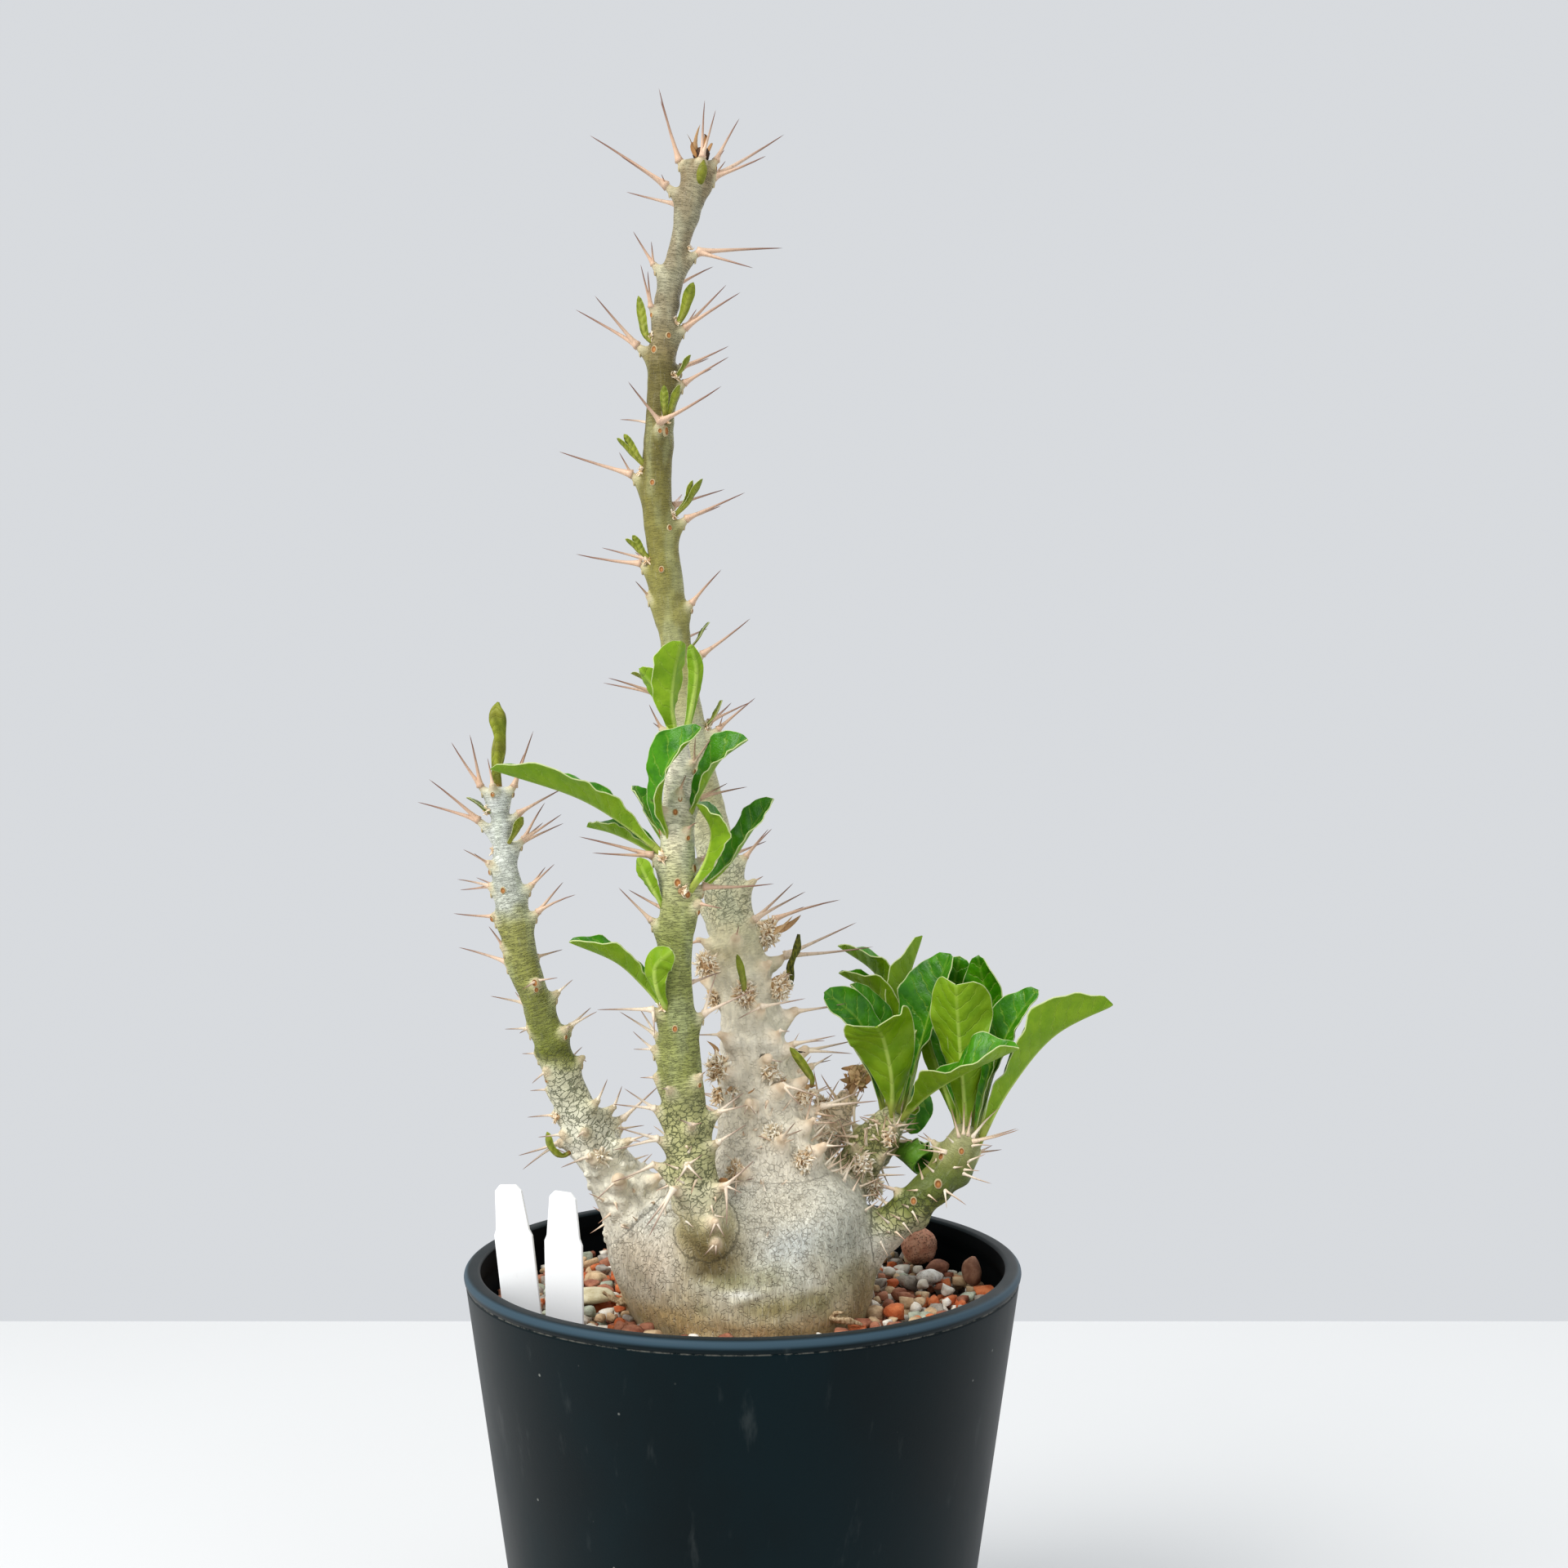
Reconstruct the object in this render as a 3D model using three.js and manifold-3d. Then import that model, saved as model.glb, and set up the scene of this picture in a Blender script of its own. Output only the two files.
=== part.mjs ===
// Potted kudu lily: a spiny, branching caudex plant in a round plastic pot of gravel.
// Millimetres, +Z up. The origin is the centre of the pot's flat underside.
// The front of the plant looks along -Y, and +X is its right-hand side.

import * as THREE from 'three';
import Module from 'manifold-3d';
import { mergeVertices } from 'three/addons/utils/BufferGeometryUtils.js';

const wasm = await Module();
wasm.setup();

// Pot
const potHeight = 140;
const rimRadius = 75;
const rimWidth = 4.4;
const rimDepth = 5;
const wallThickness = 2.4;
const wallTaper = 0.146;
const floorThickness = 3;
const rimRound = 1.6;
const footChamfer = 1.5;
const potSides = 36;
const drainHoles = 6;
const drainHoleRadius = 5;
const drainCircleRadius = 30;

// Gravel
const gravelTop = 128;
const gap = 0.3;
const pebbleCount = 130;
const pebbleSpacing = 8.2;
const pebbleSmall = 3.6;
const pebbleLarge = 4.8;
const pebbleTries = 9000;
const caudexRoom = 33;

// Plant
const stemSides = 8;
const caudexSides = 15;
const spineRadius = 0.5;
const bladeThickness = 0.7;
const edgeWaves = 13;
const edgeSlant = 2.2;

// Labels
const labelWidth = 11;
const labelHeadWidth = 7.6;
const labelHead = 13;
const labelLength = 70;
const labelPoint = 12;
const labelThickness = 0.8;
const labelBuried = 18;
const labelCut = 1.5;

const colours = {
  pot: 0x1b2328,
  gravel: 0xa88a74,
  lava: 0x6b3b33,
  cream: 0xcdbf9d,
  pumice: 0xe6e0d6,
  bark: 0xb9b79c,
  leaf: 0x5b8a2c,
  dry: 0x8a5a36,
  label: 0xf4f4f2,
};

// Seeded random numbers between 0 and 1
function seeded(seed) {
  let state = seed >>> 0;
  return () => {
    state = (Math.imul(state, 1664525) + 1013904223) >>> 0;
    return state / 4294967296;
  };
}

const degrees = (angle) => (angle * Math.PI) / 180;
const vector = (list) => new THREE.Vector3(list[0], list[1], list[2]);

// Solids: a three.js geometry to a closed solid and back
function solidOf(geometry) {
  const bare = geometry.clone();
  bare.deleteAttribute('normal');
  bare.deleteAttribute('uv');
  const merged = mergeVertices(bare, 1e-4);
  const mesh = new wasm.Mesh({
    numProp: 3,
    vertProperties: new Float32Array(merged.attributes.position.array),
    triVerts: new Uint32Array(merged.index.array),
  });
  mesh.merge();
  return new wasm.Manifold(mesh);
}

function geometryOf(solid) {
  const mesh = solid.getMesh();
  const geometry = new THREE.BufferGeometry();
  const places = new Float32Array(mesh.vertProperties);
  geometry.setAttribute('position', new THREE.BufferAttribute(places, 3));
  geometry.setIndex(new THREE.BufferAttribute(new Uint32Array(mesh.triVerts), 1));
  return geometry;
}

function joined(solids) {
  return wasm.Manifold.union(solids);
}

// The outer skin of a solid alone, with any hollow that joining sealed inside it filled
function mainBody(solid) {
  const skins = new wasm.Manifold(solid.getMesh()).decompose();
  skins.sort((a, b) => b.volume() - a.volume());
  return skins[0];
}

// A closed skin over rings of points, with a fan at each end
function skin(rings, startPoint, endPoint) {
  const sides = rings[0].length;
  const points = rings.flat();
  const first = points.length;
  points.push(startPoint, endPoint);
  const faces = [];
  for (let k = 0; k < sides; k += 1) {
    const next = (k + 1) % sides;
    faces.push(first, next, k);
    const last = (rings.length - 1) * sides;
    faces.push(first + 1, last + k, last + next);
    for (let row = 0; row + 1 < rings.length; row += 1) {
      const a = row * sides + k;
      const b = row * sides + next;
      faces.push(a, b, b + sides, a, b + sides, a + sides);
    }
  }
  const geometry = new THREE.BufferGeometry();
  const places = points.flatMap((point) => [point.x, point.y, point.z]);
  geometry.setAttribute('position', new THREE.Float32BufferAttribute(places, 3));
  geometry.setIndex(faces);
  return geometry;
}

// Two directions square to a given one, the first as level as it can be
function crossDirections(along) {
  const steady = Math.abs(along.z) > 0.95 ? new THREE.Vector3(0, 1, 0) : new THREE.Vector3(0, 0, 1);
  const side = new THREE.Vector3().crossVectors(along, steady).normalize();
  const other = new THREE.Vector3().crossVectors(along, side);
  return [side, other];
}

// A round limb through [x, y, z, radius] points, swollen by grow
function limb(path, sides, grow = 0) {
  const rings = path.map((here, i) => {
    const before = vector(path[Math.max(i - 1, 0)]);
    const after = vector(path[Math.min(i + 1, path.length - 1)]);
    const along = after.sub(before).normalize();
    const side = new THREE.Vector3(1, 0, 0).addScaledVector(along, -along.x).normalize();
    const back = new THREE.Vector3().crossVectors(along, side);
    const ring = [];
    for (let k = 0; k < sides; k += 1) {
      const turn = (2 * Math.PI * (k + 0.5 * (i % 2))) / sides;
      const radius = here[3] + grow;
      ring.push(
        vector(here)
          .addScaledVector(side, radius * Math.cos(turn))
          .addScaledVector(back, radius * Math.sin(turn)),
      );
    }
    return ring;
  });
  const [start, second] = [vector(path[0]), vector(path[1])];
  const [end, ahead] = [vector(path[path.length - 1]), vector(path[path.length - 2])];
  const startPoint = start.clone().add(start.clone().sub(second).setLength(0.2 * path[0][3] + grow));
  const tipRadius = path[path.length - 1][3];
  const endPoint = end.clone().add(end.clone().sub(ahead).setLength(0.45 * tipRadius + grow));
  return skin(rings, startPoint, endPoint);
}

// Caudex, as level ellipses: height, centre right, centre back, half width, half depth
const caudexLevels = [
  [106, 2, -5, 12, 12],
  [110, 2, -5, 21, 20],
  [118, 2, -5, 28.5, 27.5],
  [128, 1.5, -5.5, 32.3, 31],
  [137, 0.5, -6, 34.2, 31.5],
  [145, -0.5, -6, 34.2, 30.5],
  [151, 0, -5.5, 33, 28.5],
  [157, 2, -5, 30.5, 25.5],
  [161, 4, -4.5, 26, 22],
  [165, 5, -4, 19, 17],
  [168, 5, -3, 11, 11],
];

function caudex(grow = 0) {
  const rings = caudexLevels.map(([z, x, y, halfWidth, halfDepth]) => {
    const ring = [];
    for (let k = 0; k < caudexSides; k += 1) {
      const turn = (2 * Math.PI * k) / caudexSides;
      const right = x + (halfWidth + grow) * Math.cos(turn);
      const back = y + (halfDepth + grow) * Math.sin(turn);
      ring.push(new THREE.Vector3(right, back, z));
    }
    return ring;
  });
  const low = caudexLevels[0];
  const high = caudexLevels[caudexLevels.length - 1];
  const start = new THREE.Vector3(low[1], low[2], low[0] - 1 - grow);
  const end = new THREE.Vector3(high[1], high[2], high[0] + 1 + grow);
  return skin(rings, start, end);
}

// Stems: x, y, z and radius along each, from inside the caudex to the growing tip
const stems = {
  leader: [
    [7, -4, 156, 19], [7, -4, 163, 16.5], [6, -3, 172, 13.3], [3.5, -1, 184, 10.3], [2.5, 0, 194, 9],
    [1, 2, 207, 8.1], [-1, 4, 218, 7.4], [-4, 6, 233, 6.5], [-7, 7, 247, 5.6], [-10, 7, 260, 5.2],
    [-15, 6, 284, 4.5], [-18.5, 6, 306, 4.2], [-21.5, 5, 328, 4.3], [-24, 4, 350, 4.1],
    [-23, 3, 368, 3.9], [-22, 2, 390, 3.4], [-20.5, 2, 405, 3], [-17.5, 2, 416, 2.7],
    [-15, 1, 429, 3.1], [-12.8, 1, 440, 3.5],
  ],
  middle: [
    [-7, -28, 141, 4], [-8.5, -30.5, 148, 6.3], [-10.5, -32, 158, 6.5], [-12, -31.5, 168, 6.1],
    [-13, -30, 177, 5.8], [-14.5, -28.5, 188, 5.4], [-15.5, -27, 199, 5.3], [-16.5, -27, 210, 4.8],
    [-17, -27, 221, 4.5], [-16.5, -26.5, 236, 4.7], [-16.5, -26, 250, 4.5], [-16.5, -26, 260, 4.1],
    [-16.5, -25, 268, 3.5], [-15.8, -25, 275, 2.8], [-15.8, -25, 280, 2.2],
  ],
  left: [
    [-12, -7, 142, 17], [-22, -8, 150, 13], [-31, -10, 160, 8.6], [-36.5, -12, 169, 6.4],
    [-41, -14, 178, 4.9], [-45, -16, 188, 4.2], [-49, -18, 200, 3.7], [-52, -19, 209, 3.2],
    [-55.5, -20, 219, 3.3], [-58, -20, 229, 3.6], [-60, -19, 238, 3.6], [-62, -19, 249, 3.1],
    [-63.5, -18, 259, 2.4], [-64, -18, 267, 2.8],
  ],
  right: [
    [16, -4, 138, 14], [26, -4, 141, 9.5], [33, -4.5, 145, 6.6], [39, -5, 149.5, 5.3],
    [44, -6, 154, 5], [49, -6, 159, 4.9], [54, -6, 164, 5], [57.8, -6, 170, 4.9], [60.6, -6, 174.5, 4.3],
  ],
  side: [
    [19, 4, 148, 12], [24.5, 6, 154.5, 7.5], [29, 6, 161, 5.8], [34, 6, 169, 5.2],
    [38, 6, 173.5, 4.9], [41, 6, 177, 4.1],
  ],
  stub: [[15, 10, 160, 7], [21, 14, 168, 4.6], [25, 15, 175, 3.4], [29, 15, 181, 3]],
};

// The axis of a stem at a height: its point and radius
function axisAt(stem, height) {
  const path = stems[stem];
  let i = 0;
  while (i + 2 < path.length && path[i + 1][2] < height) {
    i += 1;
  }
  const share = THREE.MathUtils.clamp((height - path[i][2]) / (path[i + 1][2] - path[i][2]), 0, 1);
  return path[i].map((value, k) => THREE.MathUtils.lerp(value, path[i + 1][k], share));
}

// Leaf bases that the photograph shows, each with its spines.
// Height, bearing round the stem (0 front, 90 right), reach from the stem's axis,
// then how far each spine runs right, back and up.
const shownBases = {
  leader: [
    [439, -90, 4.4, [-6, 2, 16], [-6, -4, 17]], [440, 20, 3.8, [1, -3, 13], [4, -4, 10]],
    [438, 80, 4.6, [7, 3, 11], [3, -1, 2]], [430, -85, 6, [-22, 2, 15], [-13, -5, 7], [-2, -2, 3]],
    [433, 90, 5, [20, 3, 13], [15, -6, 4], [4, -2, 4]], [409, -80, 4.8, [-6, -2, 9], [-1, -3, 6]],
    [413, 90, 5.2, [24, 3, 2], [16, -6, -6]], [397, -50, 4.5, [-1, -5, 9], [-3, -4, 11]],
    [387, -95, 6.5, [-18, 3, 11], [-12, -4, 13]], [392, 90, 5.2, [12, 3, 13], [16, -4, 9], [4, -2, 5]],
    [377, 90, 5.8, [13, -2, 7], [8, 8, 6]], [365, 5, 6, [-8, -7, 10], [17, -6, 9]],
    [352, -90, 6.3, [-21, 2, 7], [-4, -3, 6]], [340, 90, 6.5, [17, -3, 7], [10, 8, 5]],
    [328, -95, 6.3, [-19, 2, 3]], [317, 75, 5.4, [9, -5, 9]], [319, -90, 5.4, [-4, -5, 4]],
    [303, 90, 6, [14, -2, 10]], [292, -90, 8, [-15, 2, 3], [-13, -5, 4]],
    [282, -90, 7.6, [-4, -3, 7], [-3, -2, 2]], [282, 90, 7, [11, -2, 9], [2, -3, 4]],
    [247, 85, 7, [7, -2, 8], [8, 3, 8]], [240, 70, 7.4, [4, -1, 2]],
    [232, 60, 9, [11, -4, 10], [15, -6, 8], [7, -5, 6]], [231, 95, 9, [12, 3, 4], [22, -2, 6]],
    [225, 0, 8.8, [1, -5, 4]], [224, -70, 9, [-8, -3, -2]], [222, 90, 10.5, [24, -3, 9], [29, 2, 2]],
    [213, 60, 10, [4, -4, 3]], [207, 20, 10, [12, -8, 3], [-6, -4, -3]],
    [204, 88, 10.5, [16, -3, 3], [16, 3, 2]], [213, -90, 9.8, [-6, -1, 0]],
    [196, 60, 11, [10, -6, 2], [13, -3, 3]], [193, 95, 12, [16, 2, 3], [15, -3, 0]],
    [186, 30, 12.5, [11, -8, -2], [6, -9, -4]], [178, 80, 15, [17, -6, 3], [14, 2, 5]],
    [172, 15, 15.5, [6, -8, 4], [4, -9, 6]],
  ],
  middle: [
    [273, 60, 4, [1, -3, 7], [6, -2, 8]], [266, 10, 4.8, [2, -6, 4]],
    [264, 90, 5.2, [8, -2, 4], [13, 3, 3]],
    [261, -40, 5.2, [-3, -6, 3]], [256, 30, 5.4, [3, -6, 2]], [249, -90, 5.8, [-20, 1, 5], [-16, -4, 1]],
    [241, 85, 6.3, [19, -3, 1]], [237, 60, 6, [7, -5, -1]], [232, -90, 6, [-9, -2, 9]],
    [210, -60, 6.2, [-15, -2, 0], [0, -5, -6]], [208, 90, 6.2, [4, 2, 11], [14, -3, 7]],
    [199, -90, 6.6, [-6, -1, 5], [-6, 1, 0]], [192, -90, 6.4, [-5, 0, 0]],
    [193, 40, 6.8, [2, -5, 2]], [190, -30, 6.6, [-2, -5, 1]], [184, -80, 7, [-12, -3, 2], [-9, -3, 6]],
    [183, 80, 7, [9, -4, 3], [8, 3, 5]], [181, 10, 7.4, [-3, -7, 3], [3, -7, 2]],
    [177, -60, 7.4, [-13, -4, -2], [-12, -5, 4]], [176, 50, 7.6, [9, -5, 6]],
    [172, -5, 8, [-3, -7, -4], [4, -7, -3]], [170, -90, 8, [-13, -3, -4]],
    [166, -25, 9.5, [-8, -6, -9], [-7, -8, -11]], [166, 45, 9, [6, -5, -1], [2, -6, -9], [9, -4, 7]],
    [158, 20, 9, [3, -4, -4], [-1, -4, -4]], [152, 10, 8.6, [0, -4, -3], [-3, -4, -3]],
  ],
  left: [
    [268, -80, 4, [-8, -2, 12], [-3, -3, 14]], [268, -10, 3.4, [-2, 2, 8]],
    [267, 80, 3.8, [6, -2, 15], [3, 2, 9]],
    [258, -90, 5.2, [-17, 1, 5], [-13, -4, 11]], [260, 90, 4.4, [13, -2, 7]],
    [253, 90, 4.9, [6, 2, 10], [11, -3, 7]], [247, -60, 4.4, [-4, -3, 3], [-7, -2, 4]],
    [241, -90, 4.8, [-9, -2, 2], [-9, 2, -1]], [241, 90, 4.9, [7, -2, 6], [4, 3, 5]],
    [234, 90, 5.2, [7, 3, 8], [11, -3, 5]], [233, -90, 5.4, [-11, -2, 1]], [225, -80, 4.8, [-4, -3, 6]],
    [221, -95, 4.6, [-14, 2, 4]], [217, 20, 4.8, [6, -3, 1], [-3, -4, -2]], [213, 90, 4.6, [5, -2, 4]],
    [204, -80, 4.7, [-7, -2, 0], [-3, -3, -1]], [204, 60, 4.8, [2, -3, 1]], [197, -90, 5, [-5, 0, 0]],
    [196, 90, 5, [2, -1, -1]], [193, -45, 5.4, [-4, -3, -3]], [187, -90, 5.4, [-6, -1, 0]],
    [184, 50, 6.2, [4, -4, 7]], [181, 90, 6.8, [4, -2, 7]], [180, -80, 6, [-9, -2, 0]],
    [178, 95, 7.6, [12, -3, 10], [3, 3, 0]], [177, 0, 7, [-2, -6, -1]], [175, -60, 7, [-8, -3, 0]],
    [173, 60, 8.6, [8, -4, 3], [5, -5, 1]], [172, -90, 8.4, [-13, -3, -3], [-12, -2, -7]],
    [170, -10, 9, [-8, -6, -2]], [164, 10, 11, [-6, -6, -5]], [163, 60, 11.5, [13, -6, 2]],
  ],
};

// Leaf bases where the photograph doesn't look, by the spiral rule that a stem grows them in
const goldenAngle = 137.5;
const hiddenBases = {
  leader: { from: 172, to: 434, step: 7.5, keep: [110, 250], longest: 18, seed: 3 },
  middle: { from: 150, to: 272, step: 6.5, keep: [110, 250], longest: 13, seed: 5 },
  left: { from: 162, to: 262, step: 6, keep: [105, 250], longest: 13, seed: 7 },
  right: { from: 143, to: 173.5, step: 2.6, keep: [0, 360], longest: 8, seed: 11 },
  side: { from: 158, to: 176, step: 1.8, keep: [0, 360], longest: 8, seed: 13 },
  stub: { from: 172, to: 180, step: 2, keep: [0, 360], longest: 6, seed: 17 },
};

function basesOf(stem) {
  const bases = [...(shownBases[stem] ?? [])];
  const rule = hiddenBases[stem];
  const random = seeded(rule.seed);
  let bearing = 360 * random();
  for (let height = rule.from; height < rule.to; height += rule.step) {
    bearing = (bearing + goldenAngle) % 360;
    const long = rule.longest * (0.6 + 0.4 * random());
    const lift = 0.15 + 0.5 * random();
    const spread = 22 + 14 * random();
    if (bearing >= rule.keep[0] && bearing <= rule.keep[1]) {
      const radius = axisAt(stem, height)[3];
      const spines = [-spread, spread].map((turn) => {
        const heading = degrees(bearing + turn);
        return [long * Math.sin(heading), -long * Math.cos(heading), long * lift];
      });
      bases.push([height, bearing, radius + 1.2 + 0.09 * radius, ...spines]);
    }
  }
  return bases;
}

// One leaf base with its spines, as one solid: a cone out of the stem whose top is a short row
// of squares, each drawn out into a four-sided spine
function spinyBase(centre, outward, radius, reach, runs, grow = 0) {
  const mean = new THREE.Vector3();
  runs.forEach((run) => mean.add(run.clone().normalize()));
  mean.normalize();
  const facing = outward.clone().addScaledVector(mean, 1.2).normalize();
  const [level, upright] = crossDirections(facing);
  const spread = runs[runs.length - 1].clone().normalize().sub(runs[0].clone().normalize());
  const row = level.clone();
  if (runs.length > 1) {
    row.multiplyScalar(spread.dot(level)).addScaledVector(upright, spread.dot(upright)).normalize();
  }
  const across = new THREE.Vector3().crossVectors(facing, row);
  const ordered = [...runs].sort((a, b) => a.clone().normalize().dot(row) - b.clone().normalize().dot(row));
  const corners = 2 * (runs.length + 1);
  const half = spineRadius + grow;
  const foot = Math.max(0.2, radius - 2);
  const footWidth = Math.min(2 + 0.12 * radius, 0.75 * radius) + grow;
  const [footSide, footOther] = crossDirections(outward);
  const turnRow = Math.atan2(row.dot(footOther), row.dot(footSide));
  const points = [];
  for (let k = 0; k < corners; k += 1) {
    const turn = turnRow - Math.PI + (Math.PI * (2 * k + 1)) / corners;
    points.push(
      centre
        .clone()
        .addScaledVector(outward, foot)
        .addScaledVector(footSide, footWidth * Math.cos(turn))
        .addScaledVector(footOther, footWidth * Math.sin(turn)),
    );
  }
  const top = centre.clone().addScaledVector(outward, reach);
  for (let k = 0; k < corners; k += 1) {
    const near = k < corners / 2;
    const place = near ? k : corners - 1 - k;
    points.push(
      top
        .clone()
        .addScaledVector(row, 2 * half * (place - runs.length / 2))
        .addScaledVector(across, near ? -half : half),
    );
  }
  const start = points.length;
  points.push(centre.clone().addScaledVector(outward, foot - 0.3));
  const faces = [];
  for (let k = 0; k < corners; k += 1) {
    const next = (k + 1) % corners;
    faces.push(start, next, k, k, next, next + corners, k, next + corners, k + corners);
  }
  ordered.forEach((run, i) => {
    const apex = points.length;
    points.push(top.clone().add(run).addScaledVector(run.clone().normalize(), grow));
    const near = corners + i;
    const far = 2 * corners - 1 - i;
    faces.push(near, near + 1, apex, near + 1, far - 1, apex, far - 1, far, apex, far, near, apex);
  });
  const geometry = new THREE.BufferGeometry();
  const places = points.flatMap((point) => [point.x, point.y, point.z]);
  geometry.setAttribute('position', new THREE.Float32BufferAttribute(places, 3));
  geometry.setIndex(faces);
  return geometry;
}

// Every stem with its leaf bases and spines
function stemSolids(grow = 0) {
  const solids = [];
  for (const stem of Object.keys(stems)) {
    solids.push(solidOf(limb(stems[stem], stemSides, grow)));
    for (const [height, bearing, reach, ...spines] of basesOf(stem)) {
      const [x, y, z, radius] = axisAt(stem, height);
      const centre = new THREE.Vector3(x, y, z);
      const turn = degrees(bearing);
      const outward = new THREE.Vector3(Math.sin(turn), -Math.cos(turn), 0.25).normalize();
      solids.push(solidOf(spinyBase(centre, outward, radius, reach, spines.map(vector), grow)));
    }
  }
  return solids;
}

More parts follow.
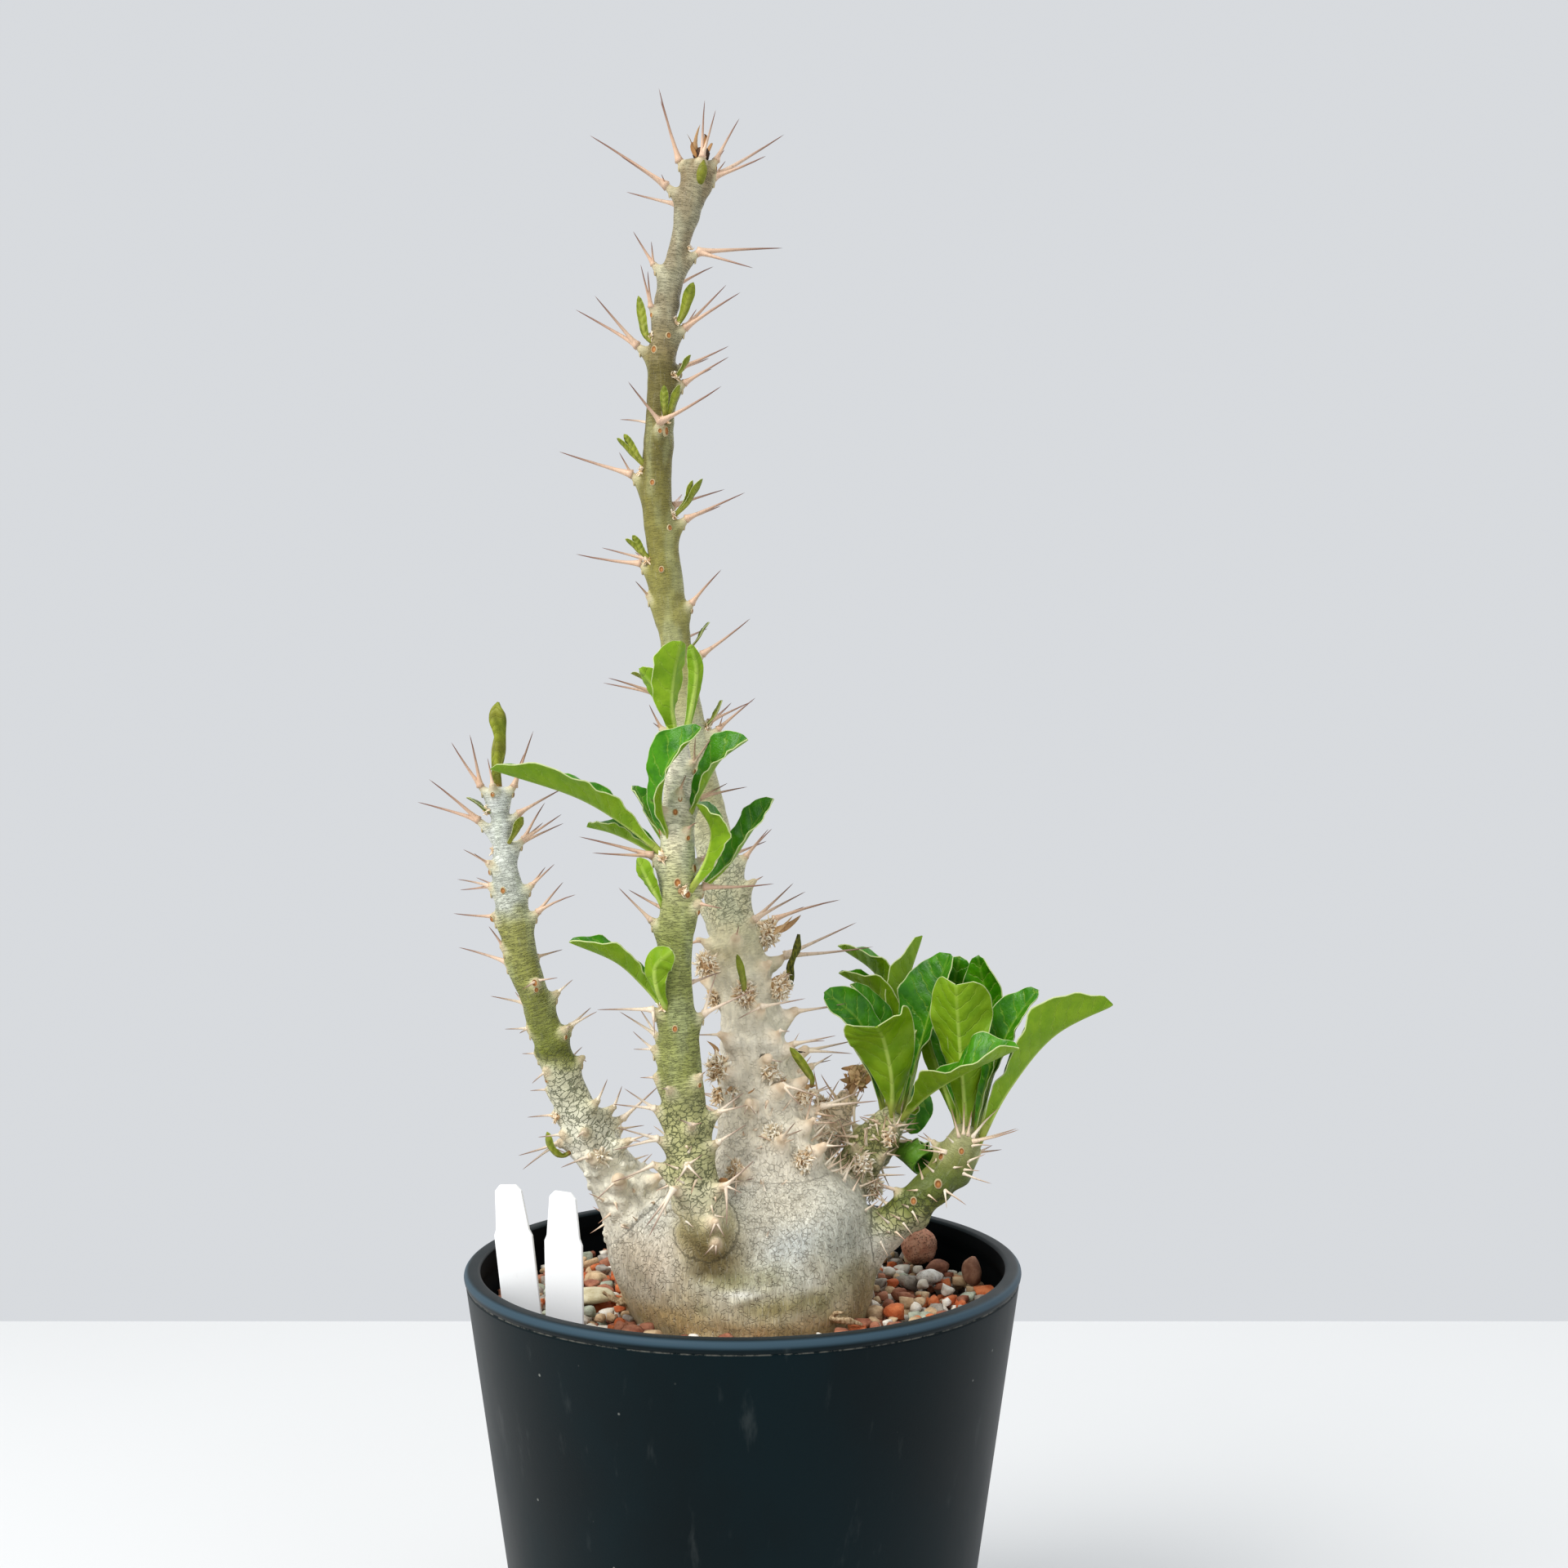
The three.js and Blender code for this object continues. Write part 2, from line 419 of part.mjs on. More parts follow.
// Leaves: four points along the midrib (right, back, up), width, the way the upper face looks,
// fold of the halves in degrees, depth of the edge's waves as a share of the half width, and grade
const leafGrades = {
  broad: { along: [0, 0.16, 0.36, 0.54, 0.7, 0.86, 1], across: [-1, -0.5, 0, 0.5, 1] },
  narrow: { along: [0, 0.2, 0.42, 0.64, 0.85, 1], across: [-1, 0, 1] },
  bud: { along: [0, 0.35, 0.72, 1], across: [-1, 0, 1] },
};
const leaves = {
  side_leaf_1: [[40.5, 3, 178], [40, -3, 190], [37.5, -7, 201], [36, -12, 206.5],
    18, [0, 1, 0.3], 10, 0.2, 'broad'],
  side_leaf_2: [[38.5, 6, 178], [35, 2.5, 193], [31.5, 1, 204], [22, -1, 213],
    11, [0.25, -0.75, 0.6], 18, 0.18, 'broad'],
  side_leaf_3: [[40, 8, 178], [40.5, 11, 193], [38.5, 11, 206], [32, 9, 212],
    7, [0.2, -0.5, 0.8], 25, 0.1, 'narrow'],
  side_leaf_4: [[41, 9, 177], [43, 16, 195], [38.5, 18, 210], [28, 17, 215],
    8, [0.25, 0.6, 0.8], 30, 0.1, 'narrow'],
  side_leaf_5: [[41.5, 10, 177], [42, 21, 198], [39, 25, 215], [28, 24, 222],
    8, [0.25, 0.6, 0.8], 30, 0.1, 'narrow'],
  side_leaf_6: [[43.5, 8.5, 177], [50, 17, 194], [47.5, 20, 210], [50, 21, 225.5],
    7.5, [-0.5, 0.8, 0.2], 35, 0.1, 'narrow'],
  side_leaf_7: [[43.5, 6, 177], [46, 8, 193], [48, 8, 208], [57, 9, 222],
    12, [-0.4, -0.7, 0.5], 20, 0.14, 'broad'],
  side_leaf_8: [[43, 4, 177], [50, -8, 188.5], [58.5, -19, 194], [72, -23, 198],
    10, [-0.3, 0.35, 0.9], 40, 0.2, 'broad'],
  side_leaf_9: [[42, 5, 178], [44.5, 3, 188], [46, 1.5, 196.5], [47, 0.5, 202],
    6, [-0.9, -0.3, 0.1], 50, 0.1, 'narrow'],
  side_leaf_10: [[44, 8, 175], [48, 13, 179], [51, 17, 183], [50, 21, 187],
    8, [0.3, -0.6, 0.7], 20, 0.1, 'narrow'],
  side_leaf_11: [[40, 9, 172], [44.5, 14, 171], [49, 17, 167], [51.5, 18, 161],
    9, [0.5, -0.4, 0.7], 45, 0.1, 'narrow'],
  right_leaf_1: [[60, -7, 174], [58.5, -7, 190], [57, -8, 204], [56.5, -12, 217],
    17, [0.1, 1, 0.1], 8, 0.15, 'broad'],
  right_leaf_2: [[60.5, -3, 174], [57.5, 9, 192], [58, 13, 207], [61, 12, 221],
    11, [0.1, -0.8, 0.5], 15, 0.12, 'broad'],
  right_leaf_3: [[62, -3, 174], [65.5, 5, 192], [66.5, 6, 208], [63.5, 4, 222],
    11, [-0.5, -0.7, 0.4], 20, 0.12, 'broad'],
  right_leaf_4: [[63, -5, 174], [67, -5, 190], [71.5, -5, 203], [80, -7, 213],
    11, [-0.45, -0.65, 0.6], 22, 0.12, 'broad'],
  right_leaf_5: [[63, -8, 173], [71.5, -11, 189], [83, -13, 203], [97.5, -16, 210.5],
    15, [-0.6, 0.5, 0.6], 25, 0.18, 'broad'],
  right_leaf_6: [[59, -5, 174], [57, -1, 188], [54.5, -1, 200], [52, -3, 212],
    7, [0.9, -0.2, 0.2], 30, 0.14, 'narrow'],
  right_leaf_7: [[62.2, -6.5, 174], [64, -8.5, 184], [66, -9, 192], [67.5, -10, 200],
    5.5, [-0.8, -0.5, 0.2], 45, 0.1, 'narrow'],
  right_leaf_8: [[59, -4, 173], [56, 7, 183], [53, 12, 192], [49.5, 12, 203],
    7.5, [0.3, 0.8, 0.4], 25, 0.1, 'narrow'],
  middle_leaf_1: [[-19, -27, 250], [-29, -27, 262], [-41, -28, 269.5], [-64, -30, 273],
    10.5, [0.5, 0.45, 0.75], 20, 0.1, 'broad'],
  middle_leaf_2: [[-19, -24.5, 249], [-28, -21, 254], [-34, -20, 256.5], [-40.5, -19, 258],
    5.5, [0.4, 0.4, 0.8], 25, 0.1, 'narrow'],
  middle_leaf_3: [[-18.5, -24, 252], [-24, -19, 259], [-27, -18, 264], [-29.5, -17, 268.5],
    5.5, [0.6, 0.5, 0.5], 25, 0.1, 'narrow'],
  middle_leaf_4: [[-18, -28, 253], [-21.5, -33, 264], [-19.5, -36, 275], [-10, -38, 284],
    10, [0, 1, 0.1], 30, 0.14, 'broad'],
  middle_leaf_5: [[-14.5, -26, 261], [-11, -30, 270], [-7, -31, 276.5], [2, -33, 281],
    7.5, [-0.4, 0.3, 0.85], 30, 0.14, 'narrow'],
  middle_leaf_6: [[-16, -26, 279], [-17, -29, 288], [-17, -30, 297], [-16, -31, 305],
    9, [0, 1, 0.1], 12, 0.08, 'broad'],
  middle_leaf_7: [[-17, -24.5, 278], [-20.5, -20, 288], [-23.5, -17, 295], [-27, -16, 299.5],
    7, [0.5, 0.7, 0.4], 25, 0.1, 'narrow'],
  middle_leaf_8: [[-15, -24, 279], [-13, -20, 290], [-12, -19, 299], [-13.5, -19, 305.5],
    6, [-0.3, 0.9, 0.2], 25, 0.1, 'narrow'],
  middle_leaf_9: [[-14, -28, 241], [-7.5, -32, 250], [-6, -33, 257], [-10.5, -34, 263.5],
    6.5, [0, 1, 0.2], 20, 0.1, 'narrow'],
  middle_leaf_10: [[-13.5, -25.5, 240], [-4.5, -23, 250], [1.5, -23, 257], [8, -23, 265],
    7.5, [-0.6, -0.5, 0.6], 20, 0.1, 'narrow'],
  middle_leaf_11: [[-19, -28, 210], [-24, -29, 219.5], [-30, -31, 226], [-43.5, -33, 229],
    8.5, [0.5, 0.45, 0.75], 25, 0.1, 'broad'],
  middle_leaf_12: [[-18.5, -29, 210], [-21, -34, 217], [-21, -36, 223], [-18, -38, 228],
    7, [0.2, 1, 0.1], 30, 0.1, 'narrow'],
  middle_leaf_13: [[-19.5, -27, 236.5], [-22.5, -29.5, 242], [-24.5, -30, 246], [-26.5, -29, 250],
    4.5, [1, 0.2, 0.1], 20, 0.08, 'bud'],
  left_leaf_2: [[-44, -15, 180], [-51, -16.5, 176.5], [-50.5, -16.5, 172.5], [-47.5, -17, 168.5],
    4, [-0.5, -0.5, 0.5], 25, 0.1, 'bud'],
  left_leaf_3: [[-62.5, -18.5, 260], [-67, -19.5, 262], [-69.5, -19.5, 264], [-72, -19.5, 265.5],
    4.5, [0.3, 0, 0.9], 20, 0.05, 'bud'],
  left_leaf_4: [[-62, -19, 252], [-59, -21.5, 256], [-58, -22, 258], [-57, -22, 260.5],
    3.5, [-0.6, 0.5, 0.5], 20, 0.05, 'bud'],
  leader_leaf_1: [[-23, 1.5, 389], [-28, 0, 393], [-29, 0, 397], [-28, 0, 401.5],
    4, [0.9, 0.3, 0.2], 20, 0.08, 'bud'],
  leader_leaf_2: [[-20.5, 1.5, 393], [-16, 0, 397.5], [-14.5, -1, 401], [-13.5, -1, 405],
    3.5, [-0.9, 0.2, 0.3], 20, 0.08, 'bud'],
  leader_leaf_3: [[-20.5, 2, 378], [-17, 1, 381.5], [-15.8, 1, 383.5], [-14.5, 1, 386],
    3, [-0.7, 0.3, 0.5], 20, 0.08, 'bud'],
  leader_leaf_8: [[-16, 5.5, 305], [-12.5, 5, 309], [-11, 5, 311.5], [-9.5, 5, 313.5],
    3.5, [-0.6, -0.2, 0.7], 20, 0.08, 'bud'],
  leader_leaf_9: [[-19, 6, 293], [-25, 5.5, 296], [-28, 5, 298], [-31, 5, 299.5],
    4.5, [0.4, 0.2, 0.9], 20, 0.08, 'bud'],
  leader_leaf_10: [[-13, 6, 283], [-8.5, 5, 287], [-7, 5, 289.5], [-6, 4.5, 292],
    4, [-0.6, -0.3, 0.7], 20, 0.08, 'bud'],
  trunk_leaf_1: [[0, -3, 212], [-0.5, -8.5, 218], [-1, -9.5, 221], [-1.5, -10, 225],
    2.6, [0, 1, 0.2], 30, 0, 'bud'],
  trunk_leaf_3: [[10, -6, 188], [17, -11, 191.5], [15, -13, 196], [12.5, -14, 200],
    3.6, [0.2, 1, 0.3], 20, 0.05, 'bud'],
};

// Pairs of small leaves out of one bud, each pair one solid
const leafPairs = {
  leader_leaf_4: [
    [[-22.5, 1, 367], [-21.5, -3.5, 370], [-21, -4.5, 373], [-20, -5, 377],
      3.8, [0, 1, 0.2], 20, 0.05, 'bud'],
    [[-22.5, 1, 367], [-18.5, -3, 370], [-17, -3.5, 372], [-16, -4, 375],
      3.4, [-0.6, 0.7, 0.3], 20, 0.05, 'bud'],
  ],
  leader_leaf_5: [
    [[-24, 4, 353], [-30, 2.5, 359], [-32.5, 2, 361.5], [-35.5, 2, 363.5],
      3.8, [0.6, 0.2, 0.7], 20, 0.08, 'bud'],
    [[-24, 4, 353], [-28, 1.5, 359], [-28.7, 1, 362], [-28.7, 0.5, 365],
      3.4, [0.6, 0.7, 0.2], 20, 0.08, 'bud'],
  ],
  leader_leaf_6: [
    [[-23, 5, 341], [-16, 3, 346], [-14, 2, 348], [-11, 2, 350.5],
      3.6, [-0.5, 0.2, 0.8], 20, 0.08, 'bud'],
    [[-23, 5, 341], [-17.5, 3, 347.5], [-16, 2, 350], [-14.5, 1.5, 353],
      3.2, [-0.7, 0.5, 0.3], 20, 0.08, 'bud'],
  ],
  leader_leaf_7: [
    [[-21.5, 5, 329], [-28, 4, 333], [-30.5, 3.5, 335], [-33.5, 3.5, 337.5],
      3.8, [0.6, 0.2, 0.7], 20, 0.08, 'bud'],
    [[-21.5, 5, 329], [-26.5, 2, 333], [-27, 2, 335.5], [-27, 1.5, 338],
      3.2, [0.5, 0.8, 0.2], 20, 0.08, 'bud'],
  ],
};

// Half width along a leaf: narrow at the stalk, widest near the tip, as a share of the widest
function leafShape(share) {
  const widest = 0.74;
  const rise = 1.3;
  const fall = (rise * (1 - widest)) / widest;
  const peak = widest ** rise * (1 - widest) ** fall;
  return (share ** rise * (1 - share) ** fall) / peak;
}

// One curved blade: a folded, wavy sheet of even thickness
function leafBlade([base, lower, upper, tip, width, face, fold, wave, grade]) {
  const { along, across } = leafGrades[grade];
  const midrib = new THREE.CatmullRomCurve3([base, lower, upper, tip].map(vector));
  const stalkHalf = grade === 'bud' ? 0.6 : 0.8;
  const tipHalf = 0.4;
  const points = [];
  for (const side of [1, -1]) {
    along.forEach((share) => {
      const tangent = midrib.getTangent(share);
      const right = new THREE.Vector3().crossVectors(tangent, vector(face)).normalize();
      const up = new THREE.Vector3().crossVectors(right, tangent);
      const least = share < 0.5 ? stalkHalf : tipHalf;
      const half = Math.max(least, 0.5 * width * leafShape(share));
      const tilt = degrees(fold) * (1 - 0.4 * share);
      across.forEach((place) => {
        const away = Math.sign(place);
        const ripple = wave * half * place * place * Math.sin(edgeWaves * share + edgeSlant * place + width);
        const normal = up.clone().multiplyScalar(Math.cos(tilt * Math.abs(away)));
        normal.addScaledVector(right, -away * Math.sin(tilt));
        points.push(
          midrib
            .getPoint(share)
            .addScaledVector(right, half * place * Math.cos(tilt))
            .addScaledVector(up, half * Math.abs(place) * Math.sin(tilt) + ripple)
            .addScaledVector(normal, (side * bladeThickness) / 2),
        );
      });
    });
  }
  const columns = across.length;
  const rows = along.length;
  const below = rows * columns;
  const faces = [];
  for (let row = 0; row + 1 < rows; row += 1) {
    for (let k = 0; k + 1 < columns; k += 1) {
      const a = row * columns + k;
      const [b, c, d] = [a + 1, a + columns + 1, a + columns];
      faces.push(a, b, c, a, c, d);
      faces.push(below + a, below + c, below + b, below + a, below + d, below + c);
    }
  }
  const rim = [];
  for (let k = 0; k + 1 < columns; k += 1) {
    rim.push(k);
  }
  for (let row = 0; row + 1 < rows; row += 1) {
    rim.push(row * columns + columns - 1);
  }
  for (let k = columns - 1; k > 0; k -= 1) {
    rim.push((rows - 1) * columns + k);
  }
  for (let row = rows - 1; row > 0; row -= 1) {
    rim.push(row * columns);
  }
  rim.forEach((here, i) => {
    const next = rim[(i + 1) % rim.length];
    faces.push(here, below + here, below + next, here, below + next, next);
  });
  const geometry = new THREE.BufferGeometry();
  const places = points.flatMap((point) => [point.x, point.y, point.z]);
  geometry.setAttribute('position', new THREE.Float32BufferAttribute(places, 3));
  geometry.setIndex(faces);
  return geometry;
}

// A level ring of points round the pot's axis
function potRing(radius, z) {
  const ring = [];
  for (let k = 0; k < potSides; k += 1) {
    const turn = (2 * Math.PI * k) / potSides;
    ring.push(new THREE.Vector3(radius * Math.cos(turn), radius * Math.sin(turn), z));
  }
  return ring;
}

const outerRadius = (z) => rimRadius - wallTaper * (potHeight - z);
const innerRadius = (z) => outerRadius(z) - wallThickness;
const rimInner = rimRadius - rimWidth;

function pot() {
  const profile = [
    [outerRadius(0) - footChamfer, 0],
    [outerRadius(footChamfer), footChamfer],
    [outerRadius(potHeight - 3), potHeight - 3],
    [rimRadius, potHeight - rimRound],
    [rimRadius - 0.5, potHeight - 0.5],
    [rimRadius - rimRound, potHeight],
    [rimInner + 1, potHeight],
    [rimInner, potHeight - 1],
    [rimInner, potHeight - rimDepth],
    [innerRadius(potHeight - rimDepth - 2), potHeight - rimDepth - 2],
    [innerRadius(floorThickness), floorThickness],
  ];
  const rings = profile.map(([radius, z]) => potRing(radius, z));
  const shell = solidOf(skin(rings, new THREE.Vector3(0, 0, 0), new THREE.Vector3(0, 0, floorThickness)));
  const holes = [];
  for (let k = 0; k < drainHoles; k += 1) {
    const turn = (2 * Math.PI * (k + 0.5)) / drainHoles;
    const hole = new THREE.CylinderGeometry(drainHoleRadius, drainHoleRadius, 4 * floorThickness, 10);
    hole.rotateX(Math.PI / 2);
    hole.translate(drainCircleRadius * Math.cos(turn), drainCircleRadius * Math.sin(turn), 0);
    holes.push(solidOf(hole));
  }
  return shell.subtract(joined(holes));
}

// Plant labels: right, back and up of the middle of the label at the gravel, then its turn about
// the upright, its lean to the right and its lean to the back, in degrees
const labels = {
  label_left: [-54.6, -33.5, gravelTop, -22, -4.5, -5],
  label_right: [-43.6, -41.2, gravelTop, -26, 1.5, -4],
};

function label([x, y, z, turn, lean, back], grow = 0) {
  const half = labelWidth / 2 + grow;
  const headHalf = labelHeadWidth / 2 + grow;
  const above = labelLength - labelPoint - labelBuried + grow;
  const outline = new THREE.Shape();
  outline.moveTo(-half, labelPoint - labelBuried);
  outline.lineTo(-labelCut, -labelBuried - grow);
  outline.lineTo(labelCut, -labelBuried - grow);
  outline.lineTo(half, labelPoint - labelBuried);
  outline.lineTo(half, above - labelHead);
  outline.lineTo(headHalf + 1, above - labelHead + labelCut);
  outline.lineTo(headHalf, above - labelCut);
  outline.lineTo(headHalf - labelCut, above);
  outline.lineTo(labelCut - headHalf, above);
  outline.lineTo(-headHalf, above - labelCut);
  outline.lineTo(-headHalf - 1, above - labelHead + labelCut);
  outline.lineTo(-half, above - labelHead);
  const depth = labelThickness + 2 * grow;
  const plate = new THREE.ExtrudeGeometry(outline, { depth, bevelEnabled: false });
  plate.translate(0, 0, -depth / 2);
  plate.rotateX(Math.PI / 2 - degrees(back));
  plate.rotateY(degrees(lean));
  plate.rotateZ(degrees(turn));
  plate.translate(x, y, z);
  return solidOf(plate);
}

// Loose stones on the gravel: right, back, half sizes, turn, faceting and colour
const stones = {
  lava_ball: [50.5, 38, [5.2, 5.2, 5.2], 0, 2, colours.lava],
  brown_stone: [55, 27, [3.4, 2.6, 2.2], 20, 1, colours.lava],
  tall_stone: [63.4, 14, [2.8, 2.8, 4.2], 0, 1, colours.lava],
  pumice: [52, 17, [3.8, 2.8, 2], 10, 1, colours.pumice],
  flat_stone: [-41.5, -2, [7, 5.6, 1.9], 15, 1, colours.cream],
};

function stone([x, y, size, turn, facets], grow = 0) {
  const body = new THREE.IcosahedronGeometry(1, facets);
  body.scale(size[0] + grow, size[1] + grow, size[2] + grow);
  body.rotateZ(degrees(turn));
  body.translate(x, y, gravelTop + gap + size[2]);
  return solidOf(body);
}

// The gravel: a filling of the pot with pebbles half sunk in its top
function gravel() {
  const rings = [
    potRing(innerRadius(floorThickness) - gap - 0.1, floorThickness + gap),
    potRing(innerRadius(gravelTop - 1) - gap, gravelTop - 1),
    potRing(innerRadius(gravelTop) - gap - 1, gravelTop),
  ];
  const start = new THREE.Vector3(0, 0, floorThickness + gap);
  const solids = [solidOf(skin(rings, start, new THREE.Vector3(0, 0, gravelTop)))];
  const random = seeded(2024);
  const placed = [];
  const clearOf = (x, y, room) =>
    placed.every(([px, py, radius]) => Math.hypot(px - x, py - y) > pebbleSpacing * 0.5 + radius * 0.85) &&
    Math.hypot(x - 1.5, y + 5.5) > caudexRoom + 0.4 * room &&
    Object.values(stones).every(([sx, sy, size]) => Math.hypot(sx - x, sy - y) > size[0] * 0.75 + room) &&
    Object.values(labels).every(([lx, ly]) => Math.hypot(lx - x, ly - y) > room + 3.5);
  for (let tries = 0; tries < pebbleTries && placed.length < pebbleCount; tries += 1) {
    const radius = pebbleSmall + (pebbleLarge - pebbleSmall) * random();
    const reach = (innerRadius(gravelTop) - radius - 0.8) * Math.sqrt(random());
    const turn = 2 * Math.PI * random();
    const [x, y] = [reach * Math.cos(turn), reach * Math.sin(turn)];
    if (clearOf(x, y, radius)) {
      placed.push([x, y, radius]);
      const pebble = new THREE.OctahedronGeometry(1.15, 0);
      pebble.rotateX(3 * random());
      pebble.scale(radius, radius * (0.7 + 0.25 * random()), radius * 0.62);
      pebble.rotateZ(6 * random());
      pebble.translate(x, y, gravelTop - 0.15 * radius);
      solids.push(solidOf(pebble));
    }
  }
  return joined(solids);
}

const group = new THREE.Group();

function add(name, solid, colour, roughness = 0.7) {
  const material = new THREE.MeshStandardMaterial({ color: colour, roughness, metalness: 0 });
  const mesh = new THREE.Mesh(geometryOf(solid), material);
  mesh.name = name;
  group.add(mesh);
}

const plant = mainBody(joined([solidOf(caudex()), ...stemSolids()]));
const plantRoom = mainBody(joined([solidOf(caudex(gap)), ...stemSolids(gap)]));
const labelRoom = Object.values(labels).map((place) => label(place, gap));
const stoneRoom = Object.values(stones).map((place) => stone(place, gap));

add('pot', pot(), colours.pot, 0.55);
const gravelHoles = joined([plantRoom, ...labelRoom, ...stoneRoom]);
add('gravel', mainBody(gravel().subtract(gravelHoles)), colours.gravel, 0.9);
add('kudu_lily_body', plant, colours.bark, 0.8);
for (const [name, place] of Object.entries(stones)) {
  add(name, stone(place), place[5], 0.9);
}
for (const [name, place] of Object.entries(labels)) {
  add(name, label(place), colours.label, 0.5);
}
for (const [name, leaf] of Object.entries(leaves)) {
  add(name, mainBody(solidOf(leafBlade(leaf)).subtract(plantRoom)), colours.leaf, 0.5);
}
for (const [name, pair] of Object.entries(leafPairs)) {
  const blades = joined(pair.map((leaf) => solidOf(leafBlade(leaf))));
  add(name, mainBody(blades.subtract(plantRoom)), colours.leaf, 0.5);
}

// Furled young leaves, as slim tubes
const furled = {
  left_leaf_1: [[-64, -18, 266, 0.9], [-64.3, -18, 273, 1.5], [-64, -18, 282, 1.7], [-64, -18, 289, 1.1]],
  trunk_leaf_2: [[7, 3, 211, 0.8], [12.5, 0, 215, 0.8], [13.2, -1, 221, 0.8], [14.8, -1, 227, 0.6]],
};
for (const [name, path] of Object.entries(furled)) {
  add(name, mainBody(solidOf(limb(path, 6)).subtract(plantRoom)), colours.leaf, 0.6);
}

export default group;
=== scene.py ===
# Looks of the potted kudu lily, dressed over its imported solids.
# Tables are in millimetres, as on the bench, and every mesh is turned to metres as it is made.
import math

import bmesh
import bpy
import numpy as np
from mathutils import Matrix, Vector
from mathutils.geometry import delaunay_2d_cdt


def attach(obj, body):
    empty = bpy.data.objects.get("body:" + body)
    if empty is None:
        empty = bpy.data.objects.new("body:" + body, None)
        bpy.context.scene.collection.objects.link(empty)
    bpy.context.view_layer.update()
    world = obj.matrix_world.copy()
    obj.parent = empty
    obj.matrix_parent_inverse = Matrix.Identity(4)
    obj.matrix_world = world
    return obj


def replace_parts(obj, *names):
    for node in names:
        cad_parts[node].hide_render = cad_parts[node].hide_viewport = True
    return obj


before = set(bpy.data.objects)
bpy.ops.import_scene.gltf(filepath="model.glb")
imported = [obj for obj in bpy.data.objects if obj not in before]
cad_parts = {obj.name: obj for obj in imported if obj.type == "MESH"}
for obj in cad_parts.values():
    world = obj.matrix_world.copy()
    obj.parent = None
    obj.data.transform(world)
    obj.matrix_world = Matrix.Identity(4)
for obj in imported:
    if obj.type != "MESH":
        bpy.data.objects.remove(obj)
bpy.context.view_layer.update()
mm = 0.001
print("frame loaded:", len(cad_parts), "nodes")


# The same simple generator as the solids use, so that the rows of spines fall alike
generator = dict(factor=1664525, addend=1013904223, size=2**32)


def seeded(seed):
    state = seed

    def draw():
        nonlocal state
        state = (state * generator["factor"] + generator["addend"]) % generator["size"]
        return state / generator["size"]

    return draw


def unit(vectors):
    return vectors / np.maximum(np.linalg.norm(vectors, axis=-1, keepdims=True), 1e-9)


# 0 below low, 1 above high, an S-curve between
def ease(value, low, high):
    t = np.clip((value - low) / (high - low), 0, 1)
    return t * t * (3 - 2 * t)


# 1 below low, 0 above high
def fall(value, low, high):
    return ease(-value, -high, -low)


def srgb(red, green, blue):
    values = np.array([red, green, blue], float) / 255
    return np.where(values <= 0.04045, values / 12.92, ((values + 0.055) / 1.055) ** 2.4)


def paint(red, green, blue):
    return (*srgb(red, green, blue), 1.0)


# Smooth value noise: random numbers on the corners of a lattice, eased between, from -1 to 1
noiseTable = np.random.default_rng(5).uniform(-1, 1, 4096)
noisePrimes = np.array([73856093, 19349663, 83492791])


def noiseAt(points, scale, seed=0):
    at = np.asarray(points, float) * scale + 100.0 + 17.3 * seed
    cell = np.floor(at).astype(np.int64)
    t = at - cell
    t = t * t * (3 - 2 * t)
    total = np.zeros(len(at))
    for corner in range(8):
        step = np.array([corner & 1, (corner >> 1) & 1, corner >> 2])
        place = (cell + step) * noisePrimes
        slot = (place[:, 0] ^ place[:, 1] ^ place[:, 2]) % len(noiseTable)
        total += noiseTable[slot] * np.prod(np.where(step, t, 1 - t), axis=1)
    return total


# One mesh piece from points in millimetres and faces of three or four corners
def makePiece(name, points, faces, materials, faceMaterial=None, attributes=None,
              normals=None, smooth=True):
    faces = [np.asarray(block, np.int64) for block in faces if len(block)]
    mesh = bpy.data.meshes.new(name)
    mesh.vertices.add(len(points))
    mesh.vertices.foreach_set("co", (np.asarray(points, float) * mm).ravel())
    corners = np.concatenate([block.ravel() for block in faces])
    sizes = np.concatenate([np.full(len(block), block.shape[1]) for block in faces])
    mesh.loops.add(len(corners))
    mesh.loops.foreach_set("vertex_index", corners)
    mesh.polygons.add(len(sizes))
    mesh.polygons.foreach_set("loop_start", np.concatenate([[0], np.cumsum(sizes)[:-1]]))
    for material in materials:
        mesh.materials.append(material)
    if faceMaterial is not None:
        mesh.polygons.foreach_set("material_index", np.asarray(faceMaterial, np.int32))
    mesh.update(calc_edges=True)
    mesh.polygons.foreach_set("use_smooth", np.full(len(sizes), smooth))
    for label, values in (attributes or {}).items():
        values = np.asarray(values, np.float32)
        kind, field = ("FLOAT_VECTOR", "vector") if values.shape[1] == 3 else ("FLOAT_COLOR", "color")
        mesh.attributes.new(label, kind, "POINT").data.foreach_set(field, values.ravel())
    if normals is not None:
        mesh.normals_split_custom_set_from_vertices(np.asarray(normals, np.float32).tolist())
    piece = bpy.data.objects.new(name, mesh)
    bpy.context.scene.collection.objects.link(piece)
    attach(piece, "root")
    return piece


def rgba(colours):
    return np.concatenate([colours, np.ones((len(colours), 1))], axis=1)


def turnsOf(count):
    return 2 * math.pi * np.arange(count) / count


# Faces between closed rings of points, one ring after the other
def ringFaces(rings, sides, inward=False):
    row, k = np.meshgrid(np.arange(rings - 1), np.arange(sides), indexing="ij")
    a, b = row * sides + k, row * sides + (k + 1) % sides
    corners = [a, a + sides, b + sides, b] if inward else [a, b, b + sides, a + sides]
    return np.stack(corners, -1).reshape(-1, 4)


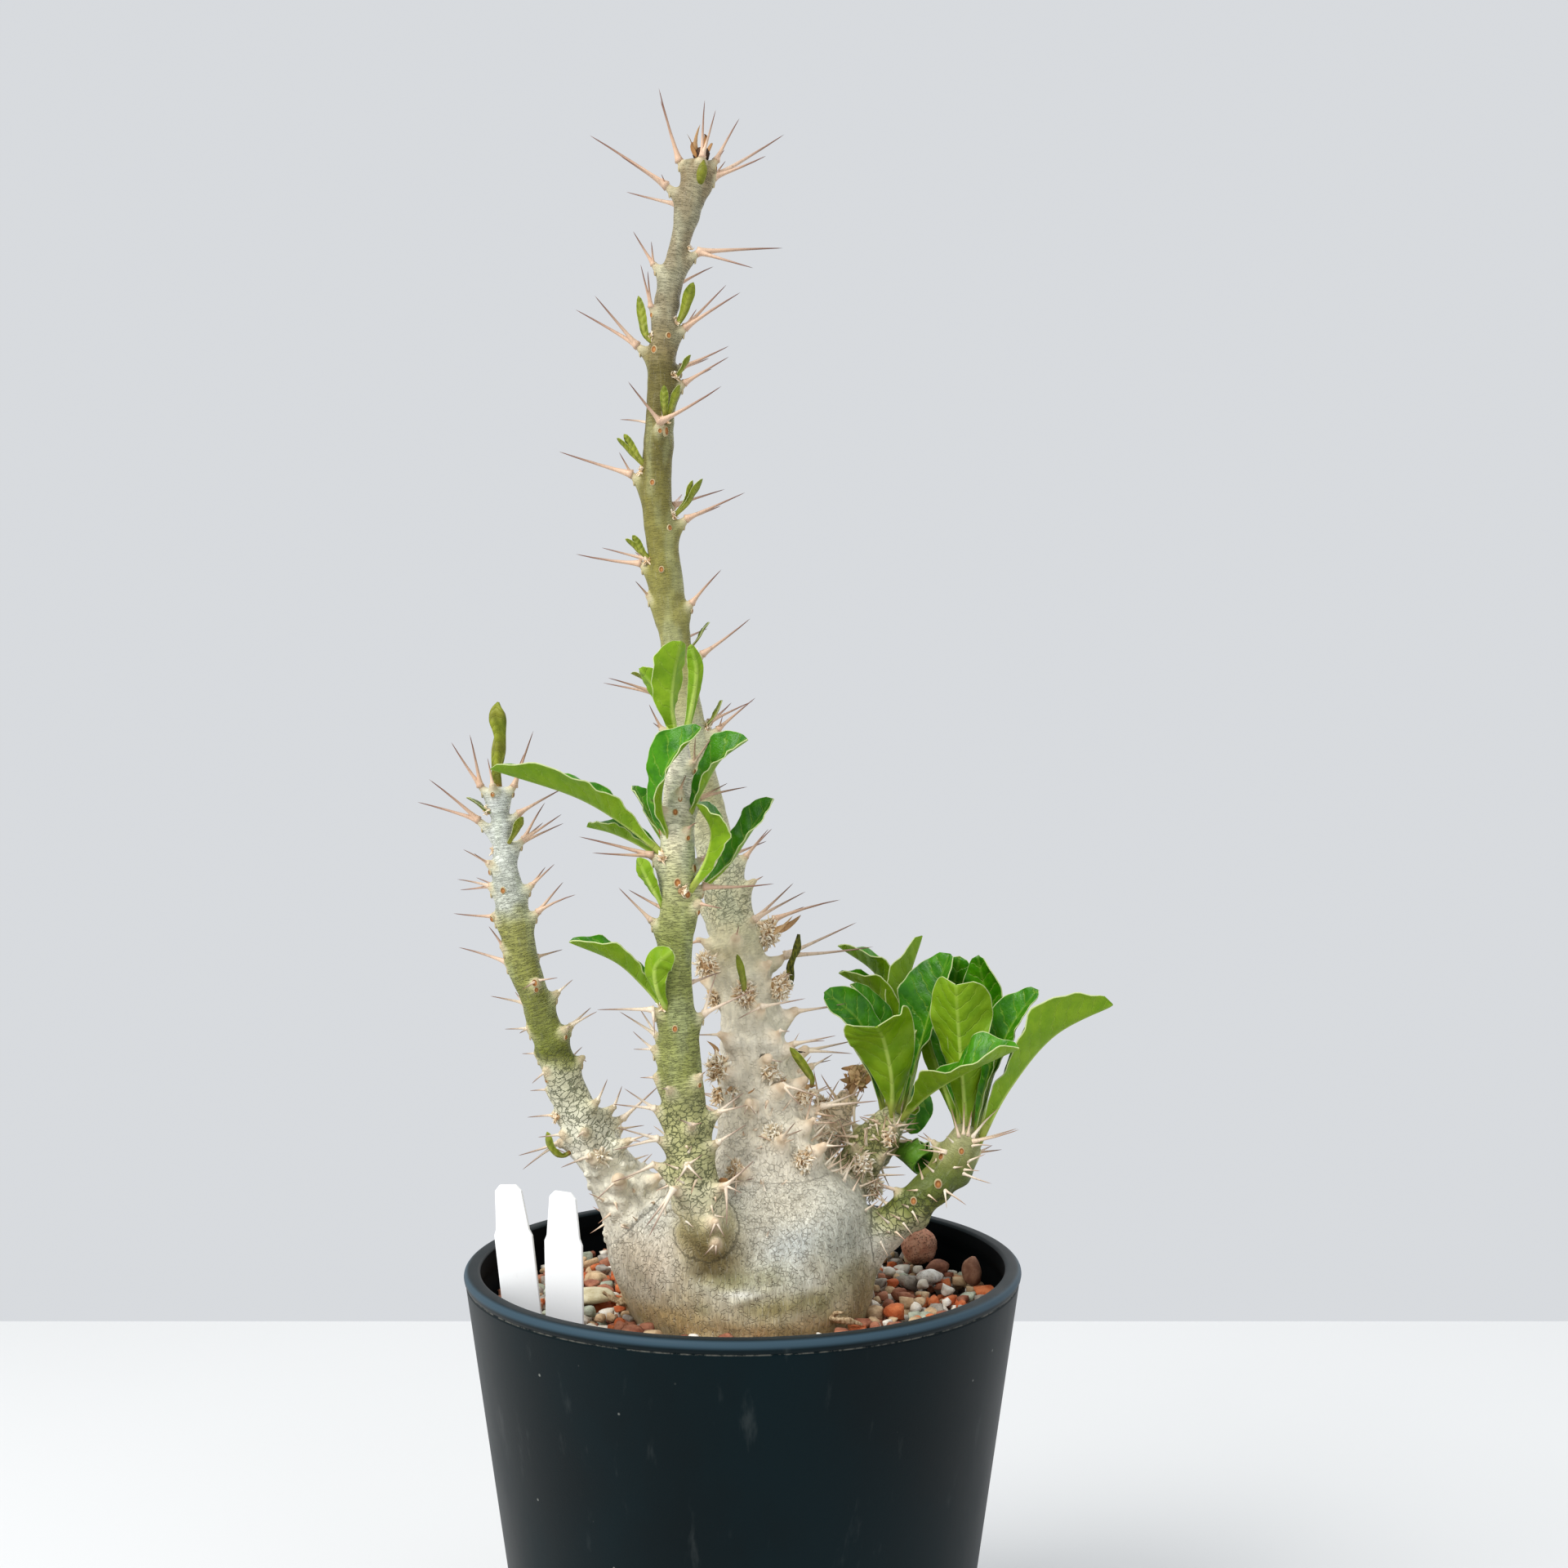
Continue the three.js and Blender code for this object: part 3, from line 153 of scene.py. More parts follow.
# Triangles between the ring that starts at a point and one point at its middle
def fan(first, sides, middle, backward=False):
    k = first + np.arange(sides)
    after = first + (np.arange(sides) + 1) % sides
    return np.stack([after, k, 0 * k + middle] if backward else [k, after, 0 * k + middle], -1)


# The faces of one form again for each of its copies
def repeated(faces, copies, size):
    return (faces[None] + (np.arange(copies) * size)[:, None, None]).reshape(-1, faces.shape[1])


# A smooth run between two values, t from 0 to 1, from the values and the slopes at its ends
def between(t, run, first, firstSlope, second, secondSlope):
    return ((2 * t**3 - 3 * t**2 + 1) * first + (t**3 - 2 * t**2 + t) * run * firstSlope
            + (3 * t**2 - 2 * t**3) * second + (t**3 - t**2) * run * secondSlope)


# Material nodes: a short way to place one, with numbers set on its sockets and sockets linked
def put(tree, kind, settings=None, **inputs):
    node = tree.nodes.new(kind)
    for key, value in (settings or {}).items():
        setattr(node, key, value)
    for key, value in inputs.items():
        place = int(key[2:]) if key.startswith("at") and key[2:].isdigit() else key.replace("_", " ")
        if isinstance(value, bpy.types.NodeSocket):
            tree.links.new(value, node.inputs[place])
        else:
            node.inputs[place].default_value = value
    return node


def newMaterial(name, roughness, specular=0.5):
    material = bpy.data.materials.new(name)
    material.use_nodes = True
    tree = material.node_tree
    surface = tree.nodes["Principled BSDF"]
    surface.inputs["Roughness"].default_value = roughness
    surface.inputs["Specular IOR Level"].default_value = specular
    return material, tree, surface


# Two colours mixed, each a socket, or red, green and blue from 0 to 255
def mixed(tree, factor, first, second, blend="MIX"):
    first, second = [paint(*c) if isinstance(c, tuple) and len(c) == 3 else c for c in (first, second)]
    settings = {"data_type": "RGBA", "blend_type": blend, "clamp_result": True}
    return put(tree, "ShaderNodeMix", settings, at0=factor, at6=first, at7=second).outputs[2]


def calc(tree, operation, first, second=0.0):
    return put(tree, "ShaderNodeMath", {"operation": operation}, at0=first, at1=second).outputs[0]


def times(tree, first, second):
    return calc(tree, "MULTIPLY", first, second)


# A value spread from low..high to 0..1, eased
def spread(tree, value, low, high, toLow=0.0, toHigh=1.0):
    settings = {"interpolation_type": "SMOOTHSTEP"}
    node = put(tree, "ShaderNodeMapRange", settings, at0=value, at1=low, at2=high, at3=toLow, at4=toHigh)
    return node.outputs[0]


def stretched(tree, vector, x, y, z):
    return put(tree, "ShaderNodeVectorMath", {"operation": "MULTIPLY"}, at0=vector, at1=(x, y, z)).outputs[0]


def grain(tree, vector, scale, detail=3.0, rough=0.55, twist=0.0):
    node = put(tree, "ShaderNodeTexNoise", None, Vector=vector, Scale=scale, Detail=detail,
               Roughness=rough, Distortion=twist)
    return node.outputs[0]


def cellular(tree, vector, scale, feature):
    return put(tree, "ShaderNodeTexVoronoi", {"feature": feature}, Vector=vector, Scale=scale).outputs[0]


def objectPlace(tree):
    return put(tree, "ShaderNodeTexCoord").outputs["Object"]


def millimetres(tree):
    return stretched(tree, objectPlace(tree), 1000, 1000, 1000)


def partsOf(tree, vector):
    return put(tree, "ShaderNodeSeparateXYZ", None, Vector=vector).outputs


def attributeOf(tree, name, output="Vector"):
    return put(tree, "ShaderNodeAttribute", {"attribute_name": name}).outputs[output]


def bump(tree, surface, height, depth, strength=1.0):
    node = put(tree, "ShaderNodeBump", None, Height=height, Distance=depth, Strength=strength)
    tree.links.new(node.outputs[0], surface.inputs["Normal"])


# Plant: the swollen base as level ellipses: height, centre right, centre back, half width, half depth
caudexLevels = np.array([
    [106, 2, -5, 12, 12], [110, 2, -5, 21, 20], [118, 2, -5, 28.5, 27.5], [128, 1.5, -5.5, 32.3, 31],
    [137, 0.5, -6, 34.2, 31.5], [145, -0.5, -6, 34.2, 30.5], [151, 0, -5.5, 33, 28.5],
    [157, 2, -5, 30.5, 25.5], [161, 4, -4.5, 26, 22], [165, 5, -4, 19, 17], [168, 5, -3, 11, 11],
], float)

# A table read at finer steps of its first column, with smooth slopes
def finer(table, step):
    slopes = np.gradient(table, table[:, 0], axis=0)
    at = np.arange(table[0, 0], table[-1, 0], step)
    k = np.clip(np.searchsorted(table[:, 0], at, side="right") - 1, 0, len(table) - 2)
    run = (table[k + 1, 0] - table[k, 0])[:, None]
    t = (at - table[k, 0])[:, None] / run
    return between(t, run, table[k], slopes[k], table[k + 1], slopes[k + 1])


caudexLevels = finer(caudexLevels, 0.5)

# Stems: right, back, up and radius along each
stems = {
    "leader": [
        [7, -4, 156, 19], [7, -4, 163, 16.5], [6, -3, 172, 13.3], [3.5, -1, 184, 10.3], [3, 0, 194, 8.9],
        [1.4, 2, 207, 8], [-0.6, 4, 218, 7.1], [-3.8, 6, 233, 6.4], [-7, 7, 247, 5.6], [-10, 7, 260, 5.2],
        [-15, 6, 284, 4.5], [-18.5, 6, 306, 4.2], [-21.5, 5, 328, 4.3], [-24, 4, 350, 4.1],
        [-23, 3, 368, 3.9], [-22, 2, 390, 3.4], [-20.5, 2, 405, 3], [-17.5, 2, 416, 2.7],
        [-15, 1, 428, 3.1], [-12.6, 1, 437.2, 3.5],
    ],
    "middle": [
        [-4, -22, 141, 4], [-6.2, -26.3, 148.5, 6.4], [-9.4, -31, 157, 7.3], [-12, -31.6, 168, 6.2],
        [-13, -30, 177, 5.6], [-14.5, -28.5, 188, 5.2], [-15.5, -27, 199, 5], [-16.5, -27, 210, 4.4],
        [-17, -27, 221, 4.2], [-16.5, -26.5, 236, 4.5], [-16.5, -26, 250, 4.5], [-16.5, -26, 260, 4.1],
        [-16.5, -25, 268, 3.5], [-15.8, -25, 275, 2.8], [-15.8, -25, 280, 2.2],
    ],
    "left": [
        [-12, -7, 142, 17], [-22, -8, 150, 13], [-31, -10, 160, 8.6], [-36.5, -12, 169, 6.4],
        [-41, -14, 178, 4.9], [-45, -16, 188, 4.2], [-49, -18, 200, 3.7], [-52, -19, 209, 3.2],
        [-55.5, -20, 219, 3.3], [-58, -20, 229, 3.6], [-60, -19, 238, 3.4], [-62, -19, 249, 2.7],
        [-63.5, -18, 259, 2.1], [-64, -18, 267, 2.4],
    ],
    "right": [
        [16, -4, 138, 14], [26, -4, 141, 9.5], [33, -4.5, 145, 6.6], [39, -5, 149.5, 5.3], [44, -6, 154, 5],
        [49, -6, 159, 4.9], [54, -6, 164, 5], [57.8, -6, 170, 4.9], [60.6, -6, 174.5, 4.3],
    ],
    "side": [
        [19, 4, 148, 12], [24.5, 6, 154.5, 7.5], [29, 6, 161, 5.8], [34, 6, 169, 5.2], [38, 6, 173.5, 4.9],
        [41, 6, 177, 4.1],
    ],
    "stub": [[15, 10, 160, 7], [21, 14, 168, 4.6], [25, 15, 175, 3.4], [29, 15, 181, 3]],
}
stemBlend = {"leader": 9, "middle": 5, "left": 8, "right": 6, "side": 6, "stub": 4}

# Leaf bases that the photograph shows: height, bearing round the stem (0 front, 90 right),
# reach from its axis, then how far each spine runs right, back and up
shownBases = {
    "leader": [
        [439, -90, 4.4, [-6, 2, 18], [-6, -4, 19]], [440, 20, 3.8, [1, -3, 15], [4, -4, 12]],
        [438, 80, 4.6, [7, 3, 13], [3, -1, 3]], [430, -85, 6, [-22, 2, 15], [-13, -5, 7], [-2, -2, 3]],
        [433, 90, 5, [20, 3, 13], [15, -6, 4], [4, -2, 4]], [409, -80, 4.8, [-6, -2, 9], [-1, -3, 6]],
        [413, 90, 5.2, [24, 3, 2], [16, -6, -6]], [397, -50, 4.5, [-1, -5, 9], [-3, -4, 11]],
        [387, -95, 6.5, [-18, 3, 11], [-12, -4, 13]], [392, 90, 5.2, [12, 3, 13], [16, -4, 9], [4, -2, 5]],
        [377, 90, 5.8, [13, -2, 7], [8, 8, 6]], [365, 5, 6, [-8, -7, 10], [17, -6, 9]],
        [352, -90, 6.3, [-21, 2, 7], [-4, -3, 6]], [340, 90, 6.5, [17, -3, 7], [10, 8, 5]],
        [328, -95, 6.3, [-19, 2, 3]], [317, 75, 5.4, [9, -5, 9]], [319, -90, 5.4, [-4, -5, 4]],
        [303, 90, 6, [14, -2, 10]], [292, -90, 8, [-15, 2, 3], [-13, -5, 4]],
        [282, -90, 7.6, [-4, -3, 7], [-3, -2, 2]], [282, 90, 7, [11, -2, 9], [2, -3, 4]],
        [247, 85, 7, [7, -2, 8], [8, 3, 8]], [240, 70, 7.4, [4, -1, 2]],
        [229.6, 36, 8.2, [12, -4, 10.8], [15.3, -6, 8.6]], [228.8, 95, 9.2, [20.5, -2, 6.2], [10.7, 3, 4]],
        [225, 0, 8.8, [1, -5, 4]], [224, -70, 9, [-8, -3, -2]],
        [219, 90, 10.3, [21.7, -3, 9.8], [26.5, 2, 2.7]], [213, 60, 10, [4, -4, 3]],
        [207, 20, 10, [12, -8, 3], [-6, -4, -3]], [204, 88, 10.5, [16, -3, 3], [16, 3, 2]],
        [213, -90, 9.8, [-6, -1, 0]], [196, 60, 11, [10, -6, 2], [13, -3, 3]],
        [193, 95, 12, [16, 2, 3], [15, -3, 0]], [186, 30, 12.5, [11, -8, -2], [6, -9, -4]],
        [178, 80, 15, [17, -6, 3], [14, 2, 5]], [172, 15, 15.5, [6, -8, 4], [4, -9, 6]],
    ],
    "middle": [
        [273, 60, 4, [1, -3, 7], [6, -2, 8]], [266, 10, 4.8, [2, -6, 4]],
        [264, 90, 5.2, [8, -2, 4], [13, 3, 3]], [261, -40, 5.2, [-3, -6, 3]], [256, 30, 5.4, [3, -6, 2]],
        [249, -90, 5.8, [-20, 1, 5], [-16, -4, 1]], [241, 85, 6.3, [19, -3, 1]], [237, 60, 6, [7, -5, -1]],
        [232, -90, 6, [-9, -2, 9]], [210, -60, 6.2, [-15, -2, 0], [0, -5, -6]],
        [208, 90, 6.2, [4, 2, 11], [14, -3, 7]], [199, -90, 6.6, [-6, -1, 5], [-6, 1, 0]],
        [192, -90, 6.4, [-5, 0, 0]], [193, 40, 6.8, [2, -5, 2]], [190, -30, 6.6, [-2, -5, 1]],
        [184, -80, 7, [-12, -3, 2], [-9, -3, 6]], [183, 80, 7, [9, -4, 3], [8, 3, 5]],
        [181, 10, 7.4, [-3, -7, 3], [3, -7, 2]], [177, -60, 7.4, [-13, -4, -2], [-12, -5, 4]],
        [176, 50, 7.6, [9, -5, 6]], [172, -5, 8, [-3, -7, -4], [4, -7, -3]], [170, -90, 8, [-13, -3, -4]],
        [166, -25, 9.5, [-8, -6, -9], [-7, -8, -11]], [166, 45, 9, [6, -5, -1], [2, -6, -9], [9, -4, 7]],
        [158, 20, 9, [3, -4, -4], [-1, -4, -4]], [152, 10, 8.6, [0, -4, -3], [-3, -4, -3]],
    ],
    "left": [
        [268, -80, 4, [-8, -2, 12], [-3, -3, 14]], [268, -10, 3.4, [-2, 2, 8]],
        [267, 80, 3.8, [6, -2, 15], [3, 2, 9]], [258, -90, 5.2, [-17, 1, 5], [-13, -4, 11]],
        [260, 90, 4.4, [13, -2, 7]], [253, 90, 4.9, [6, 2, 10], [11, -3, 7]],
        [247, -60, 4.4, [-4, -3, 3], [-7, -2, 4]], [241, -90, 4.8, [-9, -2, 2], [-9, 2, -1]],
        [241, 90, 4.9, [7, -2, 6], [4, 3, 5]], [234, 90, 5.2, [7, 3, 8], [11, -3, 5]],
        [233, -90, 5.4, [-11, -2, 1]], [225, -80, 4.8, [-4, -3, 6]], [221, -95, 4.6, [-14, 2, 4]],
        [217, 20, 4.8, [6, -3, 1], [-3, -4, -2]], [213, 90, 4.6, [5, -2, 4]],
        [204, -80, 4.7, [-7, -2, 0], [-3, -3, -1]], [204, 60, 4.8, [2, -3, 1]], [197, -90, 5, [-5, 0, 0]],
        [196, 90, 5, [2, -1, -1]], [193, -45, 5.4, [-4, -3, -3]], [187, -90, 5.4, [-6, -1, 0]],
        [184, 50, 6.2, [4, -4, 7]], [181, 90, 6.8, [4, -2, 7]], [180, -80, 6, [-9, -2, 0]],
        [178, 95, 7.6, [12, -3, 10], [3, 3, 0]], [177, 0, 7, [-2, -6, -1]], [175, -60, 7, [-8, -3, 0]],
        [173, 60, 8.6, [8, -4, 3], [5, -5, 1]], [172, -90, 8.4, [-13, -3, -3], [-12, -2, -7]],
        [170, -10, 9, [-8, -6, -2]], [164, 10, 11, [-6, -6, -5]], [163, 60, 11.5, [13, -6, 2]],
    ],
}

# Smaller claws of the trunk that only the dressed plant has
smallBases = {
    "leader": [
        [200, 38, 10.6, [4, -3, 0.5]], [199, -38, 10.8, [-9, -3, 0.5]], [193, 12, 12.4, [5, -3, -0.4]],
        [182, -8, 14, [-1.5, -4, -3], [1.5, -4, -3]], [169, 48, 18.5, [8, -4, 1]],
        [186, 62, 13, [3, -2, 1]], [218, 42, 9.4, [2, -2, 1]], [190, -40, 12, [-3, -2, 0]],
        [176, 50, 16, [3, -3, -1], [4, -2, 1]], [182, 75, 14, [6, -3, 3], [7, 0, 2]],
        [164, -20, 20, [-2, -4, -1]], [188, 95, 13.5, [8, 1, 4]], [217, -60, 9.2, [-3, -3, 0]],
    ],
}

# Leaf bases out of sight, by the spiral that a stem grows them in
hiddenBases = {
    "leader": dict(start=172, stop=434, step=7.5, keep=(110, 250), longest=18, seed=3),
    "middle": dict(start=150, stop=272, step=6.5, keep=(110, 250), longest=13, seed=5),
    "left": dict(start=162, stop=262, step=6, keep=(105, 250), longest=13, seed=7),
    "right": dict(start=151, stop=173.5, step=2.4, keep=(60, 300), longest=8, seed=11),
    "side": dict(start=158, stop=176, step=1.8, keep=(0, 360), longest=8, seed=13),
    "stub": dict(start=172, stop=180, step=2, keep=(0, 360), longest=6, seed=17),
}
goldenAngle = 137.5


# A smooth line through a stem's points: cubic pieces whose slopes follow the neighbours
def smoothPath(path, step):
    path = np.array(path, float)
    lengths = np.r_[0, np.cumsum(np.linalg.norm(np.diff(path[:, :3], axis=0), axis=1))]
    slopes = np.gradient(path, lengths, axis=0)
    at = np.linspace(0, lengths[-1], int(lengths[-1] / step) + 2)
    k = np.clip(np.searchsorted(lengths, at, side="right") - 1, 0, len(path) - 2)
    run = (lengths[k + 1] - lengths[k])[:, None]
    t = (at - lengths[k])[:, None] / run
    return at, between(t, run, path[k], slopes[k], path[k + 1], slopes[k + 1])


stemTables = {}
for stem, path in stems.items():
    at, rows = smoothPath(path, 0.5)
    tangents = unit(np.gradient(rows[:, :3], axis=0))
    stemTables[stem] = {"at": at, "rows": np.hstack([rows, tangents]), "step": at[1] - at[0]}


# Nearest place on a stem's axis: a first guess by height, then three steps along the tangent
def stemNearest(stem, points):
    table = stemTables[stem]
    rows = table["rows"]
    along = np.interp(points[:, 2], rows[:, 2], table["at"])
    for repeat in range(3):
        index = np.clip(along / table["step"], 0, len(rows) - 1.001)
        whole = index.astype(int)
        share = (index - whole)[:, None]
        here = rows[whole] * (1 - share) + rows[whole + 1] * share
        away = points - here[:, :3]
        over = np.sum(away * here[:, 4:7], axis=1)
        if repeat < 2:
            along = np.clip(along + over, 0, table["at"][-1])
    return along, here, away, over


# Distance to a stem: to its axis less its radius, with a blunt dome over each end
def stemDistance(stem, points):
    along, here, away, over = stemNearest(stem, points)
    sideways = np.maximum(np.sum(away * away, axis=1) - over**2, 0)
    return np.sqrt(sideways + (1.7 * over) ** 2) - here[:, 3]


# Distance to the swollen base, from its ellipse at the point's height
def caudexDistance(points):
    z = np.clip(points[:, 2], 106.5, 167.5)
    cx, cy, a, b = [np.interp(z, caudexLevels[:, 0], caudexLevels[:, k]) for k in range(1, 5)]
    dx = points[:, 0] - cx
    dy = points[:, 1] - cy
    ratio = np.sqrt((dx / a) ** 2 + (dy / b) ** 2)
    slope = np.sqrt((dx / a**2) ** 2 + (dy / b**2) ** 2)
    level = (ratio - 1) * ratio / np.maximum(slope, 1e-6)
    level = np.where(ratio < 0.2, -np.minimum(a, b), level)
    outside = points[:, 2] - z
    return np.where(outside == 0, level, np.sqrt(np.maximum(level, 0) ** 2 + outside**2))


def smoothJoin(first, second, width):
    near = np.maximum(width - np.abs(first - second), 0) / width
    return np.minimum(first, second) - near * near * width / 4


# Axis of a stem at a height, along straight runs as in the solids
def axisAt(stem, height):
    path = np.array(stems[stem], float)
    k = int(np.clip(np.searchsorted(path[:, 2], height) - 1, 0, len(path) - 2))
    share = np.clip((height - path[k, 2]) / (path[k + 1, 2] - path[k, 2]), 0, 1)
    return path[k] * (1 - share) + path[k + 1] * share


def basesOf(stem):
    bases = [list(base) for base in shownBases.get(stem, []) + smallBases.get(stem, [])]
    rule = hiddenBases[stem]
    draw = seeded(rule["seed"])
    bearing = 360 * draw()
    height = rule["start"]
    while height < rule["stop"]:
        bearing = (bearing + goldenAngle) % 360
        reach = rule["longest"] * (0.6 + 0.4 * draw())
        lift = 0.15 + 0.5 * draw()
        splay = 22 + 14 * draw()
        if rule["keep"][0] <= bearing <= rule["keep"][1]:
            radius = axisAt(stem, height)[3]
            runs = []
            for turn in (-splay, splay):
                heading = math.radians(bearing + turn)
                runs.append([reach * math.sin(heading), -reach * math.cos(heading), reach * lift])
            bases.append([height, bearing, radius + 1.2 + 0.09 * radius, *runs])
        height += rule["step"]
    return bases


# Every leaf base: where its cone starts and ends, how wide it is, and its spines. On old wood the
# cone stands out further, and on green shoots it runs down the stem as a shoulder
shoulders = dict(oldFurther=2.8, youngFurther=1.4, oldDrop=1.2, youngDrop=3.8, lean=0.5,
                 turnsOld={"leader": 240, "middle": 184, "left": 184, "right": 120, "side": 120, "stub": 120})
tubercles = []
for stem in stems:
    for height, bearing, reach, *runs in basesOf(stem):
        x, y, z, radius = axisAt(stem, height)
        turn = math.radians(bearing)
        outward = unit(np.array([math.sin(turn), -math.cos(turn), 0.25]))
        centre = np.array([x, y, z])
        level = unit(outward * [1, 1, 0])
        old = 1 - float(ease(z, shoulders["turnsOld"][stem] - 9, shoulders["turnsOld"][stem] + 9))
        further = shoulders["youngFurther"] + (shoulders["oldFurther"] - shoulders["youngFurther"]) * old
        drop = shoulders["youngDrop"] + (shoulders["oldDrop"] - shoulders["youngDrop"]) * old
        runs = np.array(runs, float)
        leaning = unit(outward + shoulders["lean"] * unit(unit(runs).sum(axis=0)))
        top = centre + outward * (reach - 0.5) + leaning * further
        tubercles.append({
            "stem": stem, "height": height, "radius": radius, "outward": outward,
            "foot": centre + level * max(0.2, radius - 2.4 - 0.5 * (1 - old)) - [0, 0, drop], "top": top,
            "wide": min(2.3 + 0.17 * radius, 0.9 * radius), "runs": runs + centre + outward * reach - top,
        })
print("leaf bases:", len(tubercles))


# Distance to a leaf base: a cone that narrows fast and then slowly, as a claw's root does
def tubercleDistance(base, points):
    line = base["top"] - base["foot"]
    away = points - base["foot"]
    share = np.clip(away @ line / (line @ line), 0, 1)
    gap = np.linalg.norm(away - share[:, None] * line, axis=1)
    return gap - (0.85 + (base["wide"] - 0.85) * (1 - share) ** 1.15)


# How far past each form its smooth join is worked out
joinReach = dict(below=22, above=12, coneBelow=8, coneAbove=9, coneAround=10)


# The plant's skin is where this is zero: base, stems and leaf bases joined smoothly
def bodyField(points):
    order = np.argsort(points[:, 2])
    points = points[order]
    field = caudexDistance(points)
    for stem, table in stemTables.items():
        low = table["rows"][:, 2].min() - joinReach["below"]
        high = table["rows"][:, 2].max() + joinReach["above"]
        part = slice(*np.searchsorted(points[:, 2], [low, high]))
        field[part] = smoothJoin(field[part], stemDistance(stem, points[part]), stemBlend[stem])
    for base in tubercles:
        low, high = base["foot"][2] - joinReach["coneBelow"], base["top"][2] + joinReach["coneAbove"]
        start, stop = np.searchsorted(points[:, 2], [low, high])
        gap = np.abs(points[start:stop] - base["top"]).max(axis=1)
        near = np.flatnonzero(gap < joinReach["coneAround"] + base["wide"]) + start
        if len(near):
            distance = tubercleDistance(base, points[near])
            field[near] = smoothJoin(field[near], distance, 0.8 + 0.5 * base["wide"])
    result = np.empty_like(field)
    result[order] = field
    return result


# Surface net: a point in every small cell that the skin crosses, and a face round every grid
# edge that it crosses, worked out only in the blocks of cells near the skin
def surfaceNet(field, low, high, cell):
    side = 8
    counts = np.ceil((high - low) / (cell * side)).astype(int)
    blocks = np.stack(np.meshgrid(*[np.arange(n) for n in counts], indexing="ij"), -1).reshape(-1, 3)
    centres = low + (blocks + 0.5) * cell * side
    blocks = blocks[np.abs(field(centres)) < 1.05 * cell * side + 1.5]
    offsets = np.stack(np.meshgrid(*[np.arange(side + 1)] * 3, indexing="ij"), -1).reshape(-1, 3)
    grid = blocks[:, None, :] * side + offsets[None]
    values = field(low + grid.reshape(-1, 3) * cell).reshape(-1, side + 1, side + 1, side + 1)
    corners = [(i, j, k) for i in (0, 1) for j in (0, 1) for k in (0, 1)]
    stack = np.stack([values[:, i:i + side, j:j + side, k:k + side] for i, j, k in corners], -1)
    inside = stack < 0
    crossed = inside.any(-1) & ~inside.all(-1)
    block, i, j, k = np.nonzero(crossed)
    corner = stack[crossed]
    cells = blocks[block] * side + np.stack([i, j, k], -1)
    total = np.zeros((len(cells), 3))
    found = np.zeros(len(cells))
    for one in range(8):
        for axis in range(3):
            if corners[one][axis] == 0:
                two = one + (4, 2, 1)[axis]
                cut = (corner[:, one] < 0) != (corner[:, two] < 0)
                share = corner[:, one] / np.where(cut, corner[:, one] - corner[:, two], 1)
                place = np.tile(np.array(corners[one], float), (len(cells), 1))
                place[:, axis] += share
                total += place * cut[:, None]
                found += cut
    points = low + (cells + total / found[:, None]) * cell
    size = counts * side + 2
    keys = (cells[:, 0] * size[1] + cells[:, 1]) * size[2] + cells[:, 2]
    order = np.argsort(keys)
    quads = []
    for axis in range(3):
        b, c = (axis + 1) % 3, (axis + 2) % 3
        far = (4, 2, 1)[axis]
        edge = np.flatnonzero((corner[:, 0] < 0) != (corner[:, far] < 0))
        ring = []
        for db, dc in ((-1, -1), (0, -1), (0, 0), (-1, 0)):
            near = cells[edge].copy()
            near[:, b] += db
            near[:, c] += dc
            key = (near[:, 0] * size[1] + near[:, 1]) * size[2] + near[:, 2]
            place = np.clip(np.searchsorted(keys, key, sorter=order), 0, len(keys) - 1)
            match = order[place]
            ring.append(np.where(keys[match] == key, match, -1))
        ring = np.stack(ring, -1)
        outward = corner[edge, 0] < 0
        ring = np.where(outward[:, None], ring, ring[:, ::-1])
        quads.append(ring[(ring >= 0).all(axis=1)])
    return points, np.concatenate(quads)


def slopeOf(field, points, step):
    base = field(points)
    slope = np.stack([field(points + step * axis) - base for axis in np.eye(3)], -1) / step
    return base, slope


plantBody = dict(cell=0.62, bottom=119.0, split=196.0, low=[-76, -46, 117], high=[72, 32, 449])


def plantField(points):
    return np.maximum(bodyField(points), plantBody["bottom"] - points[:, 2])


cell = plantBody["cell"]
skin, quads = surfaceNet(plantField, np.array(plantBody["low"]), np.array(plantBody["high"]), cell)
for repeat in range(2):
    value, slope = slopeOf(plantField, skin, 0.05)
    move = value[:, None] * slope / np.maximum(np.sum(slope**2, axis=1, keepdims=True), 0.05)
    length = np.linalg.norm(move, axis=1, keepdims=True)
    skin = skin - move * np.minimum(1, 0.5 * cell / np.maximum(length, 1e-9))
skinNormals = unit(slopeOf(plantField, skin, 0.05)[1])
print("plant skin:", len(skin), "points", len(quads), "faces")


# Normals of the finished skin, from its own faces, weighted by their area
def normalsOf(points, faces):
    across = points[faces[:, 2]] - points[faces[:, 0]]
    along = points[faces[:, 3]] - points[faces[:, 1]]
    face = np.cross(across, along)
    total = np.zeros_like(points)
    for k in range(4):
        for axis in range(3):
            total[:, axis] += np.bincount(faces[:, k], face[:, axis], len(points))
    return unit(total)


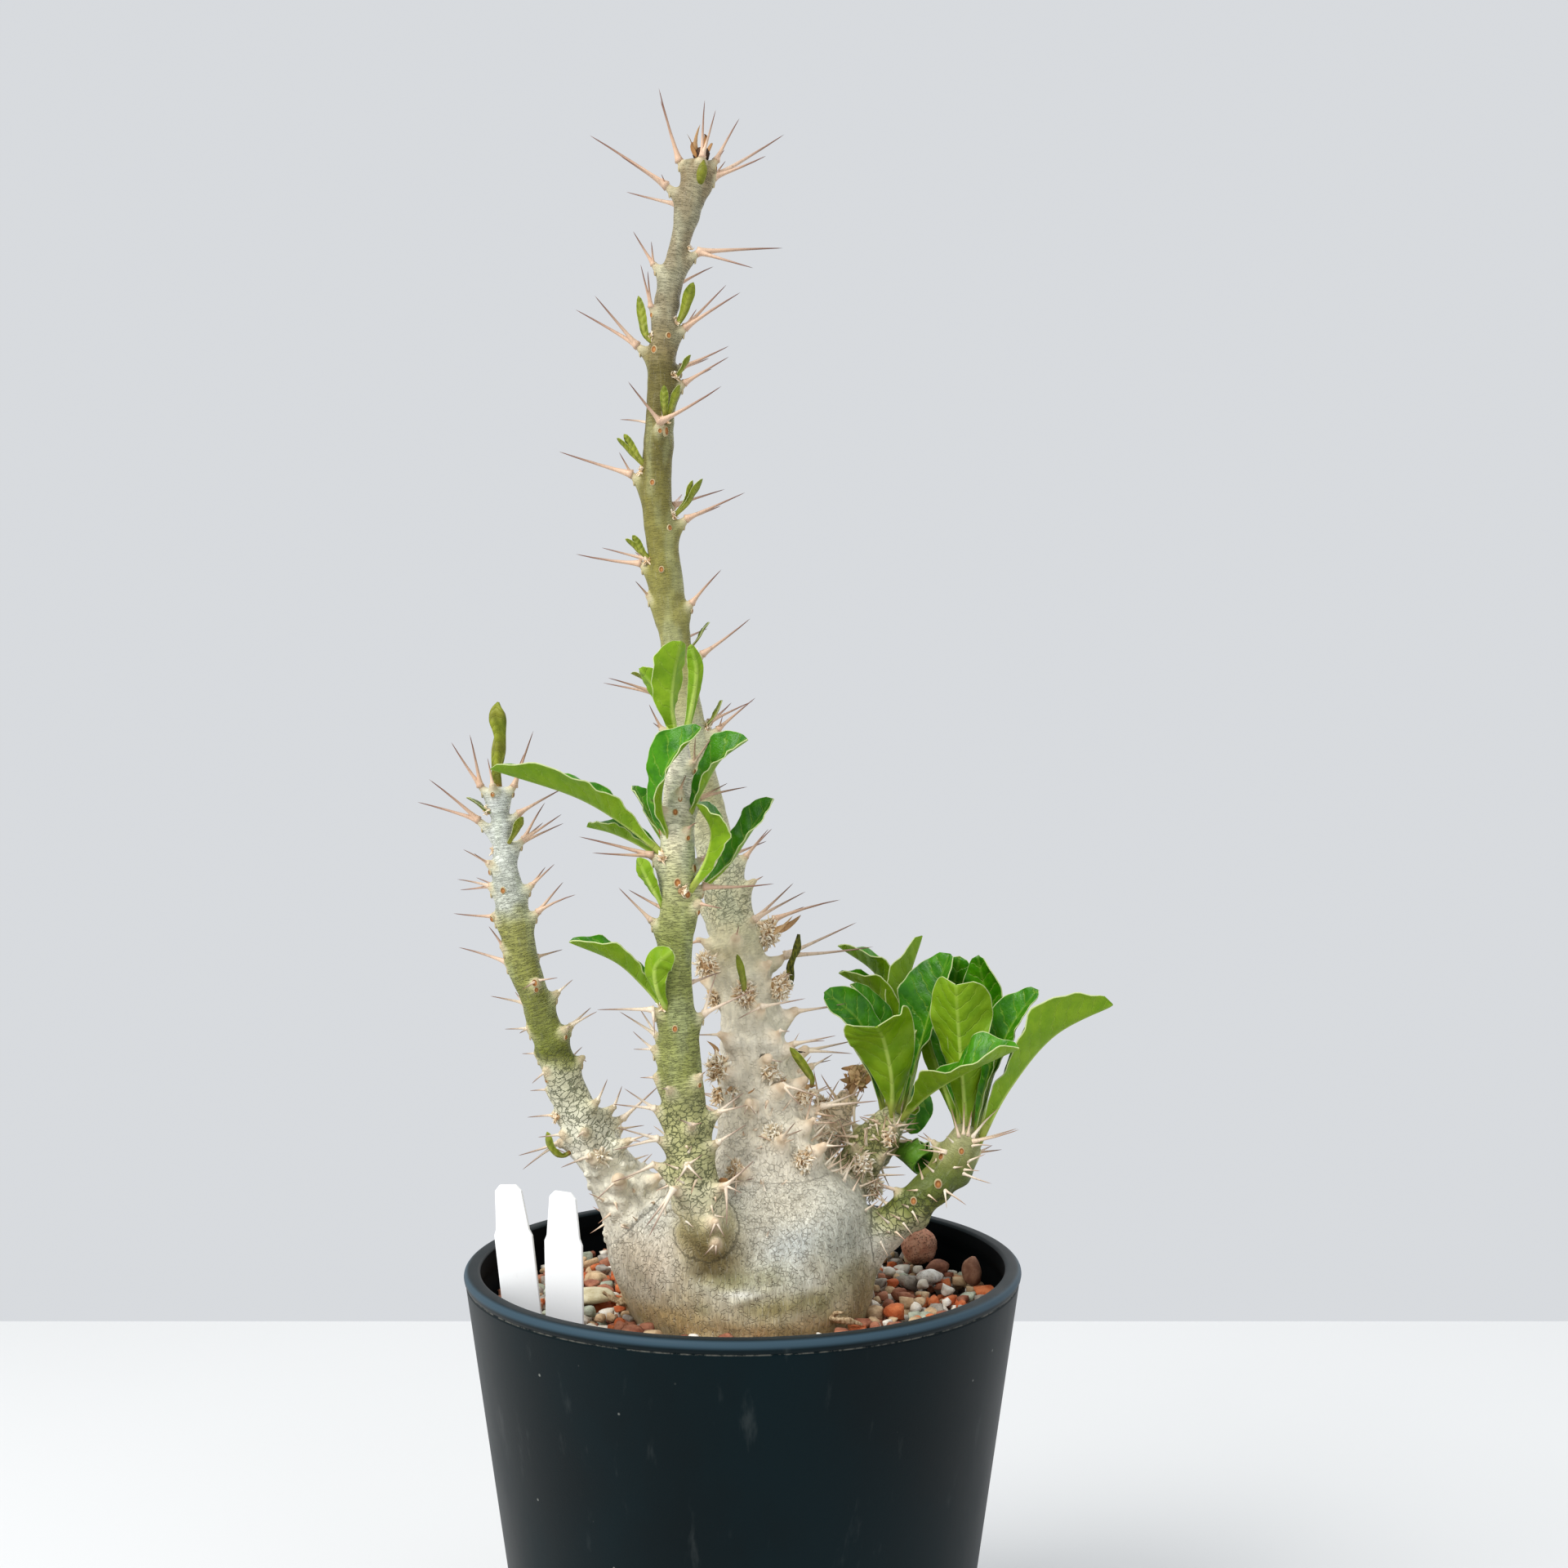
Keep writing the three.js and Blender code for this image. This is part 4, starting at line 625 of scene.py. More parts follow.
# Colours down each stem: height, then red, green and blue
barkColours = {
    "caudex": [
        [119, 160, 134, 92], [128, 184, 162, 118], [132, 204, 190, 152], [137, 216, 208, 182],
        [144, 226, 226, 212], [168, 222, 218, 202],
    ],
    "leader": [
        [160, 222, 214, 194], [200, 224, 216, 196], [216, 220, 212, 186], [224, 208, 199, 164],
        [234, 204, 198, 160], [250, 202, 200, 166], [266, 176, 170, 124], [284, 186, 182, 146],
        [300, 154, 150, 92], [330, 124, 118, 50], [360, 106, 98, 40], [380, 98, 88, 34],
        [388, 126, 112, 72], [396, 142, 132, 102], [425, 138, 126, 96], [440, 126, 108, 74],
    ],
    "middle": [
        # Its lowest rows, at 143 and 150, are a painted dark olive-brown shadow under the nose
        [143, 118, 102, 58], [150, 140, 124, 76], [156, 176, 164, 118], [162, 210, 202, 168],
        [167, 206, 202, 164], [172, 176, 174, 124], [188, 152, 152, 98], [194, 142, 147, 80],
        [230, 140, 147, 75], [246, 176, 176, 128], [256, 222, 214, 182], [280, 230, 224, 206],
    ],
    "left": [
        [142, 230, 222, 202], [170, 226, 222, 202], [177, 214, 212, 190], [192, 190, 188, 154],
        [198, 102, 108, 24], [204, 118, 124, 48], [231, 142, 142, 74], [237, 192, 196, 182],
        [267, 208, 212, 206],
    ],
    "right": [
        [138, 226, 222, 204], [148, 216, 212, 190], [153, 160, 160, 108], [158, 88, 98, 28],
        [164, 84, 98, 26], [168, 116, 122, 56], [172, 140, 142, 86], [176, 158, 156, 112],
    ],
    "side": [
        [150, 216, 208, 186], [160, 186, 178, 142], [168, 140, 138, 86], [174, 150, 152, 90],
        [178, 186, 184, 140],
    ],
    "stub": [[160, 236, 226, 206], [175, 232, 214, 188], [182, 224, 200, 164]],
}
# How strong wrinkles, cracks and upright fibres are, down each stem
barkMarks = {
    "caudex": [[119, 0, 0, 1], [168, 0, 0, 1]],
    "leader": [
        [160, 0, 0, 0.8], [200, 0.1, 0, 0.35], [228, 0.2, 0.1, 0.1], [234, 0.3, 0.65, 0],
        [247, 0.3, 0.55, 0], [256, 0.3, 0.25, 0], [300, 0.25, 0, 0], [380, 0.3, 0, 0], [392, 0.5, 0, 0],
        [440, 0.45, 0, 0],
    ],
    "middle": [
        [143, 0, 0.2, 0.5], [158, 0.1, 0.25, 0.3], [166, 0.1, 0.9, 0], [186, 0.3, 1, 0], [191, 1, 0.1, 0],
        [240, 1, 0, 0], [256, 0.6, 0, 0], [280, 0.5, 0, 0],
    ],
    "left": [
        [142, 0, 0, 0.7], [168, 0, 0.15, 0.2], [176, 0, 0.8, 0], [194, 0.2, 0.9, 0], [202, 0.6, 0.1, 0],
        [210, 1, 0, 0], [234, 1, 0.1, 0], [240, 0.6, 0.2, 0], [267, 0.5, 0, 0],
    ],
    "right": [
        [138, 0, 0, 0.8], [147, 0, 0.3, 0.3], [150, 0, 1, 0], [158, 0, 0.9, 0], [161, 0, 0.1, 0],
        [174, 0.2, 0.1, 0],
    ],
    "side": [[150, 0, 0.3, 0.5], [162, 0, 1, 0], [177, 0.1, 0.6, 0]],
    "stub": [[160, 0, 0.2, 0.5], [182, 0, 0.6, 0]],
}


def downStem(table, heights):
    table = np.array(table, float)
    return np.stack([np.interp(heights, table[:, 0], table[:, k]) for k in (1, 2, 3)], -1)


# For each point: colour, marks and its place on the stem as if that were straight, blended
# between neighbours by how near each one is
def barkOf(points):
    distances = [caudexDistance(points)]
    places = [points - np.array([1.0, -5.5, 0.0])]
    for stem in stems:
        along, here, away, over = stemNearest(stem, points)
        side = unit(np.array([1.0, 0, 0]) - here[:, 4:5] * here[:, 4:7])
        back = np.cross(here[:, 4:7], side)
        distances.append(np.linalg.norm(away, axis=1) - here[:, 3])
        up = along + stems[stem][0][2]
        places.append(np.stack([np.sum(away * side, 1), np.sum(away * back, 1), up], -1))
    distances = np.stack(distances, -1)
    names = ["caudex", *stems]
    owner = np.argmin(distances, axis=1)
    weight = np.exp(-(distances - distances.min(axis=1, keepdims=True)) / 1.6)
    weight /= weight.sum(axis=1, keepdims=True)
    colours = np.zeros((len(points), 3))
    marks = np.zeros((len(points), 3))
    heights = points[:, 2] + 2.5 * noiseAt(points, 0.14, 3) + 1.2 * noiseAt(points, 0.4, 4)
    for index, name in enumerate(names):
        colours += weight[:, index:index + 1] * downStem(barkColours[name], heights)
        marks += weight[:, index:index + 1] * downStem(barkMarks[name], points[:, 2])
    place = np.stack(places)[owner, np.arange(len(points))]
    return owner, place, colours, marks, weight


owner, barkPlace, barkTint, barkMark, ownWeight = barkOf(skin)

# How far up a leaf base's cone each point is, and how near its tip
coneShare = np.zeros(len(skin))
for base in tubercles:
    near = np.flatnonzero(np.abs(skin - base["top"]).max(axis=1) < 9 + base["wide"])
    line = base["top"] - base["foot"]
    share = np.clip((skin[near] - base["foot"]) @ line / (line @ line), 0, 1)
    closeness = fall(tubercleDistance(base, skin[near]), 0.2, 1.1)
    sunk = 1 - (np.linalg.norm(line) - base["wide"] * 0.4) / np.linalg.norm(line)
    coneShare[near] = np.maximum(coneShare[near], closeness * ease(share, 0.35 + 0.3 * sunk, 0.95))

# Relief: lumps, folds across the trunk, the nose under the middle stem and the creases round it
bodyCreases = [
    dict(start=(-17.0, 158.5), stop=(-9.2, 144.5), wide=1.3, deep=1.8),
    dict(start=(-9.2, 144.5), stop=(-3.0, 143.5), wide=2.2, deep=1.0),
    dict(start=(-2.0, 138.0), stop=(7.0, 141.0), wide=1.0, deep=-0.5),
]
onCaudex = ownWeight[:, 0]
onTrunk = ownWeight[:, 1] * fall(skin[:, 2], 224, 236)
relief = onCaudex * (0.55 * noiseAt(skin, 0.09, 1) + 0.22 * noiseAt(skin, 0.3, 2))
relief += onTrunk * (0.6 * noiseAt(skin * [0.6, 0.6, 1.6], 0.22, 6) + 0.3 * noiseAt(skin, 0.6, 7))
lobes = onCaudex * fall(skin[:, 0], -24, -12) * ease(skin[:, 2], 144, 152)
lobes += ownWeight[:, 3] * fall(skin[:, 2], 168, 180)
relief += lobes * 0.9 * ease(noiseAt(skin, 0.42, 17), 0.25, 0.6)
relief += (1 - onCaudex) * 0.12 * noiseAt(skin, 0.45, 8)
for crease in bodyCreases:
    start, stop = np.array(crease["start"]), np.array(crease["stop"])
    flat = skin[:, [0, 2]] - start
    share = np.clip(flat @ (stop - start) / np.sum((stop - start) ** 2), 0, 1)
    gap = np.linalg.norm(flat - share[:, None] * (stop - start), axis=1)
    relief -= crease["deep"] * np.exp(-(gap / crease["wide"]) ** 2) * (skin[:, 1] < -22)
skin = skin + skinNormals * relief[:, None]
skinNormals = normalsOf(skin, quads)

# Stains of the swollen base, seen from the front, the first two being painted shadow under the nose and in
# the crease below it: right, up, half width, half height, colour, strength
stainsAndNoseShadows = [
    (-7, 150.4, 8, 5, (132, 114, 70), 0.75), (-8.5, 145.2, 7, 1.8, (104, 90, 56), 0.8),
    (-2, 143.6, 7, 2.2, (142, 140, 94), 0.7), (8, 136.4, 8, 2.4, (150, 138, 84), 0.75),
    (18, 137.8, 8, 2.4, (158, 150, 98), 0.7), (27.5, 142.2, 5, 3.4, (150, 140, 92), 0.75),
    (-20, 133.6, 11, 2.6, (182, 150, 92), 0.7), (13, 151.5, 10, 6, (194, 200, 196), 0.7),
    (-23, 145.5, 8, 7.5, (190, 172, 148), 0.8), (0, 140.4, 4.6, 0.9, (236, 236, 228), 0.7),
    (-30, 148, 6, 10, (192, 176, 150), 0.7), (2, 155, 7, 5, (208, 200, 178), 0.5),
    (20, 146, 5, 4, (190, 180, 150), 0.6), (-18, 152, 6, 4, (218, 208, 190), 0.5),
    (31.4, 136, 4, 7, (128, 110, 66), 0.8), (4, 131, 30, 1.6, (166, 134, 84), 0.6),
    (-27, 158, 6, 5, (196, 204, 202), 0.7), (12, 160, 9, 5, (206, 196, 172), 0.6),
    (7, 144, 5, 3, (158, 154, 116), 0.6), (26, 150, 7, 7, (176, 178, 162), 0.75),
    (-14, 139, 6, 2.4, (160, 142, 104), 0.5), (16, 131.8, 3, 1.6, (224, 202, 158), 0.7),
]
# Orange-brown scars of fallen leaves: right, up and size
orangeScars = [
    (-20.6, 364.8, 1.5), (-15.4, 243.5, 1.3), (-11.5, 247.5, 1.3), (-21.6, 257, 1.2), (-16.6, 262, 1),
    (-62.6, 241, 1), (-53.4, 217, 1.2), (-66, 234, 1), (-16.5, 207, 1), (-13.4, 240.5, 1.2),
    (52.6, 170, 1.1), (57.8, 171.8, 1.1), (51.6, 163.2, 1.4), (45.2, 158.6, 1.2), (-8.5, 262, 1),
    (-24.5, 387, 1.2), (-19.6, 391, 1), (-25.5, 351, 1), (-19.5, 339, 1), (-23, 327, 1),
]

# Tints: cones cream to pink, moss and soil low on the base, and a painted dark olive-brown shadow under the
# nose
coneColours = dict(old=(238, 218, 190), young=(198, 192, 158), scar=(196, 166, 132))
oldCone, youngCone, scarBrown = [np.array(colour, float) for colour in coneColours.values()]
oldBelow = [240, 240, 184, 184, 160, 170, 240]  # for the base, then for each stem
age = np.array(oldBelow)[owner] - 10 - skin[:, 2]
age = ease(age, -15, 15)[:, None]
tint = barkTint + 7 * noiseAt(skin, 0.5, 9)[:, None] + 6 * noiseAt(skin, 0.16, 10)[:, None]
mossy = onCaudex * ease(noiseAt(skin, 0.13, 11), 0.0, 0.45) * np.exp(-((skin[:, 2] - 136) / 6) ** 2)
tint += 0.75 * mossy[:, None] * (np.array([150, 150, 92]) - tint)
# Painted shadow: the front of the skin under the middle stem's nose is tinted dark olive-brown
paintedNoseShadow = np.exp(-((skin[:, 0] + 6) / 7.5) ** 2 - ((skin[:, 2] - 148.5) / 6) ** 2) * (skin[:, 1] < -22)
tint += 0.88 * paintedNoseShadow[:, None] * (np.array([118, 102, 54]) - tint)
# Each tints the front of the base: the first two as painted shadow, the others as stains
for x, z, halfWidth, halfHeight, colour, strength in stainsAndNoseShadows:
    stray = 1 + 0.45 * noiseAt(skin, 0.22, 12) + 0.3 * noiseAt(skin, 0.6, 13)
    near = np.exp(-(((skin[:, 0] - x) / halfWidth) ** 2 + ((skin[:, 2] - z) / halfHeight) ** 2) * stray)
    near = near * strength * fall(skin[:, 1], -12, -2) * onCaudex
    tint += near[:, None] * (np.array(colour) - tint)
glaucous = (1 - onCaudex) * (1 - onTrunk) * ease(noiseAt(skin * [1, 1, 0.35], 0.35, 14), 0.0, 0.5)
glaucous *= ease(skin[:, 2], 186, 200)
tint += 0.3 * glaucous[:, None] * (np.array([178, 188, 162]) - tint)
tint *= 1 + 0.05 * noiseAt(skin, 0.9, 15)[:, None] + 0.06 * noiseAt(skin * [1, 1, 0.3], 1.4, 16)[:, None]
tint += (coneShare[:, None] ** 0.8) * 0.85 * (oldCone * age + youngCone * (1 - age) - tint)
tint += ease(coneShare, 0.8, 1.0)[:, None] * 0.4 * (scarBrown - tint)
tint = srgb(*np.clip(tint, 30, 252).T).T
marks = np.clip(barkMark * (1 - 0.8 * coneShare[:, None]), 0, 1)


# Bark: the tint, then broad mottling, dark specks, wrinkles across, cracks in a net and fibres
def barkMaterial():
    material, tree, surface = newMaterial("bark", 0.6, 0.4)
    place = attributeOf(tree, "barkPlace")
    colour = attributeOf(tree, "tint", "Color")
    parts = put(tree, "ShaderNodeSeparateColor", None, Color=attributeOf(tree, "marks", "Color")).outputs
    wrinkled, cracked, fibrous = parts[0], parts[1], parts[2]
    old = spread(tree, fibrous, 0.02, 0.3)
    mottle = grain(tree, stretched(tree, place, 1, 1, 0.7), 0.3, 4.0, 0.6)
    mottle = spread(tree, mottle, 0.3, 0.7, -0.11, 0.11)
    mottle = calc(tree, "ADD", times(tree, mottle, spread(tree, old, 0, 1, 0.4, 1.0)), 1.02)
    colour = mixed(tree, 1.0, colour, put(tree, "ShaderNodeCombineColor", None, Red=mottle, Green=mottle,
                                          Blue=mottle).outputs[0], "MULTIPLY")
    specks = spread(tree, grain(tree, place, 1.5, 5.0, 0.75), 0.62, 0.67)
    colour = mixed(tree, times(tree, specks, spread(tree, old, 0, 1, 0.1, 0.13)), colour, (116, 102, 76))
    flaky = cellular(tree, stretched(tree, place, 0.75, 0.75, 0.95), 1.0, "DISTANCE_TO_EDGE")
    flaky = times(tree, spread(tree, flaky, 0.09, 0.01), spread(tree, grain(tree, place, 0.6), 0.46, 0.56))
    flaky = times(tree, flaky, fibrous)
    colour = mixed(tree, times(tree, flaky, 0.22), colour, (132, 118, 88))
    pale = spread(tree, grain(tree, stretched(tree, place, 1.9, 1.9, 0.24), 1.1, 4.0, 0.6), 0.54, 0.75)
    colour = mixed(tree, times(tree, pale, spread(tree, old, 0, 1, 0.1, 0.36)), colour, (230, 228, 216))

    fibre = grain(tree, stretched(tree, place, 2.6, 2.6, 0.17), 1.0, 5.0, 0.72)
    fibreShade = times(tree, spread(tree, fibre, 0.44, 0.68), fibrous)
    colour = mixed(tree, times(tree, fibreShade, 0.36), colour, (156, 138, 104))

    wave = grain(tree, stretched(tree, place, 0.42, 0.42, 3.0), 1.0, 3.0, 0.6, 0.5)
    wrinkle = times(tree, spread(tree, wave, 0.5, 0.6), wrinkled)
    colour = mixed(tree, times(tree, wrinkle, 0.17), colour, (92, 94, 58))

    warp = times(tree, grain(tree, place, 0.5, 3.0, 0.6), 1.9)
    warp = put(tree, "ShaderNodeCombineXYZ", None, X=warp, Y=warp, Z=warp).outputs[0]
    bent = put(tree, "ShaderNodeVectorMath", {"operation": "ADD"}, at1=warp,
               at0=stretched(tree, place, 0.46, 0.46, 0.72)).outputs[0]
    net = cellular(tree, bent, 1.0, "DISTANCE_TO_EDGE")
    broken = spread(tree, grain(tree, place, 0.5, 2.0, 0.5), 0.32, 0.46)
    crack = times(tree, times(tree, spread(tree, net, 0.09, 0.025), cracked), broken)
    colour = mixed(tree, times(tree, crack, 0.85), colour, (70, 78, 40))
    tree.links.new(colour, surface.inputs["Base Color"])
    fine = grain(tree, place, 3.0, 4.0, 0.7)
    height = times(tree, fine, 0.2)
    for part, amount in ((fibreShade, -0.25), (flaky, -0.8), (wrinkle, -0.8), (crack, -1.2)):
        height = calc(tree, "ADD", height, times(tree, part, amount))
    bump(tree, surface, height, 0.00045, 1.0)
    tree.links.new(spread(tree, mottle, 0.8, 1.1, 0.68, 0.48), surface.inputs["Roughness"])
    return material


# The skin is one surface, parted at a level so that each piece stays light, with the skin's own
# normals on both sides of the join and a fan closing each open end inside
def ringFans(points, faces):
    edges = np.concatenate([faces[:, [k, (k + 1) % 4]] for k in range(4)])
    pair = np.sort(edges, axis=1)
    keys = pair[:, 0] * len(points) + pair[:, 1]
    order, first, counts = np.unique(keys, return_index=True, return_counts=True)
    follow = {int(a): int(b) for a, b in edges[first[counts == 1]]}
    extra, fans = [], []
    while follow:
        start, ring = next(iter(follow)), []
        here = start
        while here in follow:
            ring.append(here)
            here = follow.pop(here)
        inward = points[ring].mean(axis=0)
        inward[2] += 2.0 if points[:, 2].mean() > inward[2] else -2.0
        middle = len(points) + len(extra)
        extra.append(inward)
        fans += [(ring[(k + 1) % len(ring)], ring[k], middle) for k in range(len(ring))]
    return np.array(extra).reshape(-1, 3), np.array(fans).reshape(-1, 3)


bark = barkMaterial()
below = skin[quads][:, :, 2].mean(axis=1) < plantBody["split"]
for name, chosen in (("plant_base", below), ("plant_stems", ~below)):
    used, faces = np.unique(quads[chosen], return_inverse=True)
    faces = faces.reshape(-1, 4)
    extra, fans = ringFans(skin[used], faces)
    rows = np.concatenate([used, np.repeat(used[:1], len(extra))])
    points = np.concatenate([skin[used], extra])
    looks = {"barkPlace": barkPlace[rows], "tint": rgba(tint[rows]), "marks": rgba(marks[rows])}
    piece = makePiece(name, points, [faces, fans], [bark], normals=skinNormals[rows],
                      attributes=looks)
    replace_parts(piece, "kudu_lily_body")
    print(name, len(faces) * 2 + len(fans), "triangles")


# Slim tapering needles: start, direction, length, radius, bend and tone for each
def needlePiece(name, starts, runs, radii, bends, tones, material, sides=6, flare=0.9, flat=1.0,
                stations=(0, 0.05, 0.12, 0.22, 0.45, 0.75, 0.93), fade=0.07, spins=0.0):
    count = len(starts)
    share = np.array(stations)
    lengths = np.linalg.norm(runs, axis=1)
    along = runs / lengths[:, None]
    level = unit(np.cross(along, np.where(np.abs(along[:, 2:3]) > 0.9, [[1.0, 0, 0]], [[0, 0, 1.0]])))
    spins = np.radians(spins) * np.ones((count, 1))
    level = level * np.cos(spins) + np.cross(along, level) * np.sin(spins)
    upright = np.cross(along, level)
    spine = starts[:, None] + runs[:, None] * share[None, :, None]
    spine = spine + bends[:, None] * (share**2 - share)[None, :, None]
    width = radii[:, None] * ((1 - share) ** 0.75 * 0.92 + 0.08 + flare * np.exp(-share / fade))[None]
    turn = turnsOf(sides)
    ring = level[:, None, None] * np.cos(turn)[None, None, :, None]
    ring = ring + flat * upright[:, None, None] * np.sin(turn)[None, None, :, None]
    body = spine[:, :, None] + width[:, :, None, None] * ring
    tips, roots = starts + runs, starts - along * 0.3
    points = np.concatenate([body.reshape(count, -1, 3), tips[:, None], roots[:, None]], 1)
    total = len(share) * sides
    size = total + 2
    ends = np.concatenate([fan(total - sides, sides, total), fan(0, sides, total + 1, True)])
    faces = [repeated(ringFaces(len(share), sides), count, size), repeated(ends, count, size)]
    shares = np.concatenate([np.repeat(share, sides), [1, 0]])
    look = np.stack([np.repeat(tones, size), np.tile(shares, count), np.zeros(count * size)], -1)
    return makePiece(name, points.reshape(-1, 3), faces, [material], attributes={"look": look})


# Horn-like finish whose colour goes from root to tip, and with each needle's tone
def needleMaterial(name, rootOld, rootYoung, tipOld, tipYoung, roughness):
    material, tree, surface = newMaterial(name, roughness, 0.45)
    look = partsOf(tree, attributeOf(tree, "look"))
    root = mixed(tree, look[0], rootOld, rootYoung)
    tip = mixed(tree, look[0], tipOld, tipYoung)
    colour = mixed(tree, spread(tree, look[1], 0.1, 0.95), root, tip)
    streak = grain(tree, stretched(tree, objectPlace(tree), 1400, 1400, 500), 1.0, 3.0, 0.6)
    colour = mixed(tree, times(tree, spread(tree, streak, 0.5, 0.75), 0.35), colour, (112, 84, 72))
    tree.links.new(colour, surface.inputs["Base Color"])
    bump(tree, surface, streak, 0.0001, 0.5)
    return material


spineSizes = dict(thick=0.6, slimmest=0.34, bend=0.05)
starts, runs, radii, bends, tones = [], [], [], [], []
spineDraw = np.random.default_rng(31)
for base in tubercles:
    for run in base["runs"]:
        length = np.linalg.norm(run)
        starts.append(base["top"] - 0.2 * unit(run))
        runs.append(run + 0.2 * unit(run))
        radii.append(np.clip(0.26 + 0.016 * length, spineSizes["slimmest"], spineSizes["thick"]))
        bends.append(spineDraw.normal(0, spineSizes["bend"], 3) * length)
        young = float(ease(base["height"], 195, 245)) if base["stem"] != "right" else 0.5
        tones.append(np.clip(young + spineDraw.normal(0, 0.15), 0, 1))
spineHorn = needleMaterial("spine horn", (238, 222, 198), (208, 174, 146), (132, 102, 86),
                           (108, 68, 54), 0.45)
spines = needlePiece("spines", np.array(starts), np.array(runs), np.array(radii), np.array(bends),
                     np.array(tones), spineHorn, flare=1.5, fade=0.1)
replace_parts(spines, "kudu_lily_body")
print("spines:", len(starts))


# Where the skin is seen from the front at a place across and up: its foremost near point
def frontOf(x, z, beyond=-60.0):
    away = (skin[:, 0] - x) ** 2 + (skin[:, 2] - z) ** 2 + 900 * (skin[:, 1] < beyond)
    near = np.flatnonzero(away < away.min() + 0.6)
    best = near[np.argmin(skin[near, 1])]
    return skin[best], skinNormals[best]


# Where a line through a point meets the skin, by steps along it
def onSkin(point, outward, start, stop, step):
    walk = point + np.arange(start, stop, step)[:, None] * outward
    return walk[np.argmin(np.abs(bodyField(walk)))]


# Spines that stand loose of the spiral on the right stem: right and up of the root, then the run
looseSpines = [
    [61.8, 175.4, 7, -2, 8.3], [61.6, 173.6, 12.2, -3, 3.7], [61.6, 173.2, 12.4, 2, 3.1],
    [61.5, 172, 5, -2, 0.4], [60.8, 168, 4.6, -2, 2.4], [60.4, 167, 1.1, -3, -1.1],
    [59.8, 165.8, 4.1, -2, 0], [59.6, 164.9, 7.6, -2, -2.4], [55.4, 173.8, -2.2, -2, 2.2],
    [53.8, 171.6, -6.5, -2, 2.2], [53.6, 171.2, -7.6, -3, 1.5], [52, 170.2, -0.4, -2, 2.8],
    [51, 169, -1.5, -3, -0.4], [57, 175.4, -2.4, -2, 8.3], [58.4, 176.2, 0.4, 2, 8.3],
    [60.4, 175.8, 0.7, -3, 7.2], [54.4, 160.2, 5.7, -2, -3.7], [54, 160, 0.2, -4, -4.1],
    [47.6, 164, -1.5, -2, 4.8], [46, 161.2, -3.1, -2, 0.4], [49, 159.6, 2, -4, -1], [44, 157, -2, -3, 1.5],
    [46, 155, 1.5, -3, -2.5], [41, 153.5, -3, -3, 2], [43, 151.5, 2.5, -2, -3], [39, 149, -1, -4, 1],
    [37.5, 147.5, 2, -2, -3.5], [41.5, 149.2, 2.6, -3, -2], [50.5, 166, -3, -2, 3], [56.5, 166.5, 2, -4, 1],
    [38.2, 152.4, -3.5, -2, 3.5],
]
thicketDraw = np.random.default_rng(52)


# Many fine spines of one stretch of a stem: thrown over the skin near its axis
def thicket(centre, spread, count, length, out, lift):
    box = np.abs(skin - centre) / spread
    near = np.flatnonzero((box.max(axis=1) < 1) & (skinNormals[:, 1] < 0.75))
    picks = thicketDraw.choice(near, count)
    lengths = length * thicketDraw.uniform(0.5, 1.0, (count, 1))
    aim = out * skinNormals[picks] + thicketDraw.normal(0, 0.5, (count, 3)) + [0, -0.15, lift]
    return skin[picks] - 0.3 * skinNormals[picks], unit(aim) * lengths


thickets = [
    dict(centre=[31, 2, 163], spread=[8, 12, 11], count=48, length=8.5, out=0.9, lift=0.1),
    dict(centre=[39, 3, 174], spread=[6, 9, 5], count=34, length=6.5, out=0.9, lift=0.2),
    dict(centre=[22, -6, 176], spread=[6, 11, 10], count=18, length=9, out=0.8, lift=0.2),
    dict(centre=[27, 12, 178], spread=[7, 8, 7], count=14, length=12, out=0.6, lift=0.7),
    dict(centre=[-28, -14, 160], spread=[9, 10, 10], count=16, length=7, out=0.9, lift=0.1),
    dict(centre=[-12, -34, 170], spread=[8, 8, 12], count=14, length=6, out=0.9, lift=-0.1),
    dict(centre=[0, -4, 160], spread=[12, 30, 8], count=5, length=4, out=0.9, lift=0),
    dict(centre=[6, 8, 185], spread=[16, 12, 16], count=22, length=8, out=0.9, lift=0.1),
    dict(centre=[3, -12, 178], spread=[13, 12, 16], count=26, length=6, out=0.8, lift=0),
]
starts, runs = [], []
for x, z, *run in looseSpines:
    place, normal = frontOf(x, z)
    starts.append(place - 0.3 * normal)
    runs.append(run)
starts, runs = [np.array(starts)], [np.array(runs, float)]
for setting in thickets:
    place, run = thicket(**setting)
    starts.append(place)
    runs.append(run)
starts, runs = np.concatenate(starts), np.concatenate(runs)
count = len(starts)
lengths = np.linalg.norm(runs, axis=1)
fineHorn = needleMaterial("fine spines", (248, 238, 218), (238, 212, 182), (196, 170, 144),
                          (164, 118, 94), 0.5)
radii = np.clip(0.2 + 0.022 * lengths, 0.25, 0.42)
bends = thicketDraw.normal(0, 0.06, (count, 3)) * lengths[:, None]
tones = thicketDraw.uniform(0, 1, count)
finePiece = needlePiece("fine_spines", starts, runs, radii, bends, tones, fineHorn, sides=5,
                        stations=(0, 0.12, 0.5, 0.88))
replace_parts(finePiece, "kudu_lily_body")

